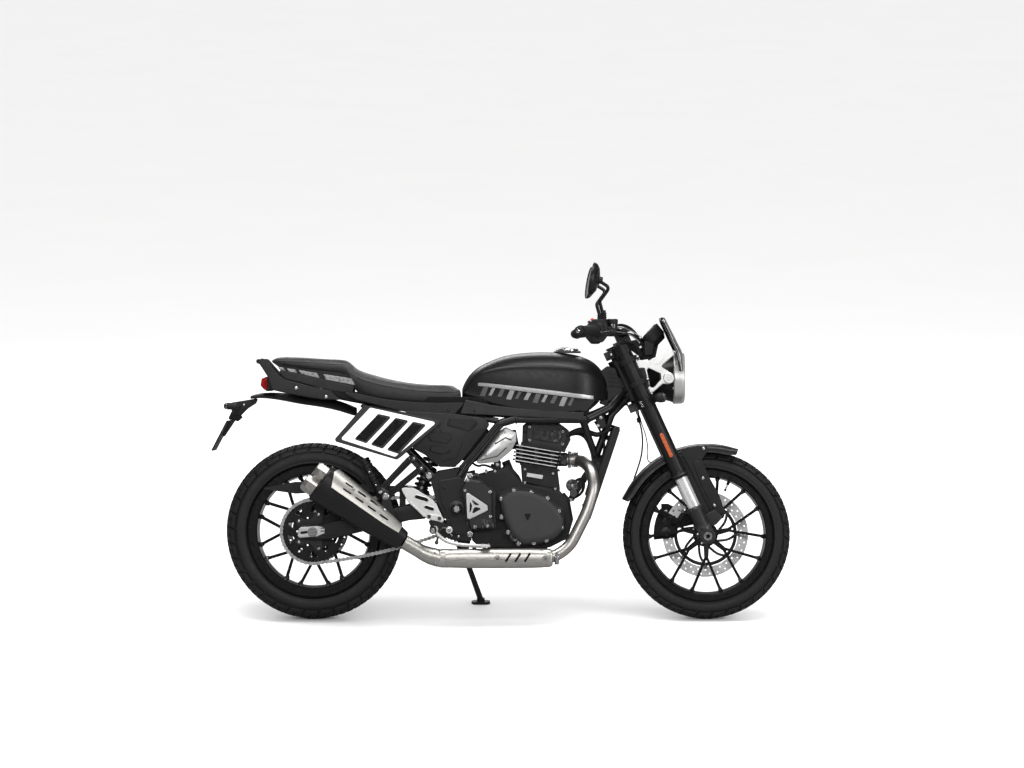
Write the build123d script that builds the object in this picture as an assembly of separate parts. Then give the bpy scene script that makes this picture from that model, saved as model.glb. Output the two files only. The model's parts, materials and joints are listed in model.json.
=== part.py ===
from build123d import *
from math import asin, atan2, cos, degrees, radians, sin, sqrt
import os

# Street tracker motorcycle, parked on its side stand.
# Every piece is modelled on the upright machine: x runs forward from the rear axle, y to the rider's left
# and z up from the ground.  parking() then leans the machine on to its side stand and puts the origin on
# the ground under the middle of its bounding box.  All sizes are in millimetres.

# ---- driving dimensions ----
wheelbase = 1371.0
rake = 24.6                # steering axis back from the vertical, degrees
fork_offset = 34.0         # legs ahead of the steering axis
leg_spacing = 98.0         # each leg's centre from the middle
lean = 10.0                # lean on the side stand, degrees
bar_half_width = 428.0
fit = 0.3                  # gap between curved pieces that seat on each other
running = 0.05             # radial clearance of a shaft in its bearing

front_tyre_radius, front_tyre_width = 293.0, 110.0
rear_tyre_radius, rear_tyre_width = 308.0, 150.0
front_rim_width, rear_rim_width = 76.0, 102.0      # between the flanges
rim_seat_radius, rim_flange_radius, rim_flange = 214.0, 230.0, 6.0
front_rim_inner, rear_rim_inner = 200.0, 192.0
front_spokes, rear_spokes = 7, 8
front_axle_radius, front_axle_bore, rear_axle_radius = 10.0, 7.0, 9.0
front_disc_radius, rear_disc_radius = 150.0, 115.0
front_disc_y, rear_disc_y = 60.0, 88.0
disc_thickness = 5.0
chain_y, chain_width, chain_height = -95.0, 18.0, 15.0
chain_pitch, rear_teeth, front_teeth = 15.875, 44, 15
output_x, output_z = 572.0, 394.0                  # gearbox output shaft
pivot_x, pivot_z = 499.0, 387.0                    # swingarm pivot
plate_inner, plate_outer = 108.0, 120.0            # frame pivot plates, from the middle
arm_inner, arm_outer = 110.0, 138.0                # swingarm arms, from the middle
fork_tube_radius, stanchion_radius = 27.0, 21.5
stem_radius, head_tube_radius = 13.0, 29.0
lower_yoke_t, upper_yoke_t, yoke_thickness = 497.0, 697.0, 30.0
rail_radius, downtube_radius, subframe_radius = 14.0, 12.0, 11.0
bar_radius, grip_radius, grip_length = 11.0, 16.5, 125.0
header_radius, collector_radius = 21.5, 34.0
stand_pivot = (520.0, 116.0, 235.0)
stand_tilt = 20.0          # stand pivot's rise to the left, degrees
stand_leg_radius = 10.0
stand_reach_x, stand_reach_y = 60.0, 118.0         # foot ahead of and outside the pivot
cap_x, cap_radius, cap_thickness = 884.0, 40.0, 9.0
neck_radius, neck_depth, neck_top = 24.0, 70.0, 937.0
case_half = 84.0           # crankcase, from the middle
fin_pitch, fin_thickness, fin_slope = 13.0, 4.5, 0.168
headlamp_back, headlamp_z, headlamp_radius = 113.0, 842.0, 91.0   # its rim behind the front axle

rear_axle = (0.0, 0.0, rear_tyre_radius)
front_axle = (wheelbase, 0.0, front_tyre_radius)
headlamp_x = wheelbase - headlamp_back
boss_inner, boss_outer = leg_spacing - 26.0, leg_spacing + 24.0    # the legs' axle bosses, from the middle
s, c = sin(radians(rake)), cos(radians(rake))
fork_frame = Plane(origin=front_axle, x_dir=(c, 0, s), z_dir=(-s, 0, c)).location
rear_pitch_radius = chain_pitch / (2 * sin(radians(180 / rear_teeth)))
front_pitch_radius = chain_pitch / (2 * sin(radians(180 / front_teeth)))


# ---- shape helpers ----
def plate(outline, y_low, y_high, corner=0.0):
    """A flat piece with a side-view outline of (x, z) points, from y_low to y_high."""
    edge = Polyline(*[(x, y_low, z) for x, z in outline], close=True)
    solid = extrude(make_face(edge), amount=y_high - y_low, dir=(0, 1, 0))
    return fillet(solid.edges().filter_by(Axis.Y), corner) if corner else solid


def slab(outline, z_low, z_high, corner=0.0):
    """A flat piece with a plan-view outline of (x, y) points."""
    solid = extrude(make_face(Polyline(*outline, close=True)), amount=z_high - z_low)
    solid = Pos(0, 0, z_low) * solid
    return fillet(solid.edges().filter_by(Axis.Z), corner) if corner else solid


def block(x_low, x_high, y_low, y_high, z_low, z_high):
    middle = Pos((x_low + x_high) / 2, (y_low + y_high) / 2, (z_low + z_high) / 2)
    return middle * Box(x_high - x_low, y_high - y_low, z_high - z_low)


def tube(points, radius, bend=40.0):
    """A round bar along straight runs joined by bends."""
    path = Line(*points) if len(points) == 2 else FilletPolyline(*points, radius=bend)
    return sweep(Plane(origin=path @ 0, z_dir=path % 0) * Circle(radius), path=path)


def rod(start, end, radius, bore=0.0):
    """A straight round bar, or a pipe if it has a bore."""
    along = Vector(*end) - Vector(*start)
    place = Plane(origin=start, z_dir=along).location
    solid = place * extrude(Circle(radius), amount=along.length)
    return solid - place * extrude(Circle(bore), amount=along.length) if bore else solid


def cross_rod(x, z, y_low, y_high, radius, bore=0.0):
    return rod((x, y_low, z), (x, y_high, z), radius, bore)


def turned(profile, centre):
    """A ring turned about the y direction through centre, from (y, r) points."""
    edge = Polyline(*[(0, y, r) for y, r in profile], close=True)
    return Pos(*centre) * revolve(make_face(edge), axis=Axis.Y)


def sector(centre, r_low, r_high, a_low, a_high, y_low, y_high):
    """A piece of a flat ring round centre, between two angles up from +x."""
    ring = turned([(y_low, r_low), (y_high, r_low), (y_high, r_high), (y_low, r_high)], centre)
    reach = 2 * r_high
    angles = [radians(a_low + (a_high - a_low) * k / 3) for k in range(4)]
    corners = [(centre[0] + reach * cos(a), centre[2] + reach * sin(a)) for a in angles]
    return ring & plate([(centre[0], centre[2])] + corners, y_low - 1, y_high + 1)


def both_sides(right):
    """The piece and its mirror image."""
    return [right, mirror(right, about=Plane.XZ)]


def in_fork(shape):
    """Places a shape drawn in the fork's frame: x forward of the legs, z up along them from the axle."""
    return fork_frame * shape


def from_front(points):
    """Points given forward from the front axle, as points of the whole machine."""
    return [(wheelbase + point[0], *point[1:]) for point in points]


def fork_point(x, y, t):
    """The point at x ahead of the legs, y to the left and t up from the axle."""
    return (wheelbase + x * c - t * s, y, front_tyre_radius + x * s + t * c)


# ---- wheels ----
def tyre(radius, width, rim_width, centre):
    bead, half = rim_width / 2 - fit, width / 2
    side_foot, shoulder = rim_flange_radius + 3, radius - 0.24 * width
    belly = (half, (side_foot + shoulder) / 2)
    tread_edge = (0.96 * half, shoulder)
    edges = [
        Line((0, -bead, rim_seat_radius + fit), (0, bead, rim_seat_radius + fit)),
        Line((0, bead, rim_seat_radius + fit), (0, bead, side_foot)),
        ThreePointArc((0, bead, side_foot), (0, belly[0], belly[1]), (0, *tread_edge)),
        ThreePointArc((0, *tread_edge), (0, 0, radius), (0, -tread_edge[0], tread_edge[1])),
        ThreePointArc((0, -tread_edge[0], tread_edge[1]), (0, -belly[0], belly[1]), (0, -bead, side_foot)),
        Line((0, -bead, side_foot), (0, -bead, rim_seat_radius + fit)),
    ]
    return Pos(*centre) * revolve(make_face(edges), axis=Axis.Y)


def y_spoke(apex, rim_inner, spread, stem_width, arm_width):
    """One spoke drawn along +y: a stem from the hub to the apex, and two arms to the rim."""
    foot = rim_inner + 6
    arm_end = foot * sin(radians(spread))
    arm_length = sqrt(arm_end ** 2 + (foot * cos(radians(spread)) - apex) ** 2)
    angle = degrees(asin(arm_end / arm_length))
    spoke = Pos(0, (apex + 4) / 2) * Rectangle(stem_width, apex + 4)
    for side in (-1, 1):
        from_apex = Pos(0, apex) * Rot(0, 0, -side * angle)
        spoke += from_apex * Pos(0, arm_length / 2) * Rectangle(arm_width, arm_length)
    return spoke


def cast_wheel(rim_width, rim_inner, spokes, apex, spread, widths, depth, hub, bore, centre):
    """Rim, spokes and hub in one casting.  hub lists (y, r) points of the hub's outside."""
    inner, outer = rim_width / 2, rim_width / 2 + rim_flange
    rim = turned([(-outer, rim_inner + 4), (-outer, rim_flange_radius), (-inner, rim_flange_radius),
                  (-inner, rim_seat_radius), (inner, rim_seat_radius), (inner, rim_flange_radius),
                  (outer, rim_flange_radius), (outer, rim_inner + 4), (0.6 * inner, rim_inner),
                  (-0.6 * inner, rim_inner)], centre)
    spoke = y_spoke(apex, rim_inner, spread, *widths)
    star = Circle(hub[0][1])
    for k in range(spokes):
        star += Rot(0, 0, 180 + 360 * k / spokes) * spoke
    face = Plane(origin=(centre[0], centre[1] + depth / 2, centre[2]), x_dir=(1, 0, 0), z_dir=(0, -1, 0))
    star = face.location * extrude(star, amount=depth)
    middle = turned([(hub[0][0], bore)] + hub + [(hub[-1][0], bore)], centre)
    shaft_hole = cross_rod(centre[0], centre[2], -rear_tyre_width, rear_tyre_width, bore)
    return rim + star + middle - shaft_hole


def front_wheel_parts():
    disc_seat = front_disc_y - disc_thickness / 2 - fit
    hub = [(-62, 26), (-45, 26), (-40, 34), (30, 34), (45, 46), (disc_seat, 46), (disc_seat, 24), (65, 24)]
    wheel = cast_wheel(front_rim_width, front_rim_inner, front_spokes, 70, 14.5, (20, 9), 24, hub,
                       front_axle_radius + running, front_axle)
    return {"front_tyre": tyre(front_tyre_radius, front_tyre_width, front_rim_width, front_axle),
            "front_wheel": wheel,
            "front_brake_disc": brake_disc(front_disc_radius, 34, 24 + fit, front_disc_y, front_axle)}


def brake_disc(radius, track, bore, y, centre):
    """A flat rotor on a spider: the swept ring, an inner ring and the arms between them."""
    low, high = y - disc_thickness / 2, y + disc_thickness / 2
    ring = turned([(low, radius - track), (high, radius - track), (high, radius), (low, radius)], centre)
    core = turned([(low, bore), (high, bore), (high, 46), (low, 46)], centre)
    rotor = ring + core
    for k in range(6):
        a = radians(30 + 60 * k)
        start = (centre[0] + 40 * cos(a), centre[2] + 40 * sin(a))
        end = (centre[0] + (radius - track + 4) * cos(a), centre[2] + (radius - track + 4) * sin(a))
        nx, nz = -9 * sin(a), 9 * cos(a)
        arm = [(start[0] + nx, start[1] + nz), (start[0] - nx, start[1] - nz),
               (end[0] - nx, end[1] - nz), (end[0] + nx, end[1] + nz)]
        rotor += plate(arm, low, high)
    return rotor


def rear_wheel_parts():
    carrier = chain_y + 4 + fit
    disc_seat = rear_disc_y - disc_thickness / 2 - fit
    hub = [(-103, 24), (carrier, 24), (carrier, 58), (-72, 58), (-60, 44), (50, 40), (60, 46),
           (disc_seat, 46), (disc_seat, 24), (101.7, 24)]
    wheel = cast_wheel(rear_rim_width, rear_rim_inner, rear_spokes, 96, 14.8, (22, 11), 30, hub,
                       rear_axle_radius + running, rear_axle)
    sprocket = turned([(chain_y - 4, 24 + fit), (chain_y + 4, 24 + fit),
                       (chain_y + 4, rear_pitch_radius - chain_height / 2 - 1),
                       (chain_y - 4, rear_pitch_radius - chain_height / 2 - 1)], rear_axle)
    return {"rear_tyre": tyre(rear_tyre_radius, rear_tyre_width, rear_rim_width, rear_axle),
            "rear_wheel": wheel,
            "rear_sprocket": sprocket,
            "rear_brake_disc": brake_disc(rear_disc_radius, 28, 24 + fit, rear_disc_y, rear_axle)}


# ---- fork, yokes and what turns with them ----
def fork_leg():
    y = -leg_spacing
    leg = Pos(0, y, 228) * extrude(Circle(fork_tube_radius), amount=upper_yoke_t + yoke_thickness + 4 - 228)
    leg += Pos(0, y, 100) * extrude(Circle(stanchion_radius), amount=130)
    leg += Pos(0, y, 20) * extrude(Circle(26), amount=92)
    lug = from_front([(-9, 372), (37, 402), (63, 356), (33, 326), (1, 320)])
    leg = in_fork(leg) + plate(lug, -boss_inner - 12, -boss_inner, 4)
    leg += cross_rod(wheelbase, front_tyre_radius, -boss_outer, -boss_inner, 27)
    bore = cross_rod(wheelbase, front_tyre_radius, -boss_outer - 8, boss_outer + 8, front_axle_radius + fit)
    return leg - bore


def front_axle_shaft():
    end, seat, collar = boss_outer + 4, boss_outer + fit, boss_inner - fit
    shaft = turned([(-end, front_axle_bore), (end, front_axle_bore), (end, 15), (seat, 15),
                    (seat, front_axle_radius), (collar, front_axle_radius), (collar, 17), (66, 17),
                    (66, front_axle_radius), (-63, front_axle_radius), (-63, 17), (-collar, 17),
                    (-collar, front_axle_radius), (-seat, front_axle_radius), (-seat, 15),
                    (-end, 15)], front_axle)
    return shaft


def yoke(t, stem_top=0.0):
    """A clamp plate across both legs and the stem, with the stem fixed in it if it has one."""
    outline = make_hull([*(Pos(0, leg_spacing) * Circle(fork_tube_radius + 10)).edges(),
                         *(Pos(0, -leg_spacing) * Circle(fork_tube_radius + 10)).edges(),
                         *(Pos(-fork_offset, 0) * Circle(30)).edges()])
    solid = Pos(0, 0, t) * extrude(outline, amount=yoke_thickness)
    through = yoke_thickness + 2
    for side in (-1, 1):
        solid -= Pos(0, side * leg_spacing, t - 1) * extrude(Circle(fork_tube_radius + fit), amount=through)
    if stem_top:
        solid += Pos(-fork_offset, 0, t) * extrude(Circle(stem_radius), amount=stem_top - t)
        solid += Pos(-fork_offset, 0, stem_top) * extrude(RegularPolygon(16, 6), amount=7)
    else:
        solid -= Pos(-fork_offset, 0, t - 1) * extrude(Circle(stem_radius + fit), amount=through)
    return solid


def bar_points():
    """Handlebar's corners from the middle out to the left end."""
    return from_front([(-291, 0, 996), (-291, 85, 996), (-336, 165, 1012), (-448, bar_half_width - 20, 1002)])


def bar_end_frame(side):
    """A frame at the bar's end, with z running inwards along the grip."""
    inner, end = [Vector(x, side * y, z) for x, y, z in bar_points()[-2:]]
    return Plane(origin=end, x_dir=(1, 0, 0), z_dir=inner - end)


def along_grip(side, low, high, radius, bore=0.0):
    frame = bar_end_frame(side)
    start, end = frame.origin + frame.z_dir * low, frame.origin + frame.z_dir * high
    return rod(start, end, radius, bore)


def handlebar():
    left = bar_points()
    right = [(x, -y, z) for x, y, z in reversed(left[1:])]
    path = FilletPolyline(*right, *left[1:], radius=45)
    bar = sweep(Plane(origin=path @ 0, z_dir=path % 0) * Circle(bar_radius), path=path)
    return bar


def fork_yokes():
    upper = yoke(upper_yoke_t)
    bar_x, _, bar_z = bar_points()[0]
    top = upper_yoke_t + yoke_thickness
    bx = (bar_x - wheelbase) * c + (bar_z - front_tyre_radius) * s
    bt = (wheelbase - bar_x) * s + (bar_z - front_tyre_radius) * c
    for side in (-1, 1):
        upper += Pos(bx - 8, side * 42, (top - 6 + bt + 19) / 2) * Box(46, 26, bt + 19 - top + 6)
    upper -= in_fork_inverse(cross_rod(bar_x, bar_z, -80, 80, bar_radius + fit))
    lower = yoke(lower_yoke_t, stem_top=upper_yoke_t + yoke_thickness + 2)
    return in_fork(upper), in_fork(lower)


def in_fork_inverse(shape):
    return fork_frame.inverse() * shape


def grips():
    sleeves = [along_grip(side, 2, grip_length, grip_radius, bar_radius + fit) for side in (-1, 1)]
    weights = [along_grip(side, -20, -fit, 15.5) for side in (-1, 1)]
    return sleeves + weights


def controls(side):
    """Switch pod, lever perch and lever at one end of the bar."""
    pod = along_grip(side, grip_length + 4, grip_length + 52, 26)
    pod += along_grip(side, grip_length + 50, grip_length + 84, 19)
    frame = bar_end_frame(side)
    mid = frame.origin + frame.z_dir * (grip_length + 66)
    pivot = mid + Vector(36, 0, -4)
    pod += rod(mid + Vector(6, 0, 0), pivot, 13)
    tip = frame.origin + frame.z_dir * 6 + Vector(72, 0, -10)
    knee = frame.origin + frame.z_dir * (grip_length - 20) + Vector(62, 0, -8)
    pod += tube([tuple(pivot), tuple(knee), tuple(tip)], 6.5, bend=60)
    pod += Pos(*tip) * Sphere(8.5)
    if side < 0:
        reservoir = mid + Vector(33, 24, -2)
        pod += Pos(*reservoir) * extrude(Circle(20), amount=36)
    return pod - along_grip(side, -10, grip_length + 120, bar_radius + fit)


def mirror_unit(side):
    frame = bar_end_frame(side)
    base = frame.origin + frame.z_dir * (grip_length + 67) + Vector(2, 0, 20)
    y = base.Y
    # The stalk rises, kinks forward and comes back to the head.
    rise = from_front([(-379, y + side * 14, 1105), (-345, y + side * 34, 1152), (-383, y + side * 44, 1176)])
    stalk = tube([(base.X, y, base.Z + 30), *rise], 6, bend=12)
    boot = rod((base.X, y, base.Z), (base.X, y, base.Z + 44), 10)
    centre = Vector(wheelbase - 399, y + side * 44, 1181)
    face = Plane(origin=centre, x_dir=(0, 1, 0), z_dir=(-cos(radians(10)), -side * 0.12, sin(radians(10))))
    head = face.location * Pos(0, 0, -18) * extrude(Circle(58), amount=26)
    head = fillet(head.edges().filter_by(GeomType.CIRCLE).sort_by(Axis.X)[-1], 9)
    return stalk + boot + head


def headlamp():
    profile = [(0, 0), (0, 18), (14, 44), (44, 70), (86, 82), (94, 86), (98, headlamp_radius),
               (128, headlamp_radius - 3), (134, 70), (136, 0)]
    start = headlamp_x - 98
    edge = Polyline(*[(start + x, 0, headlamp_z + r) for x, r in profile], close=True)
    return revolve(make_face(edge), axis=Axis((0, 0, headlamp_z), (1, 0, 0)))


def headlamp_bracket(side):
    """A cast arm from two clamps on the leg to the lamp's pivot, with a branch to the screen."""
    low, high = sorted((side * 93, side * 102))
    outline = from_front([(-259, 906), (-205, 902), (-127, 942), (-115, 922), (-157, 880), (-135, 866),
                          (-117, 846), (-127, 824), (-143, 822), (-197, 786), (-215, 800), (-231, 850)])
    arm = plate(outline, low, high, 5)
    window = from_front([(-195, 868), (-165, 852), (-175, 836), (-193, 830), (-201, 842)])
    arm -= plate(window, low - 1, high + 1)
    arm += cross_rod(headlamp_x - 22, headlamp_z, min(side * 93, side * 108), max(side * 93, side * 108), 19)
    for t in (575, 660):
        ring = Pos(0, side * leg_spacing, t) * extrude(Circle(fork_tube_radius + 6), amount=18)
        arm += in_fork(ring)
    leg_space = Pos(0, side * leg_spacing, 400) * extrude(Circle(fork_tube_radius + fit), amount=400)
    return arm - in_fork(leg_space)


def flyscreen():
    """A raked panel over the top half of the lamp, cut round its rim."""
    side_view = from_front([(-157, 1052), (-148, 1052), (-87, 933), (-75, 866), (-91, 858), (-109, 880),
                            (-103, 930)])
    panel = plate(side_view, -104, 104)
    behind = headlamp_x - 158
    front_view = Polyline((behind, -100, 850), (behind, -103, 900), (behind, -78, 1060),
                          (behind, 78, 1060), (behind, 103, 900), (behind, 100, 850), close=True)
    panel &= extrude(make_face(front_view), amount=400, dir=(1, 0, 0))
    panel -= rod((headlamp_x - 58, 0, headlamp_z), (headlamp_x + 142, 0, headlamp_z), headlamp_radius + fit)
    back = from_front([(-171, 1060), (-161, 1040), (-109, 935), (-109, 850), (-171, 850)])
    return panel - plate(back, -88, 88)


def instrument_cluster():
    out = Vector(-sin(radians(45)), 0, cos(radians(45)))
    face = Vector(wheelbase - 207, 0, 1002)
    pod = rod(face - out * 42, face, 46)
    pod = fillet(pod.edges().filter_by(GeomType.CIRCLE), 5)
    yoke_face = fork_tube_radius + 10 + fit
    low, high = fork_point(yoke_face, 0, upper_yoke_t + 5), fork_point(yoke_face, 0, upper_yoke_t + 25)
    under = from_front([(-241, 978), (-191, 985), (-167, 965), (-179, 912), (-221, 905), (-246, 925)])
    return pod + plate([(low[0], low[2]), (high[0], high[2]), *under], -26, 26)


def front_mudguard():
    inner, crown, half = front_tyre_radius + 19, 4, 64
    guard = sector(front_axle, inner, inner + crown, 70, 157, -half, half)
    for side in (-1, 1):
        low, high = sorted((side * half, side * (half + 4)))
        guard += sector(front_axle, inner - 24, inner + crown, 70, 157, low, high)
        low, high = sorted((side * (half + 4), side * (boss_inner - fit)))
        stay = from_front([(-75, 582), (-61, 600), (1, 606), (25, 588), (21, 520), (59, 372), (53, 350),
                           (-5, 318), (-21, 330), (-19, 346), (27, 362), (-19, 505), (-41, 560)])
        guard += plate(stay, low, high, 3)
    return guard


def front_caliper():
    low, high = front_disc_y - 14, front_disc_y + 13
    body = sector(front_axle, 104, 182, 150, 186, low, high)
    body -= sector(front_axle, 90, front_disc_radius + 6, 140, 196, front_disc_y - 7.5, front_disc_y + 7.5)
    arm = from_front([(-155, 400), (-131, 400), (-35, 352), (-35, 328), (-155, 300)])
    arm = plate(arm, high, leg_spacing - 17)
    leg_space = Pos(0, leg_spacing, -50) * extrude(Circle(26 + fit), amount=300)
    boss_space = cross_rod(wheelbase, front_tyre_radius, 60, boss_outer + 8, 27 + fit)
    return body + arm - in_fork(leg_space) - boss_space


def front_indicator(side):
    """A round lamp on a short stalk from the lower yoke."""
    base = fork_point(fork_tube_radius + 16.4, side * (leg_spacing + 6), lower_yoke_t + 12)
    y_out = side * (leg_spacing + 52)
    stalk = rod(base, (base[0] + 8, y_out, base[2]), 7)
    lamp = rod((base[0] - 14, y_out, base[2]), (base[0] + 26, y_out, base[2]), 17)
    return stalk + lamp


brake_hose_radius = 3.0
brake_hose_route = [fork_point(-38, 44, lower_yoke_t - 1.2), (1136, 51, 698), (1148, 61, 656),
                    (1151, 69, 610), (1146, 75, 564), (1132, 79, 519), (1116, 81, 474), (1114, 80, 430),
                    (1134, 76, 398), (1170, 69, 383), (1205, 61, 372)]


def soft_bends(route):
    """Each corner's radius: as large as its two runs allow."""
    radii = []
    for a, b, d in zip(route, route[1:], route[2:]):
        before, after = Vector(*b) - Vector(*a), Vector(*d) - Vector(*b)
        shorter = min(before.length, after.length)
        half_turn = radians(before.get_angle(after)) / 2
        radii.append(0.45 * shorter / sin(half_turn) * cos(half_turn))
    return radii


def brake_hose():
    radii = soft_bends(brake_hose_route)
    path = FilletPolyline(*brake_hose_route, radius=radii)
    print("brake hose radii", [round(r) for r in radii], "length", round(path.length))
    return sweep(Plane(origin=path @ 0, z_dir=path % 0) * Circle(brake_hose_radius), path=path)


def fork_parts():
    upper, lower = fork_yokes()
    return {"fork_legs": both_sides(fork_leg()), "front_axle": front_axle_shaft(),
            "upper_yoke": upper, "lower_yoke": lower, "handlebar": handlebar(), "grips": grips(),
            "hand_controls": [controls(-1), controls(1)], "mirrors": both_sides(mirror_unit(1)),
            "headlamp": headlamp(), "headlamp_brackets": [headlamp_bracket(-1), headlamp_bracket(1)],
            "flyscreen": flyscreen(), "instrument_cluster": instrument_cluster(),
            "front_mudguard": front_mudguard(), "front_caliper": front_caliper(),
            "front_indicators": [front_indicator(-1), front_indicator(1)], "brake_hose": brake_hose()}


# ---- frame and running gear ----
pivot_plate_outline = [(404, 500), (431, 516), (545, 536), (520, 471), (514, 453), (538, 401), (531, 349),
                       (545, 314), (552, 276), (476, 280), (462, 349), (427, 418)]


def stand_axis():
    return Vector(0, cos(radians(stand_tilt)), sin(radians(stand_tilt)))


def main_frame():
    head_low = lower_yoke_t + yoke_thickness + 7
    head_length = upper_yoke_t - 7 - head_low
    head = Pos(-fork_offset, 0, head_low) * extrude(Circle(head_tube_radius), amount=head_length)
    bore = Pos(-fork_offset, 0, head_low - 1) * extrude(Circle(stem_radius + fit), amount=head_length + 2)
    frame = in_fork(head)
    for side in (-1, 1):
        rail = from_front([(-285, side * 18, 800), (-341, side * 56, 738)])
        rail += [(950, side * 92, 698), (700, side * 106, 699), (650, side * 110, 684),
                 (535, side * 112, 545), (508, side * 114, 500)]
        frame += tube(rail, rail_radius, bend=30)
        down = from_front([(-273, side * 16, 774), (-331, side * 40, 716), (-387, side * 38, 566)])
        frame += tube(down, downtube_radius, bend=40)
        frame += rod((789, side * 101, 700), (789, side * 101, 725.2), 9)
        down = [(938, side * 95, 698), *from_front([(-411, side * 60, 630), (-387, side * 38, 566)])]
        frame += tube(down, downtube_radius, bend=40)
        low, high = sorted((side * 30, side * 38))
        knee = from_front([(-389, 574), (-375, 576), (-371, 556)])
        frame += plate([*knee, (906, 412), (884, 416)], low, high, 4)
        low, high = sorted((side * plate_inner, side * plate_outer))
        frame += plate(pivot_plate_outline, low, high, 5)
        low, high = sorted((side * 20, side * 26))
        frame += plate(from_front([(-301, 850), (-275, 784), (-341, 740), (-361, 770)]), low, high, 4)
    frame += cross_rod(wheelbase - 387, 561, -43, 43, 14)
    frame += cross_rod(446, 468, -plate_inner, plate_inner, 14)
    frame += cross_rod(452, 706, -92, 92, 13)
    for side in (-1, 1):
        low, high = sorted((side * (14 + fit), side * 20))
        frame += plate([(434, 710), (470, 710), (462, 668), (440, 668)], low, high, 4)
        frame += tube([(452, side * 82, 706), (560, side * 100, 706), (642, side * 108, 692)], 10, bend=40)
    lug_centre = Vector(*stand_pivot) - stand_axis() * 8
    frame += plate([(480, 284), (548, 282), (536, 226), (504, 226)], 94, 106, 4)
    frame += plate([(484, 286), (528, 286), (528, 266), (488, 266)], 94, 112)
    frame += rod(tuple(lug_centre - stand_axis() * 7), tuple(lug_centre + stand_axis() * 7), 15)
    frame += rod(tuple(lug_centre), tuple(lug_centre + stand_axis() * 32), 5)
    frame -= in_fork(bore)
    return frame - cross_rod(pivot_x, pivot_z, -130, 130, 9 + fit)


def side_stand():
    axis = stand_axis()
    pivot = Vector(*stand_pivot)
    head = rod(tuple(pivot), tuple(pivot + axis * 18), 15)
    start = pivot + axis * 10.5
    foot_x, foot_y = stand_pivot[0] + stand_reach_x, stand_pivot[1] + stand_reach_y
    ground = foot_y * sin(radians(lean)) / cos(radians(lean)) + ground_rise(crown_radius(rear_tyre_width))
    sole = Vector(foot_x, foot_y, ground)
    up = Vector(0, -sin(radians(lean)), cos(radians(lean)))
    knee = start + Vector(14, 22, -52)
    leg = tube([tuple(start), tuple(knee), tuple(sole + up * 14)], stand_leg_radius, bend=45)
    pad_plane = Plane(origin=sole, x_dir=(1, 0, 0), z_dir=up)
    pad = pad_plane.location * extrude(SlotOverall(66, 38), amount=9)
    pad += pad_plane.location * Pos(0, 0, 6) * extrude(Circle(14), amount=14)
    stand = head + leg + pad
    pin = rod(tuple(pivot - axis * 2), tuple(pivot + axis * 30), 5 + running)
    return stand - pin


def crown_radius(width):
    """Radius of the tread's curve across the tyre."""
    chord, sagitta = 0.48 * width, 0.24 * width
    return (chord ** 2 + sagitta ** 2) / (2 * sagitta)


def ground_rise(crown):
    """How far the leaned machine's ground plane lies above the upright one's, at the middle."""
    return -crown * (1 - cos(radians(lean))) / cos(radians(lean))


def subframe():
    frame = None
    for side in (-1, 1):
        rail = [(440, side * 86, 727.4), (300, side * 86, 738), (130, side * 84, 770), (-70, side * 78, 810)]
        brace = [(418, side * 90, 504), (170, side * 84, 752)]
        half = tube(rail, subframe_radius, bend=90) + tube(brace, subframe_radius)
        half += rod((420, side * 86, 502), (420, side * (plate_inner - fit), 502), 9)
        frame = half if frame is None else frame + half
    for x, z in ((300, 738), (-50, 806)):
        frame += cross_rod(x, z, -86 if x > 0 else -79, 86 if x > 0 else 79, 9)
    return frame


def swingarm():
    arm_side = [(-48, 286), (-48, 330), (40, 338), (335, 400), (395, 404), (395, 354), (335, 348),
                (60, 282)]
    arm = None
    for side in (-1, 1):
        low, high = sorted((side * arm_inner, side * arm_outer))
        outer = plate(arm_side, low, high, 6)
        low, high = sorted((side * 58, side * 80))
        inner = plate([(380, 404), (380, 354), (pivot_x, pivot_z - 24), (pivot_x, pivot_z + 24)], low, high)
        half = outer + inner
        arm = half if arm is None else arm + half
    arm += plate([(338, 401), (394, 404), (394, 356), (338, 352)], -arm_outer + 4, arm_outer - 4, 4)
    arm += cross_rod(pivot_x, pivot_z, -plate_inner + fit, plate_inner - fit, 24)
    arm += cross_rod(pivot_x, pivot_z, -plate_outer - 8, plate_outer + 8, 9)
    for side in (-1, 1):
        low, high = sorted((side * (plate_outer + fit), side * (plate_outer + 10)))
        arm += cross_rod(pivot_x, pivot_z, low, high, 16)
        low, high = sorted((side * 8, side * 20))
        arm += plate([(352, 400), (355, 430), (374, 430), (392, 400)], low, high, 4)
    arm -= cross_rod(0, rear_tyre_radius, -150, 150, rear_axle_radius + fit)
    return arm


def rear_axle_shaft():
    """The axle with its spacers, nuts and chain adjuster plates."""
    shaft = cross_rod(0, rear_tyre_radius, -arm_outer - 16, arm_outer + 16, rear_axle_radius)
    for side in (-1, 1):
        low, high = sorted((side * 103.5, side * (arm_inner - fit)))
        shaft += cross_rod(0, rear_tyre_radius, low, high, 15)
        low, high = sorted((side * (arm_outer + fit), side * (arm_outer + 5)))
        shaft += plate([(-44, 290), (-44, 322), (34, 330), (34, 298)], low, high, 3)
        low, high = sorted((side * (arm_outer + 4), side * (arm_outer + 14)))
        shaft += cross_rod(0, rear_tyre_radius, low, high, 14)
    return shaft


def rear_shock():
    low, high = Vector(365, 0, 424), Vector(450, 0, 680.5)
    along = (high - low).normalized()
    body = rod(tuple(low + along * 18), tuple(low + along * 215), 31)
    body += rod(tuple(low + along * 200), tuple(high - along * 24), 17)
    body += rod(tuple(high - along * 26), tuple(high), 10)
    body += rod((low.X, -8 + fit, low.Z), (low.X, 8 - fit, low.Z), 12)
    body += rod(tuple(low), tuple(low + along * 30), 7)
    body += cross_rod(high.X, high.Z, -14, 14, 12)
    return body


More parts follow.
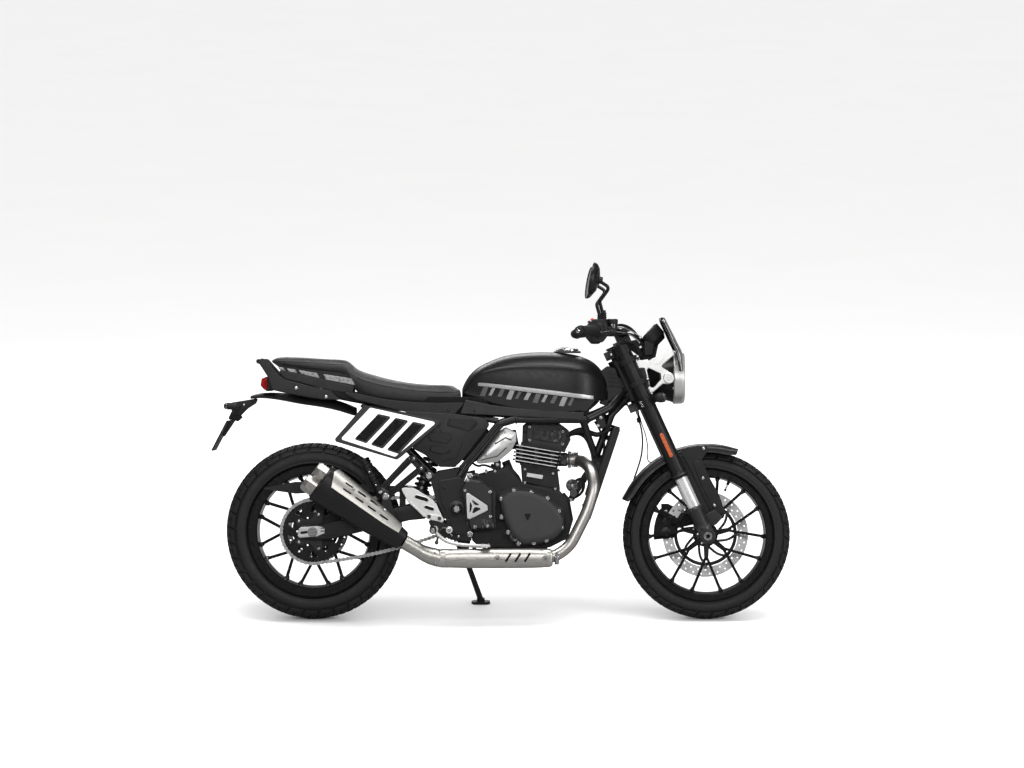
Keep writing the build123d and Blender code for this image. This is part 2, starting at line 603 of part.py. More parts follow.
def chain_loop(offset):
    """The chain's outline, offset outwards from the pitch line, with a slack lower run."""
    big, small = rear_pitch_radius + offset, front_pitch_radius + offset
    dx, dz = output_x, output_z - rear_tyre_radius
    slope = atan2(dz, dx)
    open_angle = asin((rear_pitch_radius - front_pitch_radius) / sqrt(dx * dx + dz * dz))
    top, low = slope + radians(90) - open_angle, slope - radians(90) + open_angle

    def rear(a):
        return big * cos(a), 0, rear_tyre_radius + big * sin(a)

    def front(a):
        return output_x + small * cos(a), 0, output_z + small * sin(a)

    sag = ((rear(low)[0] + front(low)[0]) / 2 + 8, 0, (rear(low)[2] + front(low)[2]) / 2 - 22)
    return [ThreePointArc(rear(top), rear(slope + radians(180)), rear(low)),
            ThreePointArc(rear(low), sag, front(low)),
            ThreePointArc(front(low), front(slope), front(top)),
            Line(front(top), rear(top))]


def chain():
    half = chain_height / 2
    outer = extrude(make_face(chain_loop(half)), amount=chain_width, dir=(0, 1, 0))
    inner = extrude(make_face(chain_loop(-half)), amount=chain_width, dir=(0, 1, 0))
    return Pos(0, chain_y - chain_width / 2, 0) * (outer - inner)


def chain_guard():
    side_view = [(-186, 458), (-60, 482), (40, 478), (330, 466), (330, 446), (30, 446), (-60, 440)]
    side = plate(side_view, -113, -110, 3)
    top = plate([(-60, 446), (330, 446), (330, 449), (-60, 449)], -111, -86)
    stay = plate([(300, 380), (322, 388), (322, 448), (300, 448)], -114, -110)
    return side + top + stay - plate([(290, 370), (330, 370), (330, 399.4), (290, 391)], -140, -109.7)


def rear_caliper():
    low, high = rear_disc_y - 13, rear_disc_y + 15
    body = sector(rear_axle, 74, 142, 38, 72, low, high)
    body -= sector(rear_axle, 60, rear_disc_radius + 5, 30, 80, rear_disc_y - 7.5, rear_disc_y + 7.5)
    outline = [(-16, 296), (-16, 320), (26, 400), (86, 400), (100, 376), (18, 290)]
    bracket = plate(outline, 102, arm_inner - fit, 6)
    return body + bracket - cross_rod(0, rear_tyre_radius, 90, 120, 15 + fit)


# ---- engine ----
def pinned(outline, y_low, y_high, corner, bolts, bolt_radius=5, proud=4):
    """A cover with a ring of bolt heads standing on its outer face."""
    cover = plate(outline, y_low, y_high, corner)
    outer = y_low if abs(y_low) > abs(y_high) else y_high
    step = -proud if outer < 0 else proud
    for x, z in bolts:
        cover += cross_rod(x, z, min(outer, outer + step), max(outer, outer + step), bolt_radius)
    return cover


def crankcase():
    case = plate([(639, 523), (677, 533), (726, 477), (860, 445), (885, 418), (899, 349), (878, 280),
                  (823, 252), (580, 252), (552, 276), (552, 500)], -case_half, case_half, 6)
    case += cross_rod(output_x, output_z, chain_y - 13, 0, 11)
    case += cross_rod(output_x, output_z, chain_y - 4, chain_y + 4, front_pitch_radius - chain_height / 2 - 1)
    for z in (300, 502):
        case += plate([(538, z - 10), (556, z - 14), (556, z + 14), (538, z + 10)], -60, 60)
        case += cross_rod(545, z, -plate_inner, plate_inner, 11)
    return case


def fin_top(x):
    """Height of the top fin's upper face: the cylinder leans forward a little."""
    return 611 - fin_slope * (x - 701)


def cylinder():
    barrel = plate([(722, 552), (728, 476.9), (858, 445.9), (844, 534)], -58, 58)
    for k in range(5):
        start, end, drop = 701 - 2 * k, 862 - 3 * k, k * fin_pitch
        fin = [(start, fin_top(start) - drop), (end, fin_top(end) - drop),
               (end, fin_top(end) - drop - fin_thickness), (start, fin_top(start) - drop - fin_thickness)]
        barrel += plate(fin, -72, 72)
    barrel += plate([(706, 608), (856, 584), (846, 524), (702, 547)], -58, 58)
    port = Vector(*header_route[0])
    return barrel + rod((840, port.Y, port.Z), (port.X - fit, port.Y, port.Z), 24)


def cylinder_head():
    return plate([(728, 676), (756, 694), (806, 694), (858, 683), (889, 660), (896, 626),
                  (874, fin_top(874) + fit), (726, fin_top(726) + fit)], -62, 62, 5)


def engine_covers():
    clutch_outline = [(639, 430), (684, 456), (753, 454), (816, 430), (857, 392), (878, 351), (874, 309),
                      (840, 281), (788, 264), (719, 261), (677, 299), (653, 358)]
    bolts = [(x + 0.09 * (760 - x), z + 0.09 * (355 - z)) for x, z in clutch_outline]
    clutch = pinned(clutch_outline, -150, -case_half, 12, bolts)
    clutch += plate([(720, 420), (800, 412), (846, 350), (800, 292), (716, 292), (690, 350)], -162, -149, 8)
    sprocket = [(514, 461), (535, 496), (580, 489), (622, 458), (626, 352), (636, 324), (546, 315),
                (535, 357)]
    cover = plate(sprocket, -150, -plate_outer - 2, 6)
    cover += plate([(620, 340), (634, 330), (634, 446), (620, 458)], -plate_outer - 4, -case_half - fit)
    generator_outline = [(668, 300), (664, 372), (700, 430), (768, 448), (832, 426), (864, 368), (852, 300),
                         (800, 262), (724, 262)]
    generator_bolts = [(684, 372), (768, 434), (848, 362), (790, 272)]
    generator = pinned(generator_outline, case_half, 138, 12, generator_bolts)
    return [clutch, cover, generator]


def intake_covers():
    outline = [(558, 542), (642, 652), (668, 670), (706, 652), (706, 622), (688, 588), (640, 549)]
    solids = [plate(outline, -96, -62, 8), plate(outline, 62, 96, 8)]
    throat = [(600, 575), (640, 640), (724, 640), (724, 620), (694, 614), (690, 590), (660, 560)]
    return solids + [plate(throat, -61.5, 61.5)]


def airbox():
    box = plate([(486, 560), (486, 688), (592, 688), (618, 640), (590, 566), (560, 548)], -58, 58, 6)
    for side in (-1, 1):
        box += block(465 + fit, 490, *sorted((side * 32, side * 52)), 682, 710)
    return box


def radiator():
    outline = from_front([(-328, 671), (-303, 662), (-407, 350), (-432, 358)])
    core = plate(outline, -92, 92, 4)
    top, low = outline[0], outline[-1]
    for k in (0.12, 0.88):
        x, z = top[0] + k * (low[0] - top[0]), top[1] + k * (low[1] - top[1])
        core += cross_rod(x - 6, z, -28, 28, 9)
    return core


# ---- exhaust ----
header_route = [(884, -16, 557), (908, -16, 557), (938, -44, 551), (967, -98, 525), (977, -126, 468),
                (955, -134, 385), (893, -146, 262), (842, -156, 224), (780, -164, 216)]
tail_route = [(440, -168, 218), (392, -172, 232), (318, -182, 276)]


def exhaust_pipe():
    header = FilletPolyline(*header_route, radius=soft_bends(header_route))
    pipe = sweep(Plane(origin=header @ 0, z_dir=header % 0) * Circle(header_radius), path=header)
    flange = Vector(*header_route[0])
    pipe += rod(tuple(flange), tuple(flange + Vector(9, 0, 0)), 27)
    start, end = Vector(830, -158, 219), Vector(430, -168, 218)
    box = rod(tuple(start), tuple(end), collector_radius)
    box = fillet(box.edges().filter_by(GeomType.CIRCLE), 14)
    tail = FilletPolyline(*tail_route, radius=soft_bends(tail_route))
    pipe += sweep(Plane(origin=tail @ 0, z_dir=tail % 0) * Circle(24), path=tail)
    strut = rod((560, -120, 252), (560, -150, 232), 7)
    return pipe + box + strut


silencer_front, silencer_rear = Vector(314, -182, 279), Vector(32, -198, 480)
silencer_waist = silencer_front + (silencer_rear - silencer_front) * 0.35


def silencer():
    axis = (silencer_rear - silencer_front).normalized()
    front = Plane(origin=silencer_front, x_dir=(0, 1, 0), z_dir=axis)
    rear = Plane(origin=silencer_rear, x_dir=(0, 1, 0), z_dir=axis)
    middle = Plane(origin=silencer_waist, x_dir=(0, 1, 0), z_dir=axis)
    body = loft([front * Ellipse(30, 35), middle * Ellipse(42, 52), rear * Ellipse(50, 69)])
    for up in (28, -28):
        start = silencer_rear + rear.y_dir * up
        body += rod(tuple(start - axis * 10), tuple(start + axis * 48), 26)
    body += plate([(236, 372), (296, 336), (268, 436), (244, 444)], -191, -185, 4)
    return body + cross_rod(255, 433, -191, -127 - fit, 8)


def heat_shield():
    """A curved plate along the silencer's outer side, slotted."""
    axis = (silencer_rear - silencer_front).normalized()
    outline = [(300, 309), (250, 340), (70, 466), (80, 520), (96, 530), (190, 462), (256, 420), (316, 338)]
    skin = plate(outline, -262, -196, 0)
    lower_row = [(124 + 42 * k, 452 - 30 * k) for k in range(4)]
    upper_row = [(x + 8, z + 20) for x, z in lower_row[:3]]
    for x, z in lower_row + upper_row:
        slot = Plane(origin=(x, -300, z), x_dir=(0.82, 0, -0.57), z_dir=(0, 1, 0))
        skin -= slot.location * extrude(SlotOverall(34, 6), amount=90)
    shell_out, shell_in = silencer_shell(7, axis), silencer_shell(4, axis)
    for x, z in ((146, 459), (253, 386)):
        skin_bolt = cross_rod(x, z, -235, -200, 5)
        shell_in -= skin_bolt
        skin += skin_bolt
    return ((skin & shell_out) - shell_in) - silencer_shell(fit, axis)


def silencer_shell(extra, axis):
    front = Plane(origin=silencer_front - axis * 5, x_dir=(0, 1, 0), z_dir=axis)
    rear = Plane(origin=silencer_rear + axis * 5, x_dir=(0, 1, 0), z_dir=axis)
    middle = Plane(origin=silencer_waist, x_dir=(0, 1, 0), z_dir=axis)
    return loft([front * Ellipse(30 + extra, 35 + extra), middle * Ellipse(42 + extra, 52 + extra),
                 rear * Ellipse(50 + extra, 69 + extra)])


# ---- bodywork ----
def plan_half(points):
    """A closed plan outline from its left half, given as (x, y) points."""
    return points + [(x, -y) for x, y in reversed(points)]


def fuel_tank():
    top = [(520, 800), (548, 862), (590, 891), (652, 919), (736, 933), (820, 936), (912, 927), (964, 908),
           (1000, 876)]
    crown = Spline(*[(x, 0, z) for x, z in top])
    underside = [(1000, 876), (1026, 818), (999, 772), (943, 720), (789, 726), (649, 740), (520, 762),
                 (520, 800)]
    rest = Polyline(*[(x, 0, z) for x, z in underside])
    body = Pos(0, -136, 0) * extrude(make_face([crown, rest]), amount=272, dir=(0, 1, 0))
    half = [(112, 700), (120, 740), (134, 790), (135, 830), (128, 870), (108, 905), (70, 930), (0, 940)]
    right = [(-y, z) for y, z in reversed(half[:-1])]
    arc = Spline(*[(500, y, z) for y, z in half + right])
    section = make_face([arc, Line((500, -112, 700), (500, 112, 700))])
    body &= extrude(section, amount=560, dir=(1, 0, 0))
    left = Spline((515, 74, 0), (600, 108, 0), (700, 130, 0), (850, 136, 0), (950, 112, 0), (1032, 46, 0))
    right = mirror(left, about=Plane.XZ)
    ends = [Line((515, 74, 0), (515, -74, 0)), Line((1032, 46, 0), (1032, -46, 0))]
    plan = make_face([left, right, *ends])
    body &= Pos(0, 0, 690) * extrude(plan, amount=260)
    body += Pos(cap_x, 0, 890) * extrude(Circle(cap_radius + 6), amount=neck_top - 890)
    return body - Pos(cap_x, 0, neck_top - neck_depth) * extrude(Circle(neck_radius), amount=neck_depth + 1)


def fuel_cap():
    cap = Pos(cap_x, 0, neck_top + fit) * extrude(Circle(cap_radius), amount=cap_thickness)
    cap = fillet(cap.edges().sort_by(Axis.Z)[-1], 3)
    return cap + Pos(cap_x - 8, 0, neck_top + fit + 7) * Box(30, 14, 10)


def saddle():
    """The rider's seat and the raised pad behind it."""
    side = [(-152, 902), (-124, 912), (-82, 912), (44, 902), (117, 903), (138, 874), (170, 860), (212, 846),
            (254, 835), (316, 821), (422, 814), (512, 808), (512, 760), (474, 752), (369, 754), (299, 757),
            (229, 765), (159, 781), (92, 795), (19, 809), (-51, 826), (-107, 846), (-138, 880)]
    body = plate(side, -125, 125)
    half_plan = [(-156, 62), (-120, 84), (60, 96), (130, 108), (240, 122), (350, 116), (440, 92), (514, 76)]
    body &= slab(plan_half(half_plan), 700, 950)
    for x, y, z in ((300, 86, 750.9), (-50, 79, 818.6)):
        for side in (-1, 1):
            body += rod((x, side * y, z), (x, side * y, z + 16), 7)
    return body


def grab_rails():
    outline = [(-196, 896), (-176, 908), (-140, 877), (-105, 842), (-46, 828), (58, 804), (93, 786),
               (121, 751), (58, 758), (-46, 779), (-140, 793), (-151, 835)]
    left = plate(outline, 98, 108, 3) + cross_rod(60, 784, 94.3, 100, 7) + cross_rod(-60, 806, 89.8, 100, 7)
    rails = both_sides(left)
    tail = slab(plan_half([(-148, 97.5), (-130, 97.5)]), 812, 836)
    return rails + [tail]


def tail_lights():
    lamp = plate([(-182, 806), (-178, 836), (-148.3, 842), (-148.3, 802)], -58, 58, 3)
    lamps = [lamp]
    for side in (-1, 1):
        stalk = cross_rod(-268, 738, *sorted((side * (20 + fit), side * 118)), 6)
        lamps.append(stalk + rod((-282, side * 122, 738), (-248, side * 122, 738), 16))
    return lamps


plate_centre, plate_normal = (-309.5, 0.0, 673.5), Vector(-0.8838, 0, 0.4679)
plate_hole_spacing, plate_hole_radius = 140.0, 3.5


def rear_mudguard():
    side = [(130, 712), (54, 740), (-16, 760), (-86, 768), (-196, 768), (-250, 724), (-300, 680), (-306, 686),
            (-262, 750), (-226, 779), (-156, 790), (-60, 784), (60, 762), (134, 736)]
    body = plate(side, -62, 62)
    body += plate([(-62, 778), (-38, 778), (-42, 796.7), (-58, 796.7)], -12, 12)
    body -= plate([(-400, 600), (-400, 800), (-205, 800), (-205, 600)], -100, -20)
    body -= plate([(-400, 600), (-400, 800), (-205, 800), (-205, 600)], 20, 100)
    board = plate([(-296, 694), (-302, 692), (-356, 590), (-350, 587)], -95, 95)
    for side in (-1, 1):
        hole = Vector(*plate_centre) + Vector(0, side * plate_hole_spacing / 2, 0)
        board -= rod(tuple(hole - plate_normal * 20), tuple(hole + plate_normal * 20), plate_hole_radius)
    return body + board


def side_panels():
    outline = [(317, 727), (493, 717), (560, 706), (600, 690), (610, 664), (514, 552), (493, 530), (441, 533),
               (389, 575), (348, 596)]
    left = plate(outline, 118, 130, 4)
    for x, z in ((500, 640), (560, 660)):
        left += cross_rod(x, z, 58 + fit, 119, 8)
    return both_sides(left)


def number_boards():
    outline = [(71, 624), (179, 748), (452, 693), (293, 558)]
    left = plate(outline, 147, 151, 8)
    for x, z in ((380, 672), (340, 620)):
        left += cross_rod(x, z, 130 + fit, 148, 8)
    return both_sides(left)


def footrest_brackets():
    """Heel guards for the rider and hangers for the passenger."""
    guard = plate([(304, 461), (345, 465), (432, 420), (463, 347), (478, 300), (462, 284), (436, 300),
                   (396, 344), (390, 351), (331, 403)], 150, 158, 5)
    for x, z in ((473, 292), (449, 330)):
        guard += cross_rod(x, z, plate_outer + fit, 152, 9)
    hanger = plate([(341, 571), (386, 527), (376, 515), (262, 420), (222, 440), (224, 456), (326, 566)],
                   120, 127, 5)
    hanger -= plate([(338, 550), (360, 527), (262, 440), (246, 448)], 110, 140, 4)
    for x, z in ((350, 562), (376, 528)):
        hanger += cross_rod(x, z, 100.2, 121, 7)
    return both_sides(guard) + both_sides(hanger)


def footrests():
    peg = rod((418, 158 + fit, 316), (418, 232, 316), 10)
    peg += block(408, 428, 170, 234, 318, 330)
    folded = rod((234, 139, 440), (175, 139, 558), 11)
    folded += cross_rod(234, 446, 127 + fit, 144, 9)
    return both_sides(peg) + both_sides(folded)


def foot_controls():
    brake = tube([(474, -168, 316), (520, -170, 292), (563, -178, 262), (600, -196, 262)], 7, bend=14)
    brake += cross_rod(474, 316, -176, -158 - fit, 13)
    gear = tube([(474, 168, 316), (530, 172, 300), (610, 176, 290), (612, 200, 290)], 6, bend=6)
    gear += cross_rod(474, 316, 158 + fit, 176, 11)
    return [brake, gear]


# ---- the whole machine ----
def chassis_parts():
    return {"main_frame": main_frame(), "subframe": subframe(), "swingarm": swingarm(),
            "rear_axle": rear_axle_shaft(), "rear_shock": rear_shock(), "chain": chain(),
            "chain_guard": chain_guard(), "rear_caliper": rear_caliper(), "crankcase": crankcase(),
            "cylinder": cylinder(), "cylinder_head": cylinder_head(), "engine_covers": engine_covers(),
            "intake_covers": intake_covers(), "airbox": airbox(), "radiator": radiator(),
            "exhaust_pipe": exhaust_pipe(), "silencer": silencer(), "heat_shield": heat_shield(),
            "fuel_tank": fuel_tank(), "saddle": saddle(), "grab_rails": grab_rails(),
            "tail_lights": tail_lights(), "rear_mudguard": rear_mudguard(), "side_panels": side_panels(),
            "number_boards": number_boards(), "footrest_brackets": footrest_brackets(),
            "footrests": footrests(), "foot_controls": foot_controls()}


def model():
    """Every node's solids on the upright machine, and the body that each rides on."""
    groups = {"chassis": chassis_parts(), "fork": fork_parts(), "front_wheel_body": front_wheel_parts(),
              "rear_wheel_body": rear_wheel_parts(), "stand": {"side_stand": side_stand()},
              "cap": {"fuel_cap": fuel_cap()}}
    parts, bodies = {}, {}
    for body, group in groups.items():
        bodies[body] = list(group)
        for name, shape in group.items():
            shapes = shape if isinstance(shape, list) else [shape]
            parts[name] = [solid for one in shapes for solid in one.solids()]
    return parts, bodies


def parking(parts):
    """The move from the upright machine to the parked one."""
    tilt = Rot(-lean, 0, 0)
    box = Compound(children=[tilt * solid for solids in parts.values() for solid in solids]).bounding_box()
    return Pos(-(box.min.X + box.max.X) / 2, -(box.min.Y + box.max.Y) / 2, -box.min.Z) * tilt


def main():
    parts, _ = model()
    park = parking(parts)
    os.makedirs("parts", exist_ok=True)
    for name, solids in parts.items():
        placed = [park * solid for solid in solids]
        export_step(placed[0] if len(placed) == 1 else Compound(children=placed), f"parts/{name}.step")


if __name__ == "__main__":
    main()
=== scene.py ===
import bmesh
import bpy
import json
from math import asin, atan2, ceil, cos, degrees, hypot, pi, radians, sin, sqrt, tan
from mathutils import Matrix, Vector
from mathutils.bvhtree import BVHTree


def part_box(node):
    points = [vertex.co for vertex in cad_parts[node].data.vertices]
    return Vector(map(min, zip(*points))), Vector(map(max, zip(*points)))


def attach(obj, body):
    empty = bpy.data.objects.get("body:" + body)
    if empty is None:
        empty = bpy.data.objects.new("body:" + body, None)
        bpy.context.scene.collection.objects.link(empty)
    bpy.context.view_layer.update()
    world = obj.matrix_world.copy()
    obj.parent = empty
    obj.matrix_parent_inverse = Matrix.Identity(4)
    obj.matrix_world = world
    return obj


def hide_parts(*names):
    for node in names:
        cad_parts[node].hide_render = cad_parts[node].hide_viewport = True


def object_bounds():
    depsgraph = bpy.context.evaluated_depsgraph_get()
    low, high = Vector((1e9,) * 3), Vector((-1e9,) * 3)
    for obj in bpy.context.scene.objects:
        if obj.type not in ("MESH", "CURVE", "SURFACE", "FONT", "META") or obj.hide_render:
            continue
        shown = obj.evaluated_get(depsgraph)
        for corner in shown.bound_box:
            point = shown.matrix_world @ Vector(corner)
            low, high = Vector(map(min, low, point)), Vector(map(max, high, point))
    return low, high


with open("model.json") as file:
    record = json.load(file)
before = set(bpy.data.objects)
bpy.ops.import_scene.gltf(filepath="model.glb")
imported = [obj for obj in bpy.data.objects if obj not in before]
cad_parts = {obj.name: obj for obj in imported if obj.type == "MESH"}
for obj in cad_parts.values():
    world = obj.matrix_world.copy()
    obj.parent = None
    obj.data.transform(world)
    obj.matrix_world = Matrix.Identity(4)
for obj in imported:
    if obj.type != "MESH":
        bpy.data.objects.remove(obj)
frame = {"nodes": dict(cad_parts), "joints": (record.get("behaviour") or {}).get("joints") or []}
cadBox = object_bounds()

# The machine is drawn upright, in millimetres: x forward from the rear axle, y to the rider's left, z up
# from the ground.  park then leans it on its stand and puts it where the frame has it.


def middleOf(node):
    low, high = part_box(node)
    return (low + high) / 2


def halfLength(node):
    low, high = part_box(node)
    return (high.x - low.x) * 500


def jointNamed(name):
    return next(joint for joint in frame["joints"] if joint["name"] == name)


spinAxis = jointNamed("rear_wheel_spin")["axis"]
leanAngle = atan2(-spinAxis[2], spinAxis[1])
rake = asin(-jointNamed("steering")["axis"][0])
rearHub, frontHub = middleOf("rear_tyre"), middleOf("front_tyre")
rearRadius, frontRadius = halfLength("rear_tyre"), halfLength("front_tyre")
wheelbase = (frontHub.x - rearHub.x) * 1000
park = (Matrix.Translation(rearHub) @ Matrix.Rotation(-leanAngle, 4, "X") @ Matrix.Translation((0, 0,
    -rearRadius / 1000)))
toRight, toLeft, forward, upward = (0, -1, 0), (0, 1, 0), (1, 0, 0), (0, 0, 1)
rearAxle, frontAxle = Vector((0, 0, rearRadius)), Vector((wheelbase, 0, frontRadius))


def forkPoint(ahead, y, up):
    # a point ahead of the fork legs and up along them from the axle
    return Vector((wheelbase + ahead * cos(rake) - up * sin(rake), y, frontRadius + ahead * sin(rake)
        + up * cos(rake)))


forkUp, forkAhead = Vector((-sin(rake), 0, cos(rake))), Vector((cos(rake), 0, sin(rake)))
print("frame loaded, lean", round(degrees(leanAngle), 2), "wheelbase", round(wheelbase, 1))


# helpers for shapes: each gives one mesh, drawn in millimetres
def placed(name, data):
    shape = bpy.data.objects.new(name, data)
    bpy.context.scene.collection.objects.link(shape)
    return shape


def evaluated(shape):
    # the mesh that its modifiers make
    return bpy.data.meshes.new_from_object(shape.evaluated_get(bpy.context.evaluated_depsgraph_get()))


def meshOf(points, faces):
    mesh = bpy.data.meshes.new("shape")
    mesh.from_pydata([Vector(p) * 0.001 for p in points], [], faces)
    return mesh


def loft(rings, caps=True, wrap=False):
    # skins rings of equal length, in order
    n, points, faces = len(rings[0]), [p for ring in rings for p in ring], []
    for r in range(len(rings) if wrap else len(rings) - 1):
        a, b = r * n, ((r + 1) % len(rings)) * n
        for k in range(n):
            faces.append((a + k, a + (k + 1) % n, b + (k + 1) % n, b + k))
    if caps and not wrap:
        faces += [tuple(range(n)), tuple(range(len(points) - n, len(points)))]
    return meshOf(points, faces)


def bent(points, radius, closed=False, steps=5):
    # a line whose corners become arcs; radius is one number or one for each point
    corners = [Vector(p) for p in points]
    path = []
    for k, corner in enumerate(corners):
        r = radius[k] if isinstance(radius, (list, tuple)) else radius
        if r <= 0 or (not closed and k in (0, len(corners) - 1)):
            path.append(corner)
            continue
        before, after = corners[k - 1] - corner, corners[(k + 1) % len(corners)] - corner
        half = before.angle(after) / 2
        if half > 1.54 or half < 0.02:
            path.append(corner)
            continue
        reach = min(r / tan(half), 0.47 * before.length, 0.47 * after.length)
        before, after = before.normalized(), after.normalized()
        centre = corner + (before + after).normalized() * (reach / cos(half))
        start, end = corner + before * reach - centre, corner + after * reach - centre
        turn = start.angle(end)
        for s in range(steps + 1):
            t = s / steps
            path.append(centre + (start * sin((1 - t) * turn) + end * sin(t * turn)) / sin(turn))
    return path


def flat(outline, y=0.0):
    # (x, z) points as points in space
    return [Vector((p[0], y, p[1])) for p in outline]


def plate(outline, low, high, bevel=1.0, corner=0.0, holes=(), fine=2):
    # a flat piece drawn in (x, z) between two y values, with rounded edges and holes
    low, high = sorted((low, high))
    curve = bpy.data.curves.new("outline", "CURVE")
    curve.dimensions, curve.fill_mode = "2D", "BOTH"
    rims = [bent(flat(outline), corner, True)]
    rims += [h if isinstance(h[0], Vector) else flat(h) for h in holes]
    for rim in rims:
        spline = curve.splines.new("POLY")
        spline.points.add(len(rim) - 1)
        for point, p in zip(spline.points, rim):
            point.co = (p.x / 1000, p.z / 1000, 0, 1)
        spline.use_cyclic_u = True
    bevel = min(bevel, 0.49 * (high - low))
    curve.extrude = max((high - low) / 2 - bevel, 0.01) / 1000
    curve.bevel_depth, curve.offset, curve.bevel_resolution = bevel / 1000, -bevel / 1000, fine
    shape = bpy.data.objects.new("outline", curve)
    mesh = bpy.data.meshes.new_from_object(shape)
    bpy.data.objects.remove(shape)
    bpy.data.curves.remove(curve)
    mesh.transform(Matrix(((1, 0, 0, 0), (0, 0, -1, (low + high) / 2000), (0, 1, 0, 0), (0, 0, 0, 1))))
    return mesh


def dome(outline, low, high, swell, corner=0.0, rings=6, side=-1, edge=0.16):
    # a panel whose face swells towards its middle; low and high are distances from the machine's middle
    rim = bent(flat(outline), corner, True, 4)
    middle = sum(rim, Vector()) / len(rim)
    loops = [[Vector((p.x, side * low, p.z)) for p in rim]]
    for k in range(rings):
        s = 1 - k / rings
        loops.append([Vector((middle.x + (p.x - middle.x) * s, side * (high + swell * (1 - s ** 2.2)),
            middle.z + (p.z - middle.z) * s)) for p in rim])
        if k == 0:
            loops[-1] = [p - Vector((0, side * edge * 10, 0)) for p in loops[-1]]
            loops.append([Vector((middle.x + (p.x - middle.x) * (1 - edge / 8), side * (high + 0.2),
                middle.z + (p.z - middle.z) * (1 - edge / 8))) for p in rim])
    return loft(loops)


def ringOutline(x, z, radius, count=24):
    return [(x + radius * cos(2 * pi * k / count), z + radius * sin(2 * pi * k / count))
        for k in range(count)]


def slotOutline(x, z, length, width, angle, count=8):
    # a round-ended slot, centred, turned by angle degrees
    a, reach, r = radians(angle), (length - width) / 2, width / 2
    out = []
    for side in (1, -1):
        for k in range(count + 1):
            b = a - pi / 2 * side + pi * k / count if side > 0 else a + pi / 2 + pi * k / count
            out.append((x + side * reach * cos(a) + r * cos(b), z + side * reach * sin(a) + r * sin(b)))
    return out


def turned(profile, start=(0, 0, 0), direction=(0, 1, 0), segments=48, wrap=False, twist=0.0):
    # (along, radius) points turned about a line
    axis = Vector(direction).normalized()
    across = axis.orthogonal().normalized()
    up = axis.cross(across)
    angles = [twist + 2 * pi * k / segments for k in range(segments)]
    rings = [[Vector(start) + axis * a + (across * cos(t) + up * sin(t)) * r for t in angles]
        for a, r in profile]
    return loft(rings, caps=not wrap, wrap=wrap)


def profileOf(points, radius, closed=False, steps=3):
    return [(p.x, p.z) for p in bent(flat(points), radius, closed, steps)]


def ringsAlong(path, radius, sides=16):
    # rings round a line, carried along it without twisting
    rings, normal = [], None
    for k, point in enumerate(path):
        along = (path[min(k + 1, len(path) - 1)] - path[max(k - 1, 0)]).normalized()
        normal = along.orthogonal() if normal is None else normal - along * normal.dot(along)
        normal = normal.normalized()
        other = along.cross(normal)
        r = radius(k / (len(path) - 1)) if callable(radius) else radius
        rings.append([point + (normal * cos(2 * pi * s / sides) + other * sin(2 * pi * s / sides)) * r
            for s in range(sides)])
    return rings


def tube(points, radius, bend=20.0, sides=16, steps=6):
    return loft(ringsAlong(bent(points, bend, steps=steps), radius, sides))


def flowing(points, radius, sides=12, order=3):
    # a hose or cable on one smooth curve through given control points
    curve = bpy.data.curves.new("route", "CURVE")
    curve.dimensions, curve.resolution_u = "3D", 10
    spline = curve.splines.new("NURBS")
    spline.points.add(len(points) - 1)
    for point, p in zip(spline.points, points):
        point.co = (*(Vector(p) / 1000), 1)
    spline.order_u, spline.use_endpoint_u = order, True
    shape = bpy.data.objects.new("route", curve)
    line = bpy.data.meshes.new_from_object(shape)
    path = [v.co * 1000 for v in line.vertices]
    bpy.data.objects.remove(shape)
    return loft(ringsAlong(path, radius, sides))


def rod(start, end, radius, sides=24, bevel=0.6):
    start, end = Vector(start), Vector(end)
    length = (end - start).length
    bevel = min(bevel, 0.4 * length, 0.4 * radius)
    profile = [(0, radius - bevel), (bevel, radius), (length - bevel, radius), (length, radius - bevel)]
    return turned(profile, start, end - start, sides)


def softened(mesh, width, segments=2, angle=30):
    work = bmesh.new()
    work.from_mesh(mesh)
    edges = [e for e in work.edges if len(e.link_faces) == 2 and e.calc_face_angle(0) > radians(angle)]
    bmesh.ops.bevel(work, geom=edges, offset=width / 1000, segments=segments, affect="EDGES",
        clamp_overlap=True)
    work.to_mesh(mesh)
    work.free()
    return mesh


def box(centre, size, bevel=1.0, turn=None):
    work = bmesh.new()
    bmesh.ops.create_cube(work, size=1)
    bmesh.ops.scale(work, verts=work.verts, vec=Vector(size) / 1000)
    mesh = bpy.data.meshes.new("shape")
    work.to_mesh(mesh)
    work.free()
    if bevel:
        softened(mesh, bevel)
    if turn is not None:
        mesh.transform(turn.to_4x4())
    mesh.transform(Matrix.Translation(Vector(centre) / 1000))
    return mesh


def subdivided(mesh, levels=2, crease=None):
    # smooth surface over a cage; edges sharper than crease degrees stay crisp
    shape = placed("cage", mesh)
    if crease:
        work = bmesh.new()
        work.from_mesh(mesh)
        layer = work.edges.layers.float.new("crease_edge")
        for edge in work.edges:
            if len(edge.link_faces) < 2 or edge.calc_face_angle(0) > radians(crease):
                edge[layer] = 0.8
        work.to_mesh(mesh)
        work.free()
    bend = shape.modifiers.new("smooth", "SUBSURF")
    bend.levels = bend.render_levels = levels
    done = evaluated(shape)
    bpy.data.objects.remove(shape)
    return done


def thickened(mesh, thickness, offset=-1.0):
    shape = placed("sheet", mesh)
    shell = shape.modifiers.new("shell", "SOLIDIFY")
    shell.thickness, shell.offset, shell.use_even_offset = thickness / 1000, offset, True
    done = evaluated(shape)
    bpy.data.objects.remove(shape)
    return done


def moved(mesh, matrix):
    copy = mesh.copy()
    copy.transform(Matrix.Translation(matrix.translation / 1000) @ matrix.to_3x3().to_4x4())
    return copy


def mirrored(shapes):
    # the same shapes on the machine's other side
    return [(mirrorMesh(mesh), finish) for mesh, finish in shapes]


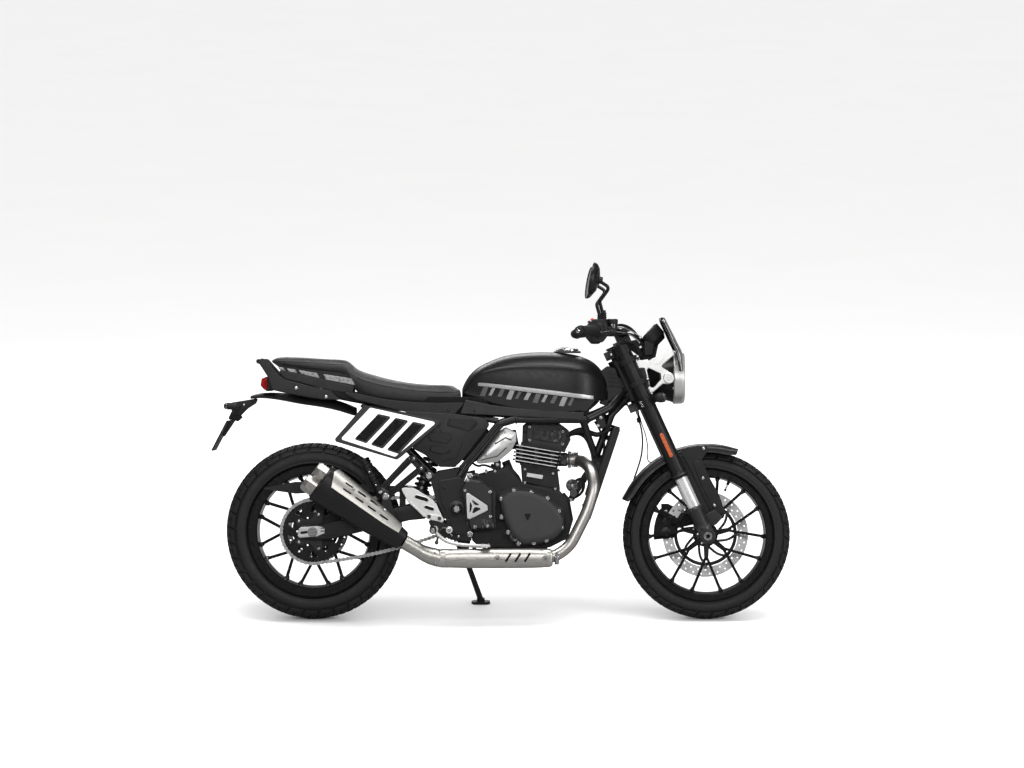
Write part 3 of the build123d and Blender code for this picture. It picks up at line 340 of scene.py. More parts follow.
def mirrorMesh(mesh):
    copy = mesh.copy()
    copy.transform(Matrix.Diagonal((1, -1, 1, 1)))
    copy.flip_normals()
    return copy


def both(shapes):
    return shapes + mirrored(shapes)


def clad(finish, *meshes):
    # meshes that share one finish
    return [(mesh, finish) for mesh in meshes]


def outward(y):
    # the way that a face at this y looks
    return (0, 1 if y > 0 else -1, 0)


def stud(profile, place, segments, **more):
    # a turned shape that stands on a side face, at its place
    return turned(profile, place, outward(place[1]), segments, **more)


def sheetOf(rings):
    # an open sheet through rows of points
    n = len(rings[0])
    faces = [(r * n + k, r * n + k + 1, r * n + n + k + 1, r * n + n + k) for r in range(len(rings) - 1)
        for k in range(n - 1)]
    return meshOf([p for ring in rings for p in ring], faces)


def assemble(name, shapes, body, replaced=(), smooth=34, weld=True):
    # joins shapes, each with its own finish, into one piece that rides on a body
    joined, finishes = bmesh.new(), []
    for mesh, finish in shapes:
        kinds = finish if isinstance(finish, tuple) else (finish,)
        finishes += [kind for kind in dict.fromkeys(kinds) if kind not in finishes]
        part = bmesh.new()
        part.from_mesh(mesh)
        if weld:
            bmesh.ops.remove_doubles(part, verts=part.verts, dist=2e-6)
        bmesh.ops.recalc_face_normals(part, faces=part.faces)
        for face in part.faces:
            face.material_index = finishes.index(kinds[min(face.material_index, len(kinds) - 1)])
            face.smooth = True
        part.to_mesh(mesh)
        part.free()
        joined.from_mesh(mesh)
    mesh = bpy.data.meshes.new(name)
    joined.to_mesh(mesh)
    joined.free()
    mesh.transform(park)
    mesh.set_sharp_from_angle(angle=radians(smooth))
    for finish in finishes:
        mesh.materials.append(finish)
    piece = placed(name, mesh)
    # flat faces keep flat shading beside their rounded edges
    even = piece.modifiers.new("even", "WEIGHTED_NORMAL")
    even.keep_sharp = True
    shown = evaluated(piece)
    piece.modifiers.clear()
    shown.name = name
    piece.data = shown
    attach(piece, body)
    if replaced:
        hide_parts(*replaced)
    return piece


def bolt(place, direction=(0, -1, 0), radius=5.0, kind="hex", finish=None):
    # a flanged hex, socket or dome head that stands on a surface
    finish, out, shapes = finish or zincBolt, Vector(direction).normalized(), []
    place = Vector(place)
    if kind == "hex":
        shapes += clad(finish, turned([(-0.5, 0), (-0.5, 1.25 * radius), (0.22 * radius, 1.25 * radius),
            (0.34 * radius, 1.05 * radius), (0.34 * radius, 0)], place, out, 18), turned([(0, radius),
            (0.95 * radius, radius), (1.15 * radius, 0.86 * radius), (1.15 * radius, 0)], place, out, 6))
    elif kind == "socket":
        h = 0.95 * radius
        shapes += clad(finish, turned([(-0.5, 0), (-0.5, radius), (h - 0.12 * radius, radius),
            (h, 0.88 * radius), (h, 0.55 * radius), (0.4 * h, 0.5 * radius), (0.4 * h, 0)], place, out,
            16))
    else:
        shapes += clad(finish, turned([(-0.5, 0), (-0.5, radius), (0.15 * radius, radius),
            (0.45 * radius, 0.8 * radius), (0.62 * radius, 0.45 * radius), (0.62 * radius, 0.34 * radius),
            (0.3 * radius, 0.3 * radius), (0.3 * radius, 0)], place, out, 16))
    return shapes


def bolts(places, y, radius=5.0, kind="hex", finish=None):
    # bolts at (x, z) places on one side face
    return [shape for x, z in places for shape in bolt((x, y, z), outward(y), radius, kind, finish)]


def dress(node, finish):
    # a frame node keeps its shape and takes a finish
    piece = frame["nodes"][node]
    piece.data.materials.clear()
    piece.data.materials.append(finish)


def skin(rows):
    # a smooth body from cross sections; each is half of one, from the top's middle down to the bottom's
    rings = []
    for row in rows:
        right = [Vector((p[0], -p[1], p[2])) for p in row[1:-1]]
        rings.append([Vector(p) for p in row] + right[::-1])
    return loft(rings)


def between(stations, x):
    # straight-line values between (x, value, value...) stations
    for a, b in zip(stations, stations[1:]):
        if x <= b[0]:
            t = max(0.0, (x - a[0]) / (b[0] - a[0]))
            return [p + (q - p) * t for p, q in zip(a[1:], b[1:])]
    return list(stations[-1][1:])


def drape(target, corners, lift=0.4, across=6, along=2, side=-1):
    # a thin decal: a four-cornered (x, z) patch laid on a surface seen from one side
    tree = BVHTree.FromPolygons([v.co * 1000 for v in target.vertices],
        [p.vertices for p in target.polygons])
    a, b, c, d = [Vector((x, 0, z)) for x, z in corners]
    points, faces = [], []
    for i in range(along + 1):
        for j in range(across + 1):
            u, v = j / across, i / along
            flatPoint = (a * (1 - u) + b * u) * (1 - v) + (d * (1 - u) + c * u) * v
            hit, normal, _, _ = tree.ray_cast(flatPoint + Vector((0, side * 900, 0)),
                Vector((0, -side, 0)))
            if hit is None:
                hit, normal = flatPoint, Vector((0, side, 0))
            if normal.y * side < 0:
                normal = -normal
            points.append(hit + normal * lift)
    for i in range(along):
        for j in range(across):
            k = i * (across + 1) + j
            faces.append((k, k + 1, k + across + 2, k + across + 1))
    return meshOf(points, faces)


def stripe(target, line, width, lift=0.4, side=-1, steps=8):
    # a raised line laid on a surface along (x, z) points
    strips = []
    for (x1, z1), (x2, z2) in zip(line, line[1:]):
        n = Vector((-(z2 - z1), 0, x2 - x1)).normalized() * width / 2
        strips.append(drape(target, [(x1 + n.x, z1 + n.z), (x2 + n.x, z2 + n.z), (x2 - n.x, z2 - n.z),
            (x1 - n.x, z1 - n.z)], lift, steps, 1, side))
    return joined(strips)


def joined(meshes):
    work = bmesh.new()
    for mesh in meshes:
        work.from_mesh(mesh)
    mesh = bpy.data.meshes.new("shape")
    work.to_mesh(mesh)
    work.free()
    return mesh


def spring(start, end, radius, wire, turns, sides=8):
    start, end = Vector(start), Vector(end)
    axis = (end - start).normalized()
    across = axis.orthogonal().normalized()
    up = axis.cross(across)
    count = int(turns * 16)
    path = []
    for k in range(count + 1):
        a, t = 2 * pi * turns * k / count, k / count
        path.append(start + (end - start) * t + (across * cos(a) + up * sin(a)) * radius)
    return loft(ringsAlong(path, wire, sides))


def scaled(outline, amount, shift=(0, 0)):
    x, z = (sum(p[k] for p in outline) / len(outline) for k in (0, 1))
    return [(x + (p[0] - x) * amount + shift[0], z + (p[1] - z) * amount + shift[1]) for p in outline]


def stepped(outline, layers, side=-1, corner=10.0):
    # a cast cover built up in layers of (distance out, size); each step has a drafted wall and a soft edge
    loops = []
    for out, amount in layers:
        loops.append([Vector((p.x, side * out, p.z)) for p in bent(flat(scaled(outline, amount)),
            corner * amount, True, 5)])
    return softened(loft(loops), 1.6, 2, 25)


def facets(outline, low, high, inner):
    # a raised boss of flat slopes round a flat middle
    rim = [Vector((x, -low, z)) for x, z in outline]
    top = [Vector((x, -high, z)) for x, z in scaled(outline, inner)]
    return softened(loft([rim, top]), 1.2, 2, 8)


# helpers that build finishes, then the finishes with the values to change
def newFinish(name):
    finish = bpy.data.materials.new(name)
    finish.use_nodes = True
    return finish, finish.node_tree, finish.node_tree.nodes["Principled BSDF"]


def fill(node, values):
    for key, value in values.items():
        node.inputs[key].default_value = value


def add(tree, kind, **settings):
    made = tree.nodes.new("ShaderNode" + kind)
    for key, value in settings.items():
        setattr(made, key, value)
    return made


def noise(tree, scale, detail=3.0, rough=0.55, stretch=None, turn=(0, 0, 0)):
    texture = add(tree, "TexNoise")
    fill(texture, {"Scale": scale, "Detail": detail, "Roughness": rough})
    place = add(tree, "TexCoord").outputs["Object"]
    if stretch or any(turn):
        mapping = add(tree, "Mapping")
        fill(mapping, {"Scale": stretch or (1, 1, 1), "Rotation": turn})
        tree.links.new(place, mapping.inputs["Vector"])
        place = mapping.outputs["Vector"]
    tree.links.new(place, texture.inputs["Vector"])
    return texture.outputs["Fac"]


def cells(tree, scale, jitter=1.0):
    texture = add(tree, "TexVoronoi", feature="DISTANCE_TO_EDGE")
    fill(texture, {"Scale": scale, "Randomness": jitter})
    tree.links.new(add(tree, "TexCoord").outputs["Object"], texture.inputs["Vector"])
    return texture.outputs["Distance"]


def ramp(tree, fac, stops):
    # stops are (position, colour or grey)
    colours = add(tree, "ValToRGB")
    elements = colours.color_ramp.elements
    while len(elements) < len(stops):
        elements.new(0.5)
    for element, (position, colour) in zip(elements, stops):
        element.position = position
        element.color = (*colour, 1) if isinstance(colour, tuple) else (colour, colour, colour, 1)
    tree.links.new(fac, colours.inputs["Fac"])
    return colours.outputs["Color"]


def spread(tree, value, low, high, fromLow=0.3, fromHigh=0.7):
    scale = add(tree, "MapRange")
    fill(scale, {"From Min": fromLow, "From Max": fromHigh, "To Min": low, "To Max": high})
    tree.links.new(value, scale.inputs["Value"])
    return scale.outputs["Result"]


def mix(tree, fac, a, b, kind="RGBA"):
    join = add(tree, "Mix", data_type=kind)
    slots = {"RGBA": (6, 7, 2), "FLOAT": (2, 3, 0)}[kind]
    for index, value in ((0, fac), (slots[0], a), (slots[1], b)):
        if hasattr(value, "is_linked") or hasattr(value, "links"):
            tree.links.new(value, join.inputs[index])
        else:
            join.inputs[index].default_value = (*value, 1) if isinstance(value, tuple) else value
    return join.outputs[slots[2]]


def maths(tree, operation, a, b):
    result = add(tree, "Math", operation=operation)
    for index, value in ((0, a), (1, b)):
        if hasattr(value, "links"):
            tree.links.new(value, result.inputs[index])
        else:
            result.inputs[index].default_value = value
    return result.outputs["Value"]


def bump(tree, shader, height, strength, distance=0.0004, under=None):
    relief = add(tree, "Bump")
    fill(relief, {"Strength": strength, "Distance": distance})
    tree.links.new(height, relief.inputs["Height"])
    if under:
        tree.links.new(under, relief.inputs["Normal"])
    if shader:
        tree.links.new(relief.outputs["Normal"], shader.inputs["Normal"])
    return relief.outputs["Normal"]


def shade(colour, amount):
    return tuple(min(1.0, c * amount) for c in colour)


def coat(name, colour, rough, metallic=0.0, mottle=0.15, grain=900, relief=0.1, clear=0.0, worn=None,
        roughSpread=0.07, patch=22):
    # paint, plastic or plain metal: broken colour, uneven gloss and a fine grain
    finish, tree, shader = newFinish(name)
    base = ramp(tree, noise(tree, patch, 5), [(0.3, shade(colour, 1 - mottle)),
        (0.7, shade(colour, 1 + mottle))])
    if worn:
        edge = ramp(tree, add(tree, "NewGeometry").outputs["Pointiness"], [(0.53, 0.0), (0.6, 1.0)])
        rub = maths(tree, "MULTIPLY", edge, spread(tree, noise(tree, 90, 4), 0, 1, 0.45, 0.6))
        base = mix(tree, rub, base, worn)
    tree.links.new(base, shader.inputs["Base Color"])
    tree.links.new(spread(tree, noise(tree, 3 * patch, 4), rough - roughSpread, rough + roughSpread),
        shader.inputs["Roughness"])
    fill(shader, {"Metallic": metallic, "Specular IOR Level": 0.28})
    if clear:
        fill(shader, {"Coat Weight": clear, "Coat Roughness": 0.06})
    bump(tree, shader, noise(tree, grain, 3), relief)
    return finish


def brushed(name, colour, rough, stretch, tint=None, turn=(0, 0, 0), relief=0.16):
    # metal drawn one way: lines in the colour, the gloss and the surface
    finish, tree, shader = newFinish(name)
    lines = noise(tree, 60, 8, 0.7, stretch, turn=turn)
    base = ramp(tree, lines, [(0.3, shade(colour, 0.72)), (0.5, colour), (0.72, shade(colour, 1.18))])
    if tint:
        base = mix(tree, spread(tree, noise(tree, 5, 3), 0, 0.55, 0.45, 0.7), base, tint)
    tree.links.new(base, shader.inputs["Base Color"])
    tree.links.new(spread(tree, lines, rough - 0.08, rough + 0.12), shader.inputs["Roughness"])
    shader.inputs["Metallic"].default_value = 1.0
    bump(tree, shader, lines, relief, 0.0002)
    return finish


frameBlack = coat("frame_black", (0.005, 0.005, 0.0055), 0.38, mottle=0.2, grain=700, relief=0.12,
    clear=0.15)
engineBlack = coat("engine_black", (0.011, 0.011, 0.0115), 0.5, 0.25, mottle=0.22, grain=1500, relief=0.3,
    worn=(0.12, 0.12, 0.125))
coverBlack = coat("cover_black", (0.02, 0.02, 0.021), 0.42, 0.45, mottle=0.12, grain=1800, relief=0.18,
    worn=(0.2, 0.2, 0.2))
wheelBlack = coat("wheel_black", (0.004, 0.004, 0.0044), 0.2, mottle=0.15, grain=300, relief=0.03,
    clear=0.6)
barBlack = coat("bar_black", (0.005, 0.005, 0.0053), 0.32, 0.2, grain=900, relief=0.08)
trimBlack = coat("trim_black", (0.0065, 0.0065, 0.0067), 0.55, mottle=0.12, grain=2200, relief=0.35)
panelBlack = coat("panel_black", (0.0075, 0.0075, 0.0078), 0.47, mottle=0.1, grain=2600, relief=0.25)
# near-black used as painted shade in slots, gaps, creases and behind parts, and for dark seams
shadeAndSeamBlack = coat("shade_and_seam_black", (0.0025, 0.0025, 0.0025), 0.8, mottle=0.3, grain=500, relief=0.2)
satinBlack = coat("satin_black", (0.0048, 0.0048, 0.005), 0.36, 0.0, mottle=0.1, grain=420, relief=0.035)
glossBlack = coat("gloss_black", (0.003, 0.003, 0.0033), 0.14, mottle=0.1, grain=300, relief=0.015,
    clear=1.0)
zincBolt = coat("zinc_bolt", (0.5, 0.5, 0.49), 0.28, 1.0, mottle=0.12, grain=700, relief=0.1, patch=70)
blackBolt = coat("black_bolt", (0.02, 0.02, 0.02), 0.4, 0.6, mottle=0.2, grain=900, relief=0.1, patch=70)
plainSteel = coat("plain_steel", (0.27, 0.27, 0.275), 0.33, 1.0, mottle=0.2, grain=600, relief=0.15,
    patch=60)
darkSteel = coat("dark_steel", (0.07, 0.07, 0.072), 0.42, 0.9, mottle=0.25, grain=700, relief=0.2,
    patch=60)
chainSteel = coat("chain_steel", (0.3, 0.3, 0.295), 0.4, 0.7, mottle=0.25, grain=500, relief=0.2,
    patch=90)
satinAlloy = coat("satin_alloy", (0.56, 0.56, 0.555), 0.38, 0.95, mottle=0.05, grain=1600, relief=0.1,
    patch=40)
castAlloy = coat("cast_alloy", (0.62, 0.62, 0.61), 0.42, 0.9, mottle=0.05, grain=1500, relief=0.1,
    patch=40)
polished = coat("polished", (0.82, 0.82, 0.81), 0.13, 1.0, mottle=0.04, grain=200, relief=0.02, patch=40)
stanchionChrome = coat("stanchion_chrome", (0.72, 0.72, 0.73), 0.2, 0.7, mottle=0.04, grain=260,
    relief=0.015)
pipeSteel = brushed("pipe_steel", (0.46, 0.445, 0.425), 0.34, (0.5, 5, 5), tint=(0.4, 0.365, 0.32),
    relief=0.07)
shieldSteel = brushed("shield_steel", (0.52, 0.505, 0.475), 0.36, (0.5, 8, 5), turn=(0, radians(35), 0),
    relief=0.06)
tipSteel = brushed("tip_steel", (0.5, 0.485, 0.46), 0.32, (4, 4, 0.6), turn=(0, radians(55), 0),
    relief=0.06)
discSteel = brushed("disc_steel", (0.72, 0.72, 0.72), 0.5, (2.5, 0.4, 2.5), relief=0.04)
mirrorGlass = coat("mirror_glass", (0.86, 0.88, 0.9), 0.02, 1.0, mottle=0.02, grain=30, relief=0.002,
    roughSpread=0.01)
redButton = coat("red_button", (0.5, 0.02, 0.012), 0.4, mottle=0.08, grain=900, relief=0.1)
springBlack = coat("spring_black", (0.008, 0.008, 0.008), 0.35, mottle=0.2, grain=800, relief=0.15,
    clear=0.3)
gripRubber = coat("grip_rubber", (0.007, 0.007, 0.007), 0.72, mottle=0.2, grain=1500, relief=0.35)
hoseRubber = coat("hose_rubber", (0.006, 0.006, 0.0063), 0.5, mottle=0.2, grain=1800, relief=0.2)


def tyreFinish(name, colour, rough, relief):
    # rubber with a bloom of dust and a moulded grain
    finish, tree, shader = newFinish(name)
    bloom = noise(tree, 9, 6, 0.6)
    base = ramp(tree, bloom, [(0.3, shade(colour, 0.75)), (0.55, colour), (0.75, shade(colour, 1.5))])
    tree.links.new(base, shader.inputs["Base Color"])
    tree.links.new(spread(tree, noise(tree, 40, 5), rough - 0.1, rough + 0.08),
        shader.inputs["Roughness"])
    shader.inputs["Specular IOR Level"].default_value = 0.35
    fine = bump(tree, None, noise(tree, 1800, 3), relief, 0.0003)
    bump(tree, shader, noise(tree, 160, 4), 0.12, 0.0006, fine)
    return finish


treadRubber = tyreFinish("tread_rubber", (0.0075, 0.0075, 0.0074), 0.66, 0.4)
wallRubber = tyreFinish("wall_rubber", (0.0045, 0.0045, 0.0046), 0.52, 0.2)


def leatherFinish(name, colour, rough):
    # grained vinyl: pebbles with soft creases between them
    finish, tree, shader = newFinish(name)
    tree.links.new(ramp(tree, noise(tree, 26, 5),
        [(0.3, shade(colour, 0.8)), (0.7, shade(colour, 1.25))]), shader.inputs["Base Color"])
    tree.links.new(spread(tree, noise(tree, 70, 4), rough - 0.06, rough + 0.08),
        shader.inputs["Roughness"])
    fill(shader, {"Sheen Weight": 0.12, "Sheen Roughness": 0.5})
    pebble = spread(tree, cells(tree, 700), 0, 1, 0.0, 0.12)
    fine = bump(tree, None, pebble, 0.3, 0.0003)
    bump(tree, shader, noise(tree, 45, 4), 0.12, 0.001, fine)
    return finish


seatVinyl = leatherFinish("seat_vinyl", (0.0055, 0.0055, 0.0057), 0.55)
pipingVinyl = leatherFinish("piping_vinyl", (0.011, 0.011, 0.0115), 0.45)


def lensFinish(name, colour, rough=0.04, glow=0.0, ribs=0.0):
    # clear or tinted plastic lens, optionally ribbed inside
    finish, tree, shader = newFinish(name)
    base = ramp(tree, noise(tree, 30, 2), [(0.3, shade(colour, 0.94)), (0.7, colour)])
    tree.links.new(base, shader.inputs["Base Color"])
    fill(shader, {"Roughness": rough, "Transmission Weight": 0.85, "IOR": 1.45})
    if glow:
        fill(shader, {"Emission Color": (*colour, 1), "Emission Strength": glow})
    if ribs:
        bump(tree, shader, noise(tree, 60, 1, stretch=(0.01, ribs, 0.01)), 0.3, 0.0008)
    return finish


clearLens = lensFinish("clear_lens", (0.96, 0.97, 0.97))
redLens = lensFinish("red_lens", (0.62, 0.012, 0.01), 0.1, 0.06, ribs=6)
smokedLens = lensFinish("smoked_lens", (0.1, 0.1, 0.1), 0.12, ribs=6)


def reflectorFinish(name, colour):
    # prismatic reflector: a bright grid under clear plastic, with a faint painted glow
    finish, tree, shader = newFinish(name)
    grid = spread(tree, cells(tree, 420, jitter=0.0), 0, 1, 0.0, 0.25)
    tree.links.new(mix(tree, grid, shade(colour, 0.55), colour), shader.inputs["Base Color"])
    fill(shader, {"Roughness": 0.3, "Coat Weight": 0.3, "Emission Color": (*colour, 1),
        "Emission Strength": 0.04})
    bump(tree, shader, grid, 0.4, 0.0004)
    return finish


orangeReflector = reflectorFinish("orange_reflector", (0.38, 0.062, 0.004))
redReflector = reflectorFinish("red_reflector", (0.6, 0.01, 0.01))


def screenFinish(name, colour):
    # display glass with faint bands of cells behind it
    finish, tree, shader = newFinish(name)
    bars = spread(tree, cells(tree, 260, jitter=0.1), 0.8, 1.25, 0.0, 0.2)
    tree.links.new(mix(tree, bars, shade(colour, 0.8), colour), shader.inputs["Base Color"])
    fill(shader, {"Roughness": 0.08, "Coat Weight": 1.0})
    bump(tree, shader, noise(tree, 300, 2), 0.01)
    return finish


displayGlass = screenFinish("display_glass", (0.012, 0.014, 0.018))
dialFace = screenFinish("dial_face", (0.02, 0.022, 0.026))


def meshFinish(name, colour, scale):
    # woven or finned surface, such as a cooling core; its dark bands are painted shade between the fins
    finish, tree, shader = newFinish(name)
    wave = add(tree, "TexWave", bands_direction="Z")
    wave.inputs["Scale"].default_value = scale
    tree.links.new(add(tree, "TexCoord").outputs["Object"], wave.inputs["Vector"])
    lines = wave.outputs["Fac"]
    tree.links.new(ramp(tree, lines, [(0.2, shade(colour, 0.3)), (0.8, colour)]),
        shader.inputs["Base Color"])
    tree.links.new(spread(tree, noise(tree, 120, 4), 0.4, 0.6), shader.inputs["Roughness"])
    shader.inputs["Metallic"].default_value = 0.6
    bump(tree, shader, lines, 0.8, 0.002)
    return finish


coolingFins = meshFinish("cooling_fins", (0.05, 0.05, 0.052), 130)
print("finishes made")


# wheels and tyres
frontTyre = {"name": "front_tyre_rubber", "node": "front_tyre", "body": "front_wheel_body",
    "centre": frontAxle, "radius": frontRadius, "width": 110.0, "rim": 76.0, "pitches": 34, "reach": 0.94}
rearTyre = {"name": "rear_tyre_rubber", "node": "rear_tyre", "body": "rear_wheel_body",
    "centre": rearAxle, "radius": rearRadius, "width": 150.0, "rim": 102.0, "pitches": 34, "reach": 0.96}
rimSize = {"flange": 230.0, "lip": 6.0, "seat": 214.0, "valve": 67.0, "tread": 5.0}
# tread blocks of one pitch: four corners as (share of the pitch, share of the half width), and a height
treadBlocks = [([(0.04, 0.03), (0.46, 0.03), (0.56, 0.3), (0.14, 0.3)], 1.0),
    ([(0.55, 0.03), (0.95, 0.03), (1.05, 0.3), (0.65, 0.3)], 1.0),
    ([(0.2, 0.355), (0.62, 0.355), (0.74, 0.64), (0.32, 0.64)], 1.0),
    ([(0.71, 0.355), (1.12, 0.355), (1.24, 0.64), (0.83, 0.64)], 1.0),
    ([(0.36, 0.695), (1.2, 0.695), (1.25, 0.94), (0.46, 0.94)], 0.9)]


def treadCurve(tyre):
    # radius of the crown's arc, and the height of its centre
    chord, sagitta = 0.48 * tyre["width"], 0.24 * tyre["width"]
    arc = (chord ** 2 + sagitta ** 2) / (2 * sagitta)
    return arc, tyre["radius"] - arc, asin(min(1.0, chord / arc))


def treadPoint(tyre, around, share, depth):
    arc, centre, spreadAngle = treadCurve(tyre)
    lateral = share * spreadAngle * tyre["reach"]
    out, y = centre + (arc - depth) * cos(lateral), (arc - depth) * sin(lateral)
    angle = 2 * pi * around / tyre["pitches"]
    return tyre["centre"] + Vector((out * cos(angle), y, out * sin(angle)))


def treadBlock(tyre, corners, height, pitch, side):
    # one block: a curved top on tapering sides
    depth, columns, rows = rimSize["tread"] * height, 3, 3
    (a0, b0), (a1, b1), (a2, b2), (a3, b3) = corners
    points, faces = [], []
    for sink, inset in ((0.0, 0.05), (0.8, 0.0), (depth + 1.5, -0.04)):
        for r in range(rows + 1):
            t = inset + (1 - 2 * inset) * r / rows
            for k in range(columns + 1):
                u = inset + (1 - 2 * inset) * k / columns
                around = (a0 * (1 - u) + a1 * u) * (1 - t) + (a3 * (1 - u) + a2 * u) * t
                share = (b0 * (1 - u) + b1 * u) * (1 - t) + (b3 * (1 - u) + b2 * u) * t
                shift = 0.0 if side > 0 else 0.5
                points.append(treadPoint(tyre, pitch + around + shift, side * share, sink + 0.2))
    wide, layer = columns + 1, (columns + 1) * (rows + 1)
    for r in range(rows):
        for k in range(columns):
            a = r * wide + k
            faces.append((a, a + 1, a + wide + 1, a + wide))
    rim = ([k for k in range(columns)] + [columns + r * wide for r in range(rows)]
        + [rows * wide + k for k in range(columns, 0, -1)] + [r * wide for r in range(rows, 0, -1)])
    for level in (0, layer):
        for k in range(len(rim)):
            a, b = rim[k], rim[(k + 1) % len(rim)]
            faces.append((level + a, level + b, level + layer + b, level + layer + a))
    return points, faces


def tyreShapes(tyre):
    arc, centre, angle = treadCurve(tyre)
    half, edge = tyre["width"] / 2, tyre["radius"] - 0.24 * tyre["width"]
    depth, bead = rimSize["tread"], tyre["rim"] / 2
    crown = [((arc - depth) * sin(angle * k / 8), centre + (arc - depth) * cos(angle * k / 8))
        for k in range(8)]
    low = rimSize["flange"]
    wall = [(0.955 * half, edge - 3), (0.965 * half, edge - 6), (0.99 * half, edge - 7),
        (0.995 * half, edge - 9), (half, 0.5 * (edge + low) + 6), (half, 0.5 * (edge + low) - 2),
        (0.975 * half, low + 12), (0.985 * half, low + 10.5), (0.98 * half, low + 7),
        (0.93 * half, low + 5.5), (bead + 3, low + 1.5), (bead + 0.5, low - 2), (bead - 2, low - 14)]
    side = crown + wall
    loop = [(-y, r) for y, r in reversed(side[1:])] + side
    carcass = turned(loop, tyre["centre"], toLeft, 144, wrap=True)
    shapes = [(carcass, wallRubber)]
    points, faces = [], []
    for pitch in range(tyre["pitches"]):
        for corners, height in treadBlocks:
            for flip in (1, -1):
                more, quads = treadBlock(tyre, corners, height, pitch, flip)
                start = len(points)
                points += more
                faces += [tuple(start + k for k in quad) for quad in quads]
    shapes += clad(treadRubber, meshOf(points, faces))
    # moulded ribs round each wall, near the shoulder
    ribs = []
    for flip in (1, -1):
        for k in range(tyre["pitches"] * 2):
            a = 2 * pi * (k + (0.25 if flip > 0 else 0.75)) / (tyre["pitches"] * 2)
            low, high, skew = edge - 20, edge - 9, 0.012
            ribs.append([tyre["centre"] + Vector((r * cos(a + w), flip * y, r * sin(a + w)))
                for r, w, y in ((low, skew, 0.988 * half), (high, 0, 0.96 * half),
                (high, 0.022, 0.96 * half), (low, skew + 0.022, 0.988 * half))])
    points, faces = [], []
    for quad in ribs:
        start = len(points)
        out = Vector((0, 1.4 if quad[0].y > tyre["centre"].y else -1.4, 0))
        points += quad + [p + out for p in quad]
        faces += [tuple(start + 4 + k for k in range(4))]
        faces += [(start + k, start + (k + 1) % 4, start + 4 + (k + 1) % 4, start + 4 + k)
            for k in range(4)]
    shapes += clad(wallRubber, meshOf(points, faces))
    return shapes


def spokeBar(start, end, centre, wide, deep, edge=2.2):
    # a tapering bar in the wheel's plane, from (along, across) to (along, across); wide and deep at both ends
    a, b = Vector((start[0], 0, start[1])), Vector((end[0], 0, end[1]))
    along = (b - a).normalized()
    across = Vector((0, 1, 0)).cross(along)
    rings = []
    for share in (0.0, 0.33, 0.66, 1.0):
        p = a.lerp(b, share) + centre
        w, d = wide[0] + (wide[1] - wide[0]) * share, deep[0] + (deep[1] - deep[0]) * share
        e = min(edge, 0.3 * w)
        ring = [(w / 2, -d / 2 + e), (w / 2, d / 2 - e), (w / 2 - e, d / 2), (-w / 2 + e, d / 2),
            (-w / 2, d / 2 - e), (-w / 2, -d / 2 + e), (-w / 2 + e, -d / 2), (w / 2 - e, -d / 2)]
        rings.append([p + across * u + Vector((0, v, 0)) for u, v in ring])
    return loft(rings)


wheelLook = {"front": {"spokes": 7, "apex": 74.0, "split": 14.5, "rimInner": 200.0, "stem": (19, 15),
    "arm": (9, 10), "stemDeep": (30, 20), "armDeep": (19, 22), "hubRadius": 33.0, "hub": (-44, 44)},
    "rear": {"spokes": 8, "apex": 96.0, "split": 14.8, "rimInner": 192.0, "stem": (24, 17),
    "arm": (10, 11), "stemDeep": (40, 26), "armDeep": (24, 26), "hubRadius": 46.0, "hub": (-72, 62)}}


def castWheel(look, centre, rimWidth):
    half, lip, inner = rimWidth / 2, rimSize["lip"], look["rimInner"]
    outer, flange, seat = half + lip, rimSize["flange"], rimSize["seat"]
    profile = [(outer, inner + 9), (outer, flange - 2), (outer - 2, flange), (half + 1.5, flange),
        (half, flange - 2), (half - 2, seat + 2), (half - 6, seat), (0.55 * half, seat - 5),
        (0.4 * half, inner + 6), (-0.4 * half, inner + 6), (-0.55 * half, seat - 5), (-half + 6, seat),
        (-half + 2, seat + 2), (-half, flange - 2), (-half - 1.5, flange), (-outer + 2, flange),
        (-outer, flange - 2), (-outer, inner + 9), (-outer + 3, inner + 5.5), (-0.7 * half, inner + 3.5),
        (-0.45 * half, inner), (0.45 * half, inner), (0.7 * half, inner + 3.5), (outer - 3, inner + 5.5)]
    shapes = [(turned(profile, centre, toLeft, 128, wrap=True), wheelBlack)]
    for k in range(look["spokes"]):
        lift = radians(270 + 360 * k / look["spokes"])

        def turn(r, a):
            return r * cos(lift + radians(a)), r * sin(lift + radians(a))

        hubEdge = look["hubRadius"] - 4
        apex = turn(look["apex"], 0)
        shapes += clad(wheelBlack, spokeBar(turn(hubEdge, 0), turn(look["apex"] + 3, 0), centre,
            look["stem"], look["stemDeep"]))
        for side in (-1, 1):
            foot = turn(inner + 4, side * look["split"])
            shapes += clad(wheelBlack, spokeBar(apex, foot, centre, look["arm"], look["armDeep"]))
            toe = turn(inner - 10, side * look["split"] * 0.985)
            shapes += clad(wheelBlack, spokeBar(toe, foot, centre, (look["arm"][1], look["arm"][1] * 2.0),
                (22, 30)))
        # web between the arms at the fork of the Y
        web = turn(look["apex"] + 16, 0)
        shapes += clad(wheelBlack, spokeBar(apex, web, centre, (look["stem"][1] * 0.9, 4), (18, 12)))
    low, high = look["hub"]
    r = look["hubRadius"]
    hub = profileOf([(low, 21), (low, r - 8), (low + 8, r - 3), (low + 22, r - 7), (-18, r), (18, r),
        (high - 14, r - 3), (high - 2, r + 2), (high, r + 2), (high, 21)], 3)
    shapes += clad(wheelBlack, turned(hub, centre, toLeft, 48))
    # the valve stem, straight in towards the hub
    valve = centre + Vector((inner * cos(radians(rimSize["valve"])), 4,
        inner * sin(radians(rimSize["valve"]))))
    inward = (centre - valve).normalized()
    shapes += [(rod(valve - inward * 4, valve + inward * 10, 5.5, 14), hoseRubber),
        (rod(valve + inward * 9, valve + inward * 26, 3.2, 12), zincBolt),
        (rod(valve + inward * 26, valve + inward * 34, 4.4, 12), blackBolt)]
    return shapes


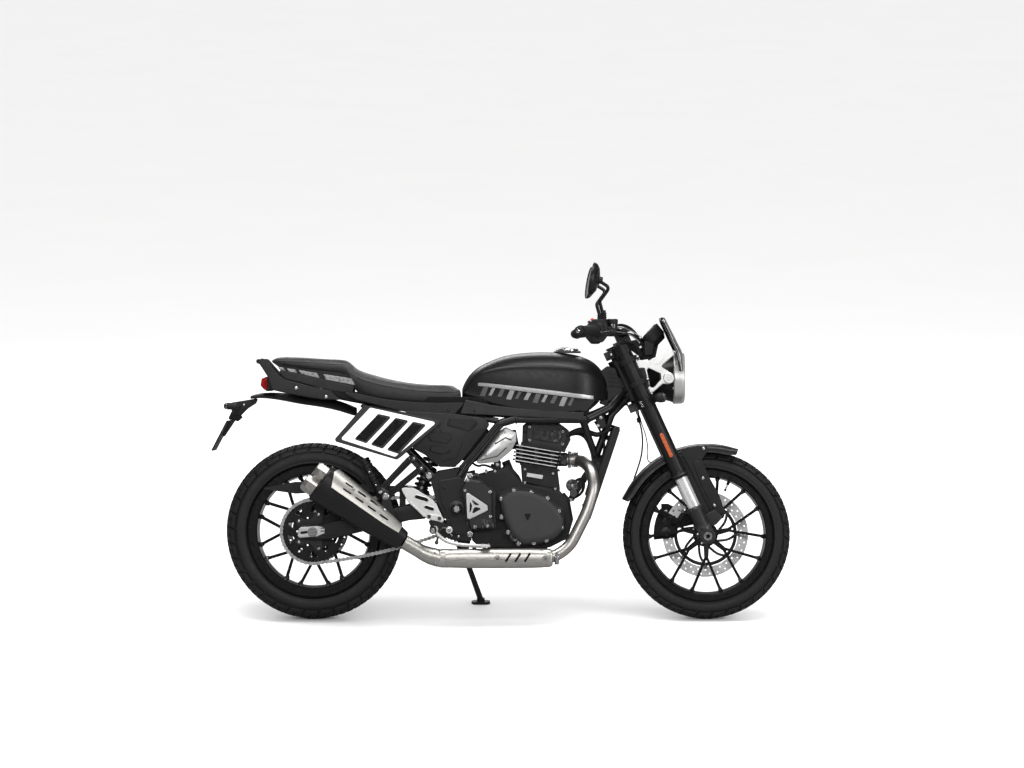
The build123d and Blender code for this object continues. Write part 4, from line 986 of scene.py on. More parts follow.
for tyre in (frontTyre, rearTyre):
    assemble(tyre["name"], tyreShapes(tyre), tyre["body"], [tyre["node"]], smooth=28)
assemble("front_cast_wheel", castWheel(wheelLook["front"], frontAxle, frontTyre["rim"]),
    "front_wheel_body", ["front_wheel"])
assemble("rear_cast_wheel", castWheel(wheelLook["rear"], rearAxle, rearTyre["rim"]), "rear_wheel_body",
    ["rear_wheel"])

discLook = {"front": {"radius": 150.0, "track": 36.0, "y": 60.0, "thick": 5.0, "hole": 3.0, "holes": 30,
    "buttons": 8}, "rear": {"radius": 115.0, "track": 30.0, "y": 88.0, "thick": 5.0, "hole": 3.0,
    "holes": 24, "buttons": 6}}


def brakeDisc(look, centre):
    # drilled rotor on a dark carrier held by rivets
    low, high = look["y"] - look["thick"] / 2, look["y"] + look["thick"] / 2
    radius, track = look["radius"], look["track"]
    holes = [ringOutline(0, 0, radius - track, 72)]
    for k in range(look["holes"]):
        for row in range(2):
            a = 2 * pi * (k + 0.5 * row) / look["holes"]
            r = radius - 11 - row * (track - 22)
            holes.append(ringOutline(r * cos(a), r * sin(a), look["hole"], 8))
    rotor = plate(ringOutline(0, 0, radius, 120), low, high, 0.5, holes=holes, fine=1)
    rotor.transform(Matrix.Translation(centre / 1000))
    shapes = [(rotor, discSteel)]
    inner, count = radius - track, look["buttons"]
    carrier = plate(ringOutline(0, 0, inner - 3, 96), low - 1.5, high + 1, 1,
        holes=[ringOutline(0, 0, inner - 15, 80)])
    hub = plate(ringOutline(0, 0, 44, 64), low - 1.5, high + 1.5, 1.2, holes=[ringOutline(0, 0, 24, 40)])
    for mesh in (carrier, hub):
        mesh.transform(Matrix.Translation(centre / 1000))
        shapes += clad(coverBlack, mesh)
    for k in range(count):
        # swept arms from the hub out to each rivet
        a = 2 * pi * k / count
        points = [(40, -0.62), (56, -0.42), (0.5 * inner + 32, -0.2), (inner - 8, 0.0)]
        arm = [centre + Vector((r * cos(a + turn), (low + high) / 2, r * sin(a + turn)))
            for r, turn in points]
        shapes += clad(coverBlack, flowing(arm, 4.6, 10))
        at = centre + Vector(((inner + 0.5) * cos(a), 0, (inner + 0.5) * sin(a)))
        shapes += clad(plainSteel, rod(at + Vector((0, low - 4, 0)), at + Vector((0, high + 3, 0)), 6.5,
            18, 1.2))
    for k in range(5):
        a = 2 * pi * (k + 0.3) / 5
        at = centre + Vector((34 * cos(a), high + 1.5, 34 * sin(a)))
        shapes += bolt(at, toLeft, 4.5, "dome")
    return shapes


assemble("front_drilled_disc", brakeDisc(discLook["front"], frontAxle), "front_wheel_body",
    ["front_brake_disc"])
assemble("rear_drilled_disc", brakeDisc(discLook["rear"], rearAxle), "rear_wheel_body",
    ["rear_brake_disc"])


drive = {"y": -95.0, "pitch": 15.875, "rearTeeth": 44, "frontTeeth": 15, "output": (572.0, 394.0),
    "sag": 22.0, "links": 112}
rearPitch = drive["pitch"] / (2 * sin(pi / drive["rearTeeth"]))
frontPitch = drive["pitch"] / (2 * sin(pi / drive["frontTeeth"]))


def toothedOutline(pitchRadius, teeth, turn=0.0):
    out = []
    for k in range(teeth):
        for share, r in ((-0.32, -4.2), (-0.12, -5.0), (0.12, -5.0), (0.32, -4.2), (0.43, 1.5),
                (0.47, 4.0), (0.53, 4.0), (0.57, 1.5)):
            a = 2 * pi * (k + share + turn) / teeth
            out.append(((pitchRadius + r) * cos(a), (pitchRadius + r) * sin(a)))
    return out


def sprocketShapes():
    holes = [ringOutline(0, 0, 25, 40)]
    for k in range(10):
        # windows in the web, turned about as in a truss
        a, flip = 2 * pi * (k + 0.5) / 10, 1 if k % 2 else -1
        base, tip = 79 - 11 * flip, 79 + 11 * flip
        holes.append([(r * cos(a + w), r * sin(a + w)) for r, w in ((base, -0.03), (base, 0.03),
            (tip, 0.17), (tip, 0), (tip, -0.17))][::flip])
    for k in range(16):
        a = 2 * pi * k / 16
        holes.append(ringOutline(51 * cos(a), 51 * sin(a), 3.2, 10) if k % 2
            else ringOutline(101 * cos(a), 101 * sin(a), 3.6, 10))
    wheel = plate(toothedOutline(rearPitch, drive["rearTeeth"]), drive["y"] - 3.6, drive["y"] + 3.6, 0.8,
        holes=holes, fine=1)
    wheel.transform(Matrix.Translation(rearAxle / 1000))
    shapes = [(wheel, barBlack)]
    carrier = []
    for k in range(5):
        for share, r in ((-0.2, 60), (-0.1, 70), (0.1, 70), (0.2, 60), (0.35, 45), (0.65, 45)):
            a = 2 * pi * (k + share) / 5
            carrier.append((r * cos(a), r * sin(a)))
    face = plate(carrier, drive["y"] - 5.8, drive["y"] - 3.4, 0.8, corner=8,
        holes=[ringOutline(0, 0, 25, 40)])
    face.transform(Matrix.Translation(rearAxle / 1000))
    shapes += clad(coverBlack, face)
    for k in range(5):
        a = 2 * pi * k / 5
        shapes += bolt(rearAxle + Vector((61 * cos(a), drive["y"] - 5.8, 61 * sin(a))), toRight, 6.2,
            "dome")
    return shapes


assemble("rear_chain_wheel", sprocketShapes(), "rear_wheel_body", ["rear_sprocket"])


def chainPath():
    # the pitch line, walked from the top of the rear sprocket round to where it began
    dx, dz = drive["output"][0], drive["output"][1] - rearAxle.z
    slope, opening = atan2(dz, dx), asin((rearPitch - frontPitch) / hypot(dx, dz))
    top, low = slope + pi / 2 - opening, slope - pi / 2 + opening
    front = Vector((drive["output"][0], 0, drive["output"][1]))

    def on(centre, r, a):
        return Vector((centre.x + r * cos(a), 0, centre.z + r * sin(a)))

    line = [on(rearAxle, rearPitch, top + (2 * pi + low - top) * k / 60) for k in range(61)]
    a, b = on(rearAxle, rearPitch, low), on(front, frontPitch, low)
    middle = a.lerp(b, 0.5) + Vector((8, 0, -drive["sag"]))
    for k in range(1, 40):
        t = k / 40
        line.append(a * (1 - t) ** 2 + (middle * 2 - (a + b) / 2) * 2 * t * (1 - t) + b * t ** 2)
    line += [on(front, frontPitch, low + (top - low) * k / 20) for k in range(21)]
    return line + [line[0].copy()]


def evenly(line, count):
    steps = [(b - a).length for a, b in zip(line, line[1:])]
    total, out, k, gone = sum(steps), [], 0, 0.0
    for n in range(count):
        want = total * n / count
        while gone + steps[k] < want:
            gone += steps[k]
            k += 1
        out.append(line[k].lerp(line[k + 1], (want - gone) / steps[k]))
    return out


def linkPlate(a, b, y, thick, radius):
    # a figure-of-eight side plate over two pins
    along = (b - a).normalized()
    across = Vector((-along.z, 0, along.x))
    out = []
    for centre, side in ((a, -1), (b, 1)):
        for k in range(7):
            t = -pi / 2 + pi * k / 6
            spin = along * cos(t) * side + across * sin(t) * side
            out.append(centre + spin * radius)
        out.append(centre.lerp(a.lerp(b, 0.5), 0.9) + across * side * radius * 0.66)
    return loft([[p + Vector((0, y - thick / 2, 0)) for p in out],
        [p + Vector((0, y + thick / 2, 0)) for p in out]])


def chainShapes():
    pins = evenly(chainPath(), drive["links"])
    shapes = []
    for k, pin in enumerate(pins):
        after = pins[(k + 1) % len(pins)]
        gap = 7.6 if k % 2 else 5.6
        for side in (-1, 1):
            shapes += clad(chainSteel, linkPlate(pin, after, drive["y"] + side * gap, 1.8, 6.7 if k % 2
                else 6.3))
        shapes += clad(chainSteel, turned([(-8.9, 0), (-8.9, 2.2), (-8.6, 2.5), (8.6, 2.5), (8.9, 2.2),
            (8.9, 0)], pin + Vector((0, drive["y"], 0)), toLeft, 8), turned([(-4.6, 4.6), (4.6, 4.6)],
            pin + Vector((0, drive["y"], 0)), toLeft, 10))
    small = plate(toothedOutline(frontPitch, drive["frontTeeth"], 0.5), drive["y"] - 3.4, drive["y"]
        + 3.4, 0.8, holes=[ringOutline(0, 0, 12, 20)], fine=1)
    small.transform(Matrix.Translation((drive["output"][0] / 1000, 0, drive["output"][1] / 1000)))
    shapes += clad(darkSteel, small)
    return shapes


assemble("drive_chain", chainShapes(), "chassis", ["chain"], weld=False)
print("wheels, discs and chain made")


# stations along the tank: x, top, crease, half width, lower edge
tank = {"paint": satinBlack, "band": glossBlack, "line": satinAlloy, "lineWidth": 4.4,
    "lineFrom": (559, 824.5), "lineFall": 0.1261, "bars": 11, "barWidth": 17.0, "barsFrom": 592.0,
    "barStep": 30.5, "stations": ((517, 806, 792, 70, 768), (526, 830, 806, 80, 764),
    (548, 862, 838, 93, 757), (575, 882, 861, 101, 752), (590, 891, 867, 106, 749),
    (652, 919, 881, 121, 740), (700, 928, 886, 129, 734), (770, 935, 887, 134, 727),
    (850, 934, 885, 135, 722), (912, 926, 877, 127, 718), (950, 913, 869, 113, 720),
    (975, 900, 860, 98, 738), (996, 881, 848, 80, 758), (1012, 858, 832, 63, 782),
    (1026, 830, 815, 48, 806))}


def tankLine(x):
    # height of the silver line, which falls towards the nose
    startX, startZ = tank["lineFrom"]
    return startZ - tank["lineFall"] * (x - startX)


def tankRow(x, top, crease, half, low):
    line = min(tankLine(x), low + 0.72 * (crease - low))
    w = tank["lineWidth"] / 2
    rise = top - crease
    return [(x, 0, top), (x, 0.42 * half, top - 0.1 * rise), (x, 0.74 * half, top - 0.42 * rise),
        (x, 0.93 * half, crease + 0.05 * rise), (x, 0.985 * half, crease - 0.12 * (crease - line)),
        (x, half, line + 0.42 * (crease - line)), (x, 0.995 * half, line + w), (x, 0.99 * half, line - w),
        (x, 0.955 * half, (line + low) / 2), (x, 0.88 * half, low + 3), (x, 0.8 * half, low),
        (x, 0.5 * half, low + 9), (x, 0, low + 14)]


def tankBody():
    rows = [tankRow(*station) for station in tank["stations"]]
    mesh = skin(rows)
    count = 2 * len(rows[0]) - 2
    for index, face in enumerate(mesh.polygons):
        row, place = divmod(index, count)
        place = min(place, count - 1 - place)
        middle = face.center.x * 1000
        if row < len(rows) - 1:
            if place == 6 and 562 < middle < 985:
                face.material_index = 2
            elif place in (7, 8):
                face.material_index = 1
    return subdivided(mesh, 2, 44)


def tankSides(shell):
    # a generic band of slanted bars under the silver line, and the seams of the nose
    shapes = []
    for side in (-1, 1):
        for k in range(tank["bars"]):
            x = tank["barsFrom"] + tank["barStep"] * k
            top, low = tankLine(x) - 9, tankLine(x) - 9 - (25 if k % 3 else 31)
            width = tank["barWidth"] * (1.0, 0.62, 0.8)[k % 3]
            patch = [(x, top), (x + width, top - 2), (x + width - 13, low - 2), (x - 13, low)]
            shapes.append((drape(shell, patch, 0.5, 4, 4, side), satinAlloy if k % 2 else plainSteel))
        nose = [(964, 902), (990, 874), (1006, 838), (1008, 806), (996, 772)]
        shapes += clad(shadeAndSeamBlack, stripe(shell, nose, 2.4, 0.3, side, 3))
        # a dark line along the crease: painted shade
        crease = [(585, 868), (652, 883), (719, 887), (823, 886), (905, 877)]
        shapes += clad(shadeAndSeamBlack, stripe(shell, crease, 1.6, 0.25, side, 5))
    return shapes


tankShell = tankBody()
tankTrim = tankSides(tankShell)
tankNose = []
for side in (-1, 1):
    # ribbed cover and dark panel that close the gap between the tank and the head tube
    outline = [(1000, 866), (1024, 884), (1052, 876), (1078, 800), (1060, 766), (1024, 744), (996, 752),
        (1018, 806)]
    tankNose += clad(panelBlack, plate(outline, side * 26, side * 44, 2.0, 6))
    for k in range(4):
        tankNose += clad(trimBlack, plate([(1020 + 3 * k, 862 - 15 * k), (1056 + 4 * k, 858 - 15 * k),
            (1055 + 4 * k, 853 - 15 * k), (1019 + 3 * k, 857 - 15 * k)], side * 43, side * 46, 0.8))
assemble("tank_shell", [(tankShell, (tank["paint"], tank["band"], tank["line"]))] + tankTrim, "chassis",
    ["fuel_tank"])
assemble("tank_nose_covers", tankNose, "chassis")

capCentre = middleOf("fuel_cap")
cap = {"radius": 40.0, "top": 946.0, "neck": 929.0, "screws": 6, "x": (park.inverted() @ capCentre).x
    * 1000}
capLow = cap["top"] - 9
# the dark mark on the latch is painted shade in its slot
shapes = [(turned(profileOf([(0, 39), (0, cap["radius"]), (4.5, cap["radius"]), (6, 38.5), (6, 31),
    (5, 30), (5, 24), (7.5, 22), (8.4, 10), (8.8, 0)], 0.6), (cap["x"], 0, capLow), upward, 56),
    polished), (box((cap["x"] - 8, 0, capLow + 8.6), (30, 13, 7), 2), plainSteel),
    (box((cap["x"] - 16, 0, capLow + 12.2), (2, 6, 1), 0.2), shadeAndSeamBlack)]
for k in range(cap["screws"]):
    a = 2 * pi * k / cap["screws"] + 0.3
    shapes += bolt((cap["x"] + 35 * cos(a), 35 * sin(a), capLow + 5.8), upward, 2.4, "socket", blackBolt)
assemble("filler_cap", shapes, "cap", ["fuel_cap"])

collar = turned(profileOf([(0, 47), (0, 49), (6, 47), (7.4, 44), (7.4, 41.5), (0, 41)], 0.8),
    (cap["x"], 0, cap["neck"]), upward, 56, wrap=True)
neck = turned([(0, 24.4), (0, 41), (7.6, 41), (7.6, 24.4)], (cap["x"], 0, cap["neck"]), upward, 40,
    wrap=True)
assemble("filler_collar", [(collar, darkSteel), (neck, darkSteel)], "chassis")
print("tank made")


# stations along the saddle: x, top, half width, lower edge
saddle = {"voxel": 0.006, "pressure": 4.0, "swell": 0.005, "fill": 0.85, "cover": seatVinyl,
    "piping": pipingVinyl, "pipe": 2.6, "stations": ((-152, 900, 60, 895), (-145, 906, 68, 888),
    (-120, 911, 82, 881), (-82, 911, 87, 877), (-20, 908, 91, 871), (44, 903, 95, 865),
    (92, 902, 99, 861), (110, 900, 101, 857), (124, 892, 103, 842), (138, 876, 105, 818),
    (152, 866, 107, 797), (172, 858, 112, 778), (212, 846, 118, 768), (254, 835, 120, 761),
    (316, 822, 118, 755), (370, 816, 112, 751), (422, 813, 97, 749), (470, 813, 84, 748),
    (500, 812, 77, 750), (511, 806, 72, 756))}


def saddleRow(x, top, half, low):
    h = top - low
    return [(x, 0, top), (x, 0.5 * half, top - 0.6), (x, 0.78 * half, top - 0.07 * h),
        (x, 0.945 * half, top - 0.2 * h), (x, half, top - 0.42 * h), (x, 0.985 * half, low + 0.24 * h),
        (x, 0.93 * half, low + 1), (x, 0.5 * half, low + 2), (x, 0, low + 2)]


def saddleEdge(side, share, start, end):
    # a line that runs along the saddle at a share of its height
    points = []
    for x, top, half, low in saddle["stations"]:
        if start <= x <= end:
            points.append((x, side * (half * 0.965), top - share * (top - low)))
    return points


def saddleCover():
    rows = [saddleRow(*station) for station in saddle["stations"]]
    return subdivided(skin(rows), 2, 60)


def saddleSeams(cover):
    shapes = []
    tree = BVHTree.FromPolygons([v.co * 1000 for v in cover.vertices],
        [p.vertices for p in cover.polygons])

    def onCover(point, out, lift=0.4):
        hit, normal, _, _ = tree.ray_cast(Vector(point) + Vector(out) * 200, -Vector(out))
        return (hit + Vector(out) * lift) if hit is not None else Vector(point)

    for side in (-1, 1):
        # piping along the edge of the rider's seat, with a row of stitches under it
        edge = [onCover(p, (0, side, 0.25), 0.2) for p in saddleEdge(side, 0.27, 150, 500)]
        shapes += clad(saddle["piping"], flowing(edge, saddle["pipe"], 8))
        rear = [onCover(p, (0, side, 0.2), 0.2) for p in saddleEdge(side, 0.26, -140, 112)]
        shapes += clad(saddle["piping"], flowing(rear, saddle["pipe"], 8))
        riser = [onCover((110 + 9 * k, side * 100, 888 - 17 * k), (0, side, 0.05), 0.2) for k in range(5)]
        shapes += clad(saddle["piping"], flowing(riser, 1.8, 8))
        for a, b in zip(edge, edge[1:]):
            count = int((b - a).length / 9)
            for k in range(count):
                p = a + (b - a) * ((k + 0.5) / count) + Vector((0, side * 0.6, -6.5))
                q = onCover(p, (0, side, 0.1), 0.3)
                shapes += clad(pipingVinyl, box(q, (5, 1.2, 1.2), 0))
    # cross seams of the raised pad and the rider's seat
    for x in (-96, 70, 205, 330):
        top, half, low = between(saddle["stations"], x)
        seam = []
        for k in range(-7, 8):
            seam.append(onCover((x + (8 if x > 150 else 0) * (1 - (k / 7) ** 2), half * 0.86 * k / 7,
                top + 20), (0, 0, 1), -0.5))
        shapes += clad(shadeAndSeamBlack, flowing(seam, 1.1, 6))
    return shapes


def puffed(mesh, voxel, pressure, cap, frames=20):
    # remeshes a closed cover and lets air pressure swell it, no point by more than cap metres
    scene, pad = bpy.context.scene, placed("pad", mesh)

    def applied():
        made = evaluated(pad)
        pad.modifiers.clear()
        pad.data = made
        return made

    remesh = pad.modifiers.new("remesh", "REMESH")
    remesh.mode, remesh.voxel_size = "VOXEL", voxel
    even = pad.modifiers.new("even", "SMOOTH")
    even.factor, even.iterations = 0.5, 6
    start = [point.co.copy() for point in applied().vertices]
    cloth = pad.modifiers.new("cloth", "CLOTH")
    cloth.settings.use_pressure, cloth.settings.uniform_pressure_force = True, pressure
    cloth.settings.effector_weights.gravity = 0
    for moment in range(1, frames + 1):
        scene.frame_set(moment)
    for point, place in zip(applied().vertices, start):
        step = point.co - place
        point.co = place + step * min(1, cap / max(step.length, 1e-9))
    scene.frame_set(1)
    pad.modifiers.new("fine", "SUBSURF").levels = 1
    made = applied()
    bpy.data.objects.remove(pad)
    return made


saddleShell = saddleCover()
saddleShell = puffed(saddleShell, saddle["voxel"], saddle["pressure"], saddle["swell"])
cover = assemble("saddle_cover", [(saddleShell, saddle["cover"])] + saddleSeams(saddleShell), "chassis",
    ["saddle"])
print("saddle made")

stripAlloy = coat("strip_alloy", (0.2, 0.2, 0.2), 0.42, 0.8, mottle=0.6, grain=900, relief=0.2, patch=140)
tail = {"panel": panelBlack, "strip": stripAlloy, "rail": satinBlack, "bolts": ((-59, 807), (45, 776)),
    "stripTop": ((-126, 881), (-46, 869), (58, 852), (136, 839)), "stripLow": ((-119, 870), (-46, 856),
    (58, 832), (142, 815)), "strips": ((-124, -104), (-94, -63), (-52, 14), (34, 140)),
    "plate": ((-195, 904), (-178, 910), (-167, 908), (-136, 873), (-115, 849), (-98, 837), (-46, 824),
    (24, 804), (62, 797), (79, 779), (97, 765), (31, 767), (-28, 776), (-98, 790), (-143, 800),
    (-157, 845))}
shapes = []
for a, b in tail["strips"]:
    za, zb = between(tail["stripTop"], a)[0], between(tail["stripTop"], b)[0]
    lowA, lowB = between(tail["stripLow"], a + 10)[0], between(tail["stripLow"], b + 10)[0]
    shapes += clad(tail["strip"], plate([(a, za), (b, zb), (b + 9, lowB), (a + 9, lowA)], -96, -88, 2.4,
        2, fine=3))
panel = [(-119, 869), (-46, 855), (58, 831), (142, 814), (135, 779), (65, 797), (24, 807), (-46, 826),
    (-98, 838), (-112, 852)]
shapes += [(plate(panel, -98, -84, 2.2, 3), tail["panel"]), (plate([(-122, 882), (-46, 873), (58, 863),
    (136, 853), (140, 806), (-100, 846)], -91, -80, 1), trimBlack)]
assemble("tail_side_trim", both(shapes), "chassis")

# the dark sheet behind the side rail is painted shade
shapes = [(plate(tail["plate"], -108, -98, 3.2, 6, fine=3), tail["rail"]), (plate([(-90, 828), (24, 802),
    (62, 794), (120, 781), (118, 770), (60, 782), (20, 788), (-88, 812)], -98.5, -90, 1), shadeAndSeamBlack)]
for x, z in tail["bolts"]:
    shapes += bolt((x, -108, z), toRight, 7, "dome")
    shapes += clad(frameBlack, rod((x, -98, z), (x, -84, z), 9))
shapes = both(shapes)
handle = bent([(-176, -100, 897), (-186, -96, 899), (-192, -70, 900), (-192, 70, 900), (-186, 96, 899),
    (-176, 100, 897)], 14)
shapes += [(loft(ringsAlong(handle, 8.5, 14)), tail["rail"]), (box((-139, 0, 824), (17, 194, 23), 3),
    trimBlack)]
assemble("grab_handle", shapes, "chassis", ["grab_rails"])

lamps = {"lens": redLens, "indicator": smokedLens, "stalk": (-268, 744), "out": 122.0, "cells": 9}
shapes = [(plate([(-186, 816), (-182, 840), (-166, 846), (-156, 842), (-153, 801), (-172, 800)], -60, 60,
    5, 4, fine=3), lamps["lens"]), (plate([(-172, 812), (-170, 836), (-149, 842), (-149, 803),
    (-166, 804)], -54, 54, 2, 2), shadeAndSeamBlack), (plate([(-166, 846), (-149, 850), (-149, 796), (-168, 796),
    (-164, 812)], -60, 60, 1.5, 2), trimBlack)]
for k in range(lamps["cells"]):
    shapes += clad(redReflector, box((-174, -48 + 12 * k, 822), (3, 8, 18), 1))
for side in (-1, 1):
    x, z = lamps["stalk"]
    y = side * lamps["out"]
    shapes += clad(trimBlack, stud([(0, 9), (4, 9), (7, 6.2), (72, 5.4), (78, 8), (84, 11), (96, 11)],
        (x, side * 21, z), 18))
    body = [(0, 0), (1, 7), (6, 10.4), (14, 11.6), (34, 12), (36, 11), (36, 0)]
    shapes += clad(trimBlack, turned(profileOf(body, 1), (x + 6, y, z), (-1, 0, 0), 28))
    lens = [(35, 0), (35, 11), (40, 11), (44.5, 9), (47, 5), (47.8, 0)]
    shapes += clad(lamps["indicator"], turned(profileOf(lens, 1), (x + 6, y, z), (-1, 0, 0), 28))
assemble("rear_lamps", shapes, "chassis", ["tail_lights"])


def arched(stations, thickness, count=7):
    # a curved guard: x, z of the top, half width and how far its edges drop
    rings = []
    for x, z, half, drop in stations:
        rings.append([Vector((x, half * sin(a), z - drop * (1 - cos(a))))
            for a in [radians(88) * k / count for k in range(-count, count + 1)]])
    return thickened(subdivided(sheetOf(rings), 1), thickness, 1.0)


rearGuard = {"top": ((146, 736, 60, 30), (92, 760, 62, 34), (22, 775, 62, 34), (-48, 781, 62, 32),
    (-100, 787, 60, 26), (-150, 789, 55, 20), (-192, 787, 46, 15), (-222, 777, 32, 9)),
    "arm": ((-206, 752), (-196, 772), (-242, 764), (-286, 757), (-300, 750), (-296, 736), (-288, 728),
    (-302, 700), (-292, 694), (-262, 706), (-232, 736)), "plateTop": (-299, 0, 693),
    "plateLow": (-353, 0, 589), "plateHalf": 95.0, "hole": 3.5, "holeSpacing": 140.0}
top, low = Vector(rearGuard["plateTop"]), Vector(rearGuard["plateLow"])
along = (top - low).normalized()
out = Vector((-along.z, 0, along.x))
board = [(-rearGuard["plateHalf"], 0), (-rearGuard["plateHalf"], 117), (rearGuard["plateHalf"], 117),
    (rearGuard["plateHalf"], 0)]
holes = [ringOutline(side * rearGuard["holeSpacing"] / 2, 97.2, rearGuard["hole"], 16)
    for side in (-1, 1)]
holes += [slotOutline(side * 60, 40, 36, 9, 0) for side in (-1, 1)]
sheet = plate(board, -2.6, 2.6, 0.8, 9, holes)


def onBoard(place):
    # lays a shape drawn in (x, z) on the plate's slope
    return Matrix(((0, out.x, along.x, place.x), (1, out.y, along.y, place.y),
        (0, out.z, along.z, place.z), (0, 0, 0, 1)))


shapes = clad(trimBlack, arched(rearGuard["top"], 3.0), moved(sheet, onBoard(low)),
    plate(rearGuard["arm"], -19, 19, 3.5, 5))
shapes += [(plate([(-288, 716), (-296, 700), (-268, 690), (-252, 704), (-262, 716)], -24, 24, 3, 3),
    shadeAndSeamBlack), (box((-286, 0, 706), (4, 34, 12), 1.2), clearLens)]
for side in (-1, 1):
    shapes += clad(trimBlack, plate([(-204, 770), (-250, 752), (-290, 700), (-322, 640), (-316, 636),
        (-280, 690), (-240, 738), (-204, 754)], side * 12, side * 20, 1.5, 4))
    shapes += bolt((-246, side * 19, 748), (0, side, 0), 4.5, "dome")
    shapes += bolt((-268, side * 19, 722), (0, side, 0), 3.5, "dome", blackBolt)
shapes += clad(redReflector, moved(turned([(0, 0), (0, 26), (5, 26), (7, 24), (7, 0)], (0, 0, 0), toLeft,
    32), onBoard(low + along * 40)))
assemble("rear_guard", shapes, "chassis", ["rear_mudguard"])
print("tail made")


# side panels and number boards
sidePanel = {"finish": panelBlack, "outline": ((317, 727), (493, 717), (560, 707), (603, 696), (612, 676),
    (518, 556), (493, 532), (441, 533), (389, 575), (348, 596)),
    "ridges": (((452, 674), (548, 648), (580, 684), (560, 696), (470, 702)), ((400, 618), (470, 604),
    (494, 628), (486, 650), (420, 662), (392, 640)), ((396, 588), (440, 574), (478, 580), (490, 594),
    (408, 606))), "creases": (((356, 690), (430, 690), (452, 640)), ((520, 620), (500, 566), (450, 552)))}
shapes = []
shell = dome(sidePanel["outline"], 112, 126, 6, 9, 7)
shapes += clad(sidePanel["finish"], shell)
for ridge in sidePanel["ridges"]:
    rim = [Vector((p.x, -123, p.z)) for p in bent(flat(ridge), 8, True, 4)]
    crown = [Vector((p.x, -134, p.z)) for p in bent(flat(scaled(ridge, 0.8, (0, 3))), 6, True, 4)]
    shapes += clad(satinBlack, softened(loft([rim, crown]), 2.2, 2, 20))
# the creases are darkened with painted shade
for line in sidePanel["creases"]:
    shapes += clad(shadeAndSeamBlack, stripe(shell, line, 2.6, 0.5, -1, 8))
shapes += [(plate([(93, 797), (174, 784), (240, 770), (302, 762), (372, 757), (430, 755), (528, 757),
    (493, 716), (410, 714), (330, 722), (250, 740), (150, 766)], -119, -108, 2.4, 4), panelBlack),
    (plate([(512, 718), (530, 766), (620, 748), (715, 736), (942, 722), (936, 696), (720, 708),
    (640, 712)], -118, -106, 2.4, 4), coverBlack)]
# dark sheets behind the panels: painted shade in the gaps
shapes += clad(shadeAndSeamBlack, plate([(10, 806), (120, 796), (300, 778), (552, 776), (556, 690), (490, 690),
    (480, 740), (300, 740), (150, 764), (10, 786)], -98, -90, 2, 4), plate([(540, 775), (700, 765),
    (960, 745), (960, 705), (700, 715), (540, 730)], -98, -90, 2, 4), plate([(330, 716), (493, 706),
    (600, 684), (510, 560), (440, 545), (392, 585), (352, 606)], -113, -104, 1, 6))
shapes += bolt((470, -122, 729), toRight, 4.5, "dome", blackBolt)
shapes += bolt((560, -126, 728), toRight, 4, "dome", blackBolt)
assemble("side_panel_covers", both(shapes), "chassis", ["side_panels"])

boards = {"face": "board_white", "outer": ((71, 624), (179, 748), (452, 693), (293, 558)),
    "inner": ((97, 630), (200, 739), (430, 688), (286, 569)), "bars": 3, "barStart": 150.0,
    "barStep": 56.0, "barWidth": 33.0, "slant": 104 / 110, "topFall": 0.222, "lowFall": 0.33}
boardWhite = coat(boards["face"], (0.78, 0.78, 0.77), 0.28, mottle=0.02, grain=300, relief=0.02,
    clear=0.5)
boardGrey = coat("board_grey", (0.018, 0.018, 0.0185), 0.42, 0.2, mottle=0.06, grain=1400, relief=0.12)
shapes = [(plate(boards["outer"], -151, -147, 1.4, 9, fine=3), boardGrey),
    (plate(boards["inner"], -151.9, -150, 0.5, 6), boardWhite)]


def boardBar(start, width, margin):
    # a bar between the board's lower and upper edges, as slanted as its ends
    (lowX, lowZ), (topX, topZ) = boards["inner"][:2]
    slant, fall = boards["slant"], boards["topFall"]
    corners = []
    for x in (start, start + width):
        low = lowZ - boards["lowFall"] * (x - lowX) + margin
        high = (topZ - margin - fall * (x - slant * low - topX)) / (1 + fall * slant)
        corners.append(((x, low), (x + slant * (high - low), high)))
    return [corners[0][0], corners[0][1], corners[1][1], corners[1][0]]


for k in range(boards["bars"]):
    start = boards["barStart"] + boards["barStep"] * k
    shapes += [(plate(boardBar(start - 6, boards["barWidth"] + 10, 15), -152.2, -151, 0.2, 5), boardGrey),
        (plate(boardBar(start, boards["barWidth"], 21), -152.5, -151, 0.2, 3), glossBlack)]
for x, z in ((380, 672), (340, 620)):
    shapes += clad(trimBlack, rod((x, -131, z), (x, -148, z), 9))
assemble("number_board_plates", both(shapes), "chassis", ["number_boards"])
print("panels made")


# engine and exhaust
engine = {"case": engineBlack, "cover": coverBlack, "facet": "facet_grey", "insert": satinAlloy,
    "caseHalf": 84.0, "fins": 5, "finPitch": 13.0, "finThick": 4.2}
facetGrey = coat(engine["facet"], (0.028, 0.028, 0.029), 0.46, 0.3, mottle=0.06, grain=1800, relief=0.12)
caseSide = [(639, 523), (677, 533), (726, 477), (860, 445), (885, 418), (899, 349), (878, 280),
    (823, 252), (580, 252), (552, 276), (552, 500)]
half = engine["caseHalf"]
shapes = clad(engine["case"], plate(caseSide, -half, half, 5, 9, fine=3),
    plate(scaled(caseSide, 1.008), -2.5, 2.5, 1, 9))
for k in range(5):
    y = -60 + 30 * k
    shapes += clad(engine["case"], plate([(866, 452), (892, 420), (905, 349), (884, 277), (872, 277),
        (888, 349), (874, 416)], y - 1.6, y + 1.6, 1.2, 6),
        plate([(600, 256), (820, 256), (812, 246), (610, 246)], y - 1.6, y + 1.6, 1.2, 3))
shapes += clad(engine["case"], plate([(652, 526), (676, 545), (716, 500), (728, 476), (700, 470)], -46,
    46, 5, 8), rod((690, 0, 500), (668, 0, 552), 15, 28))
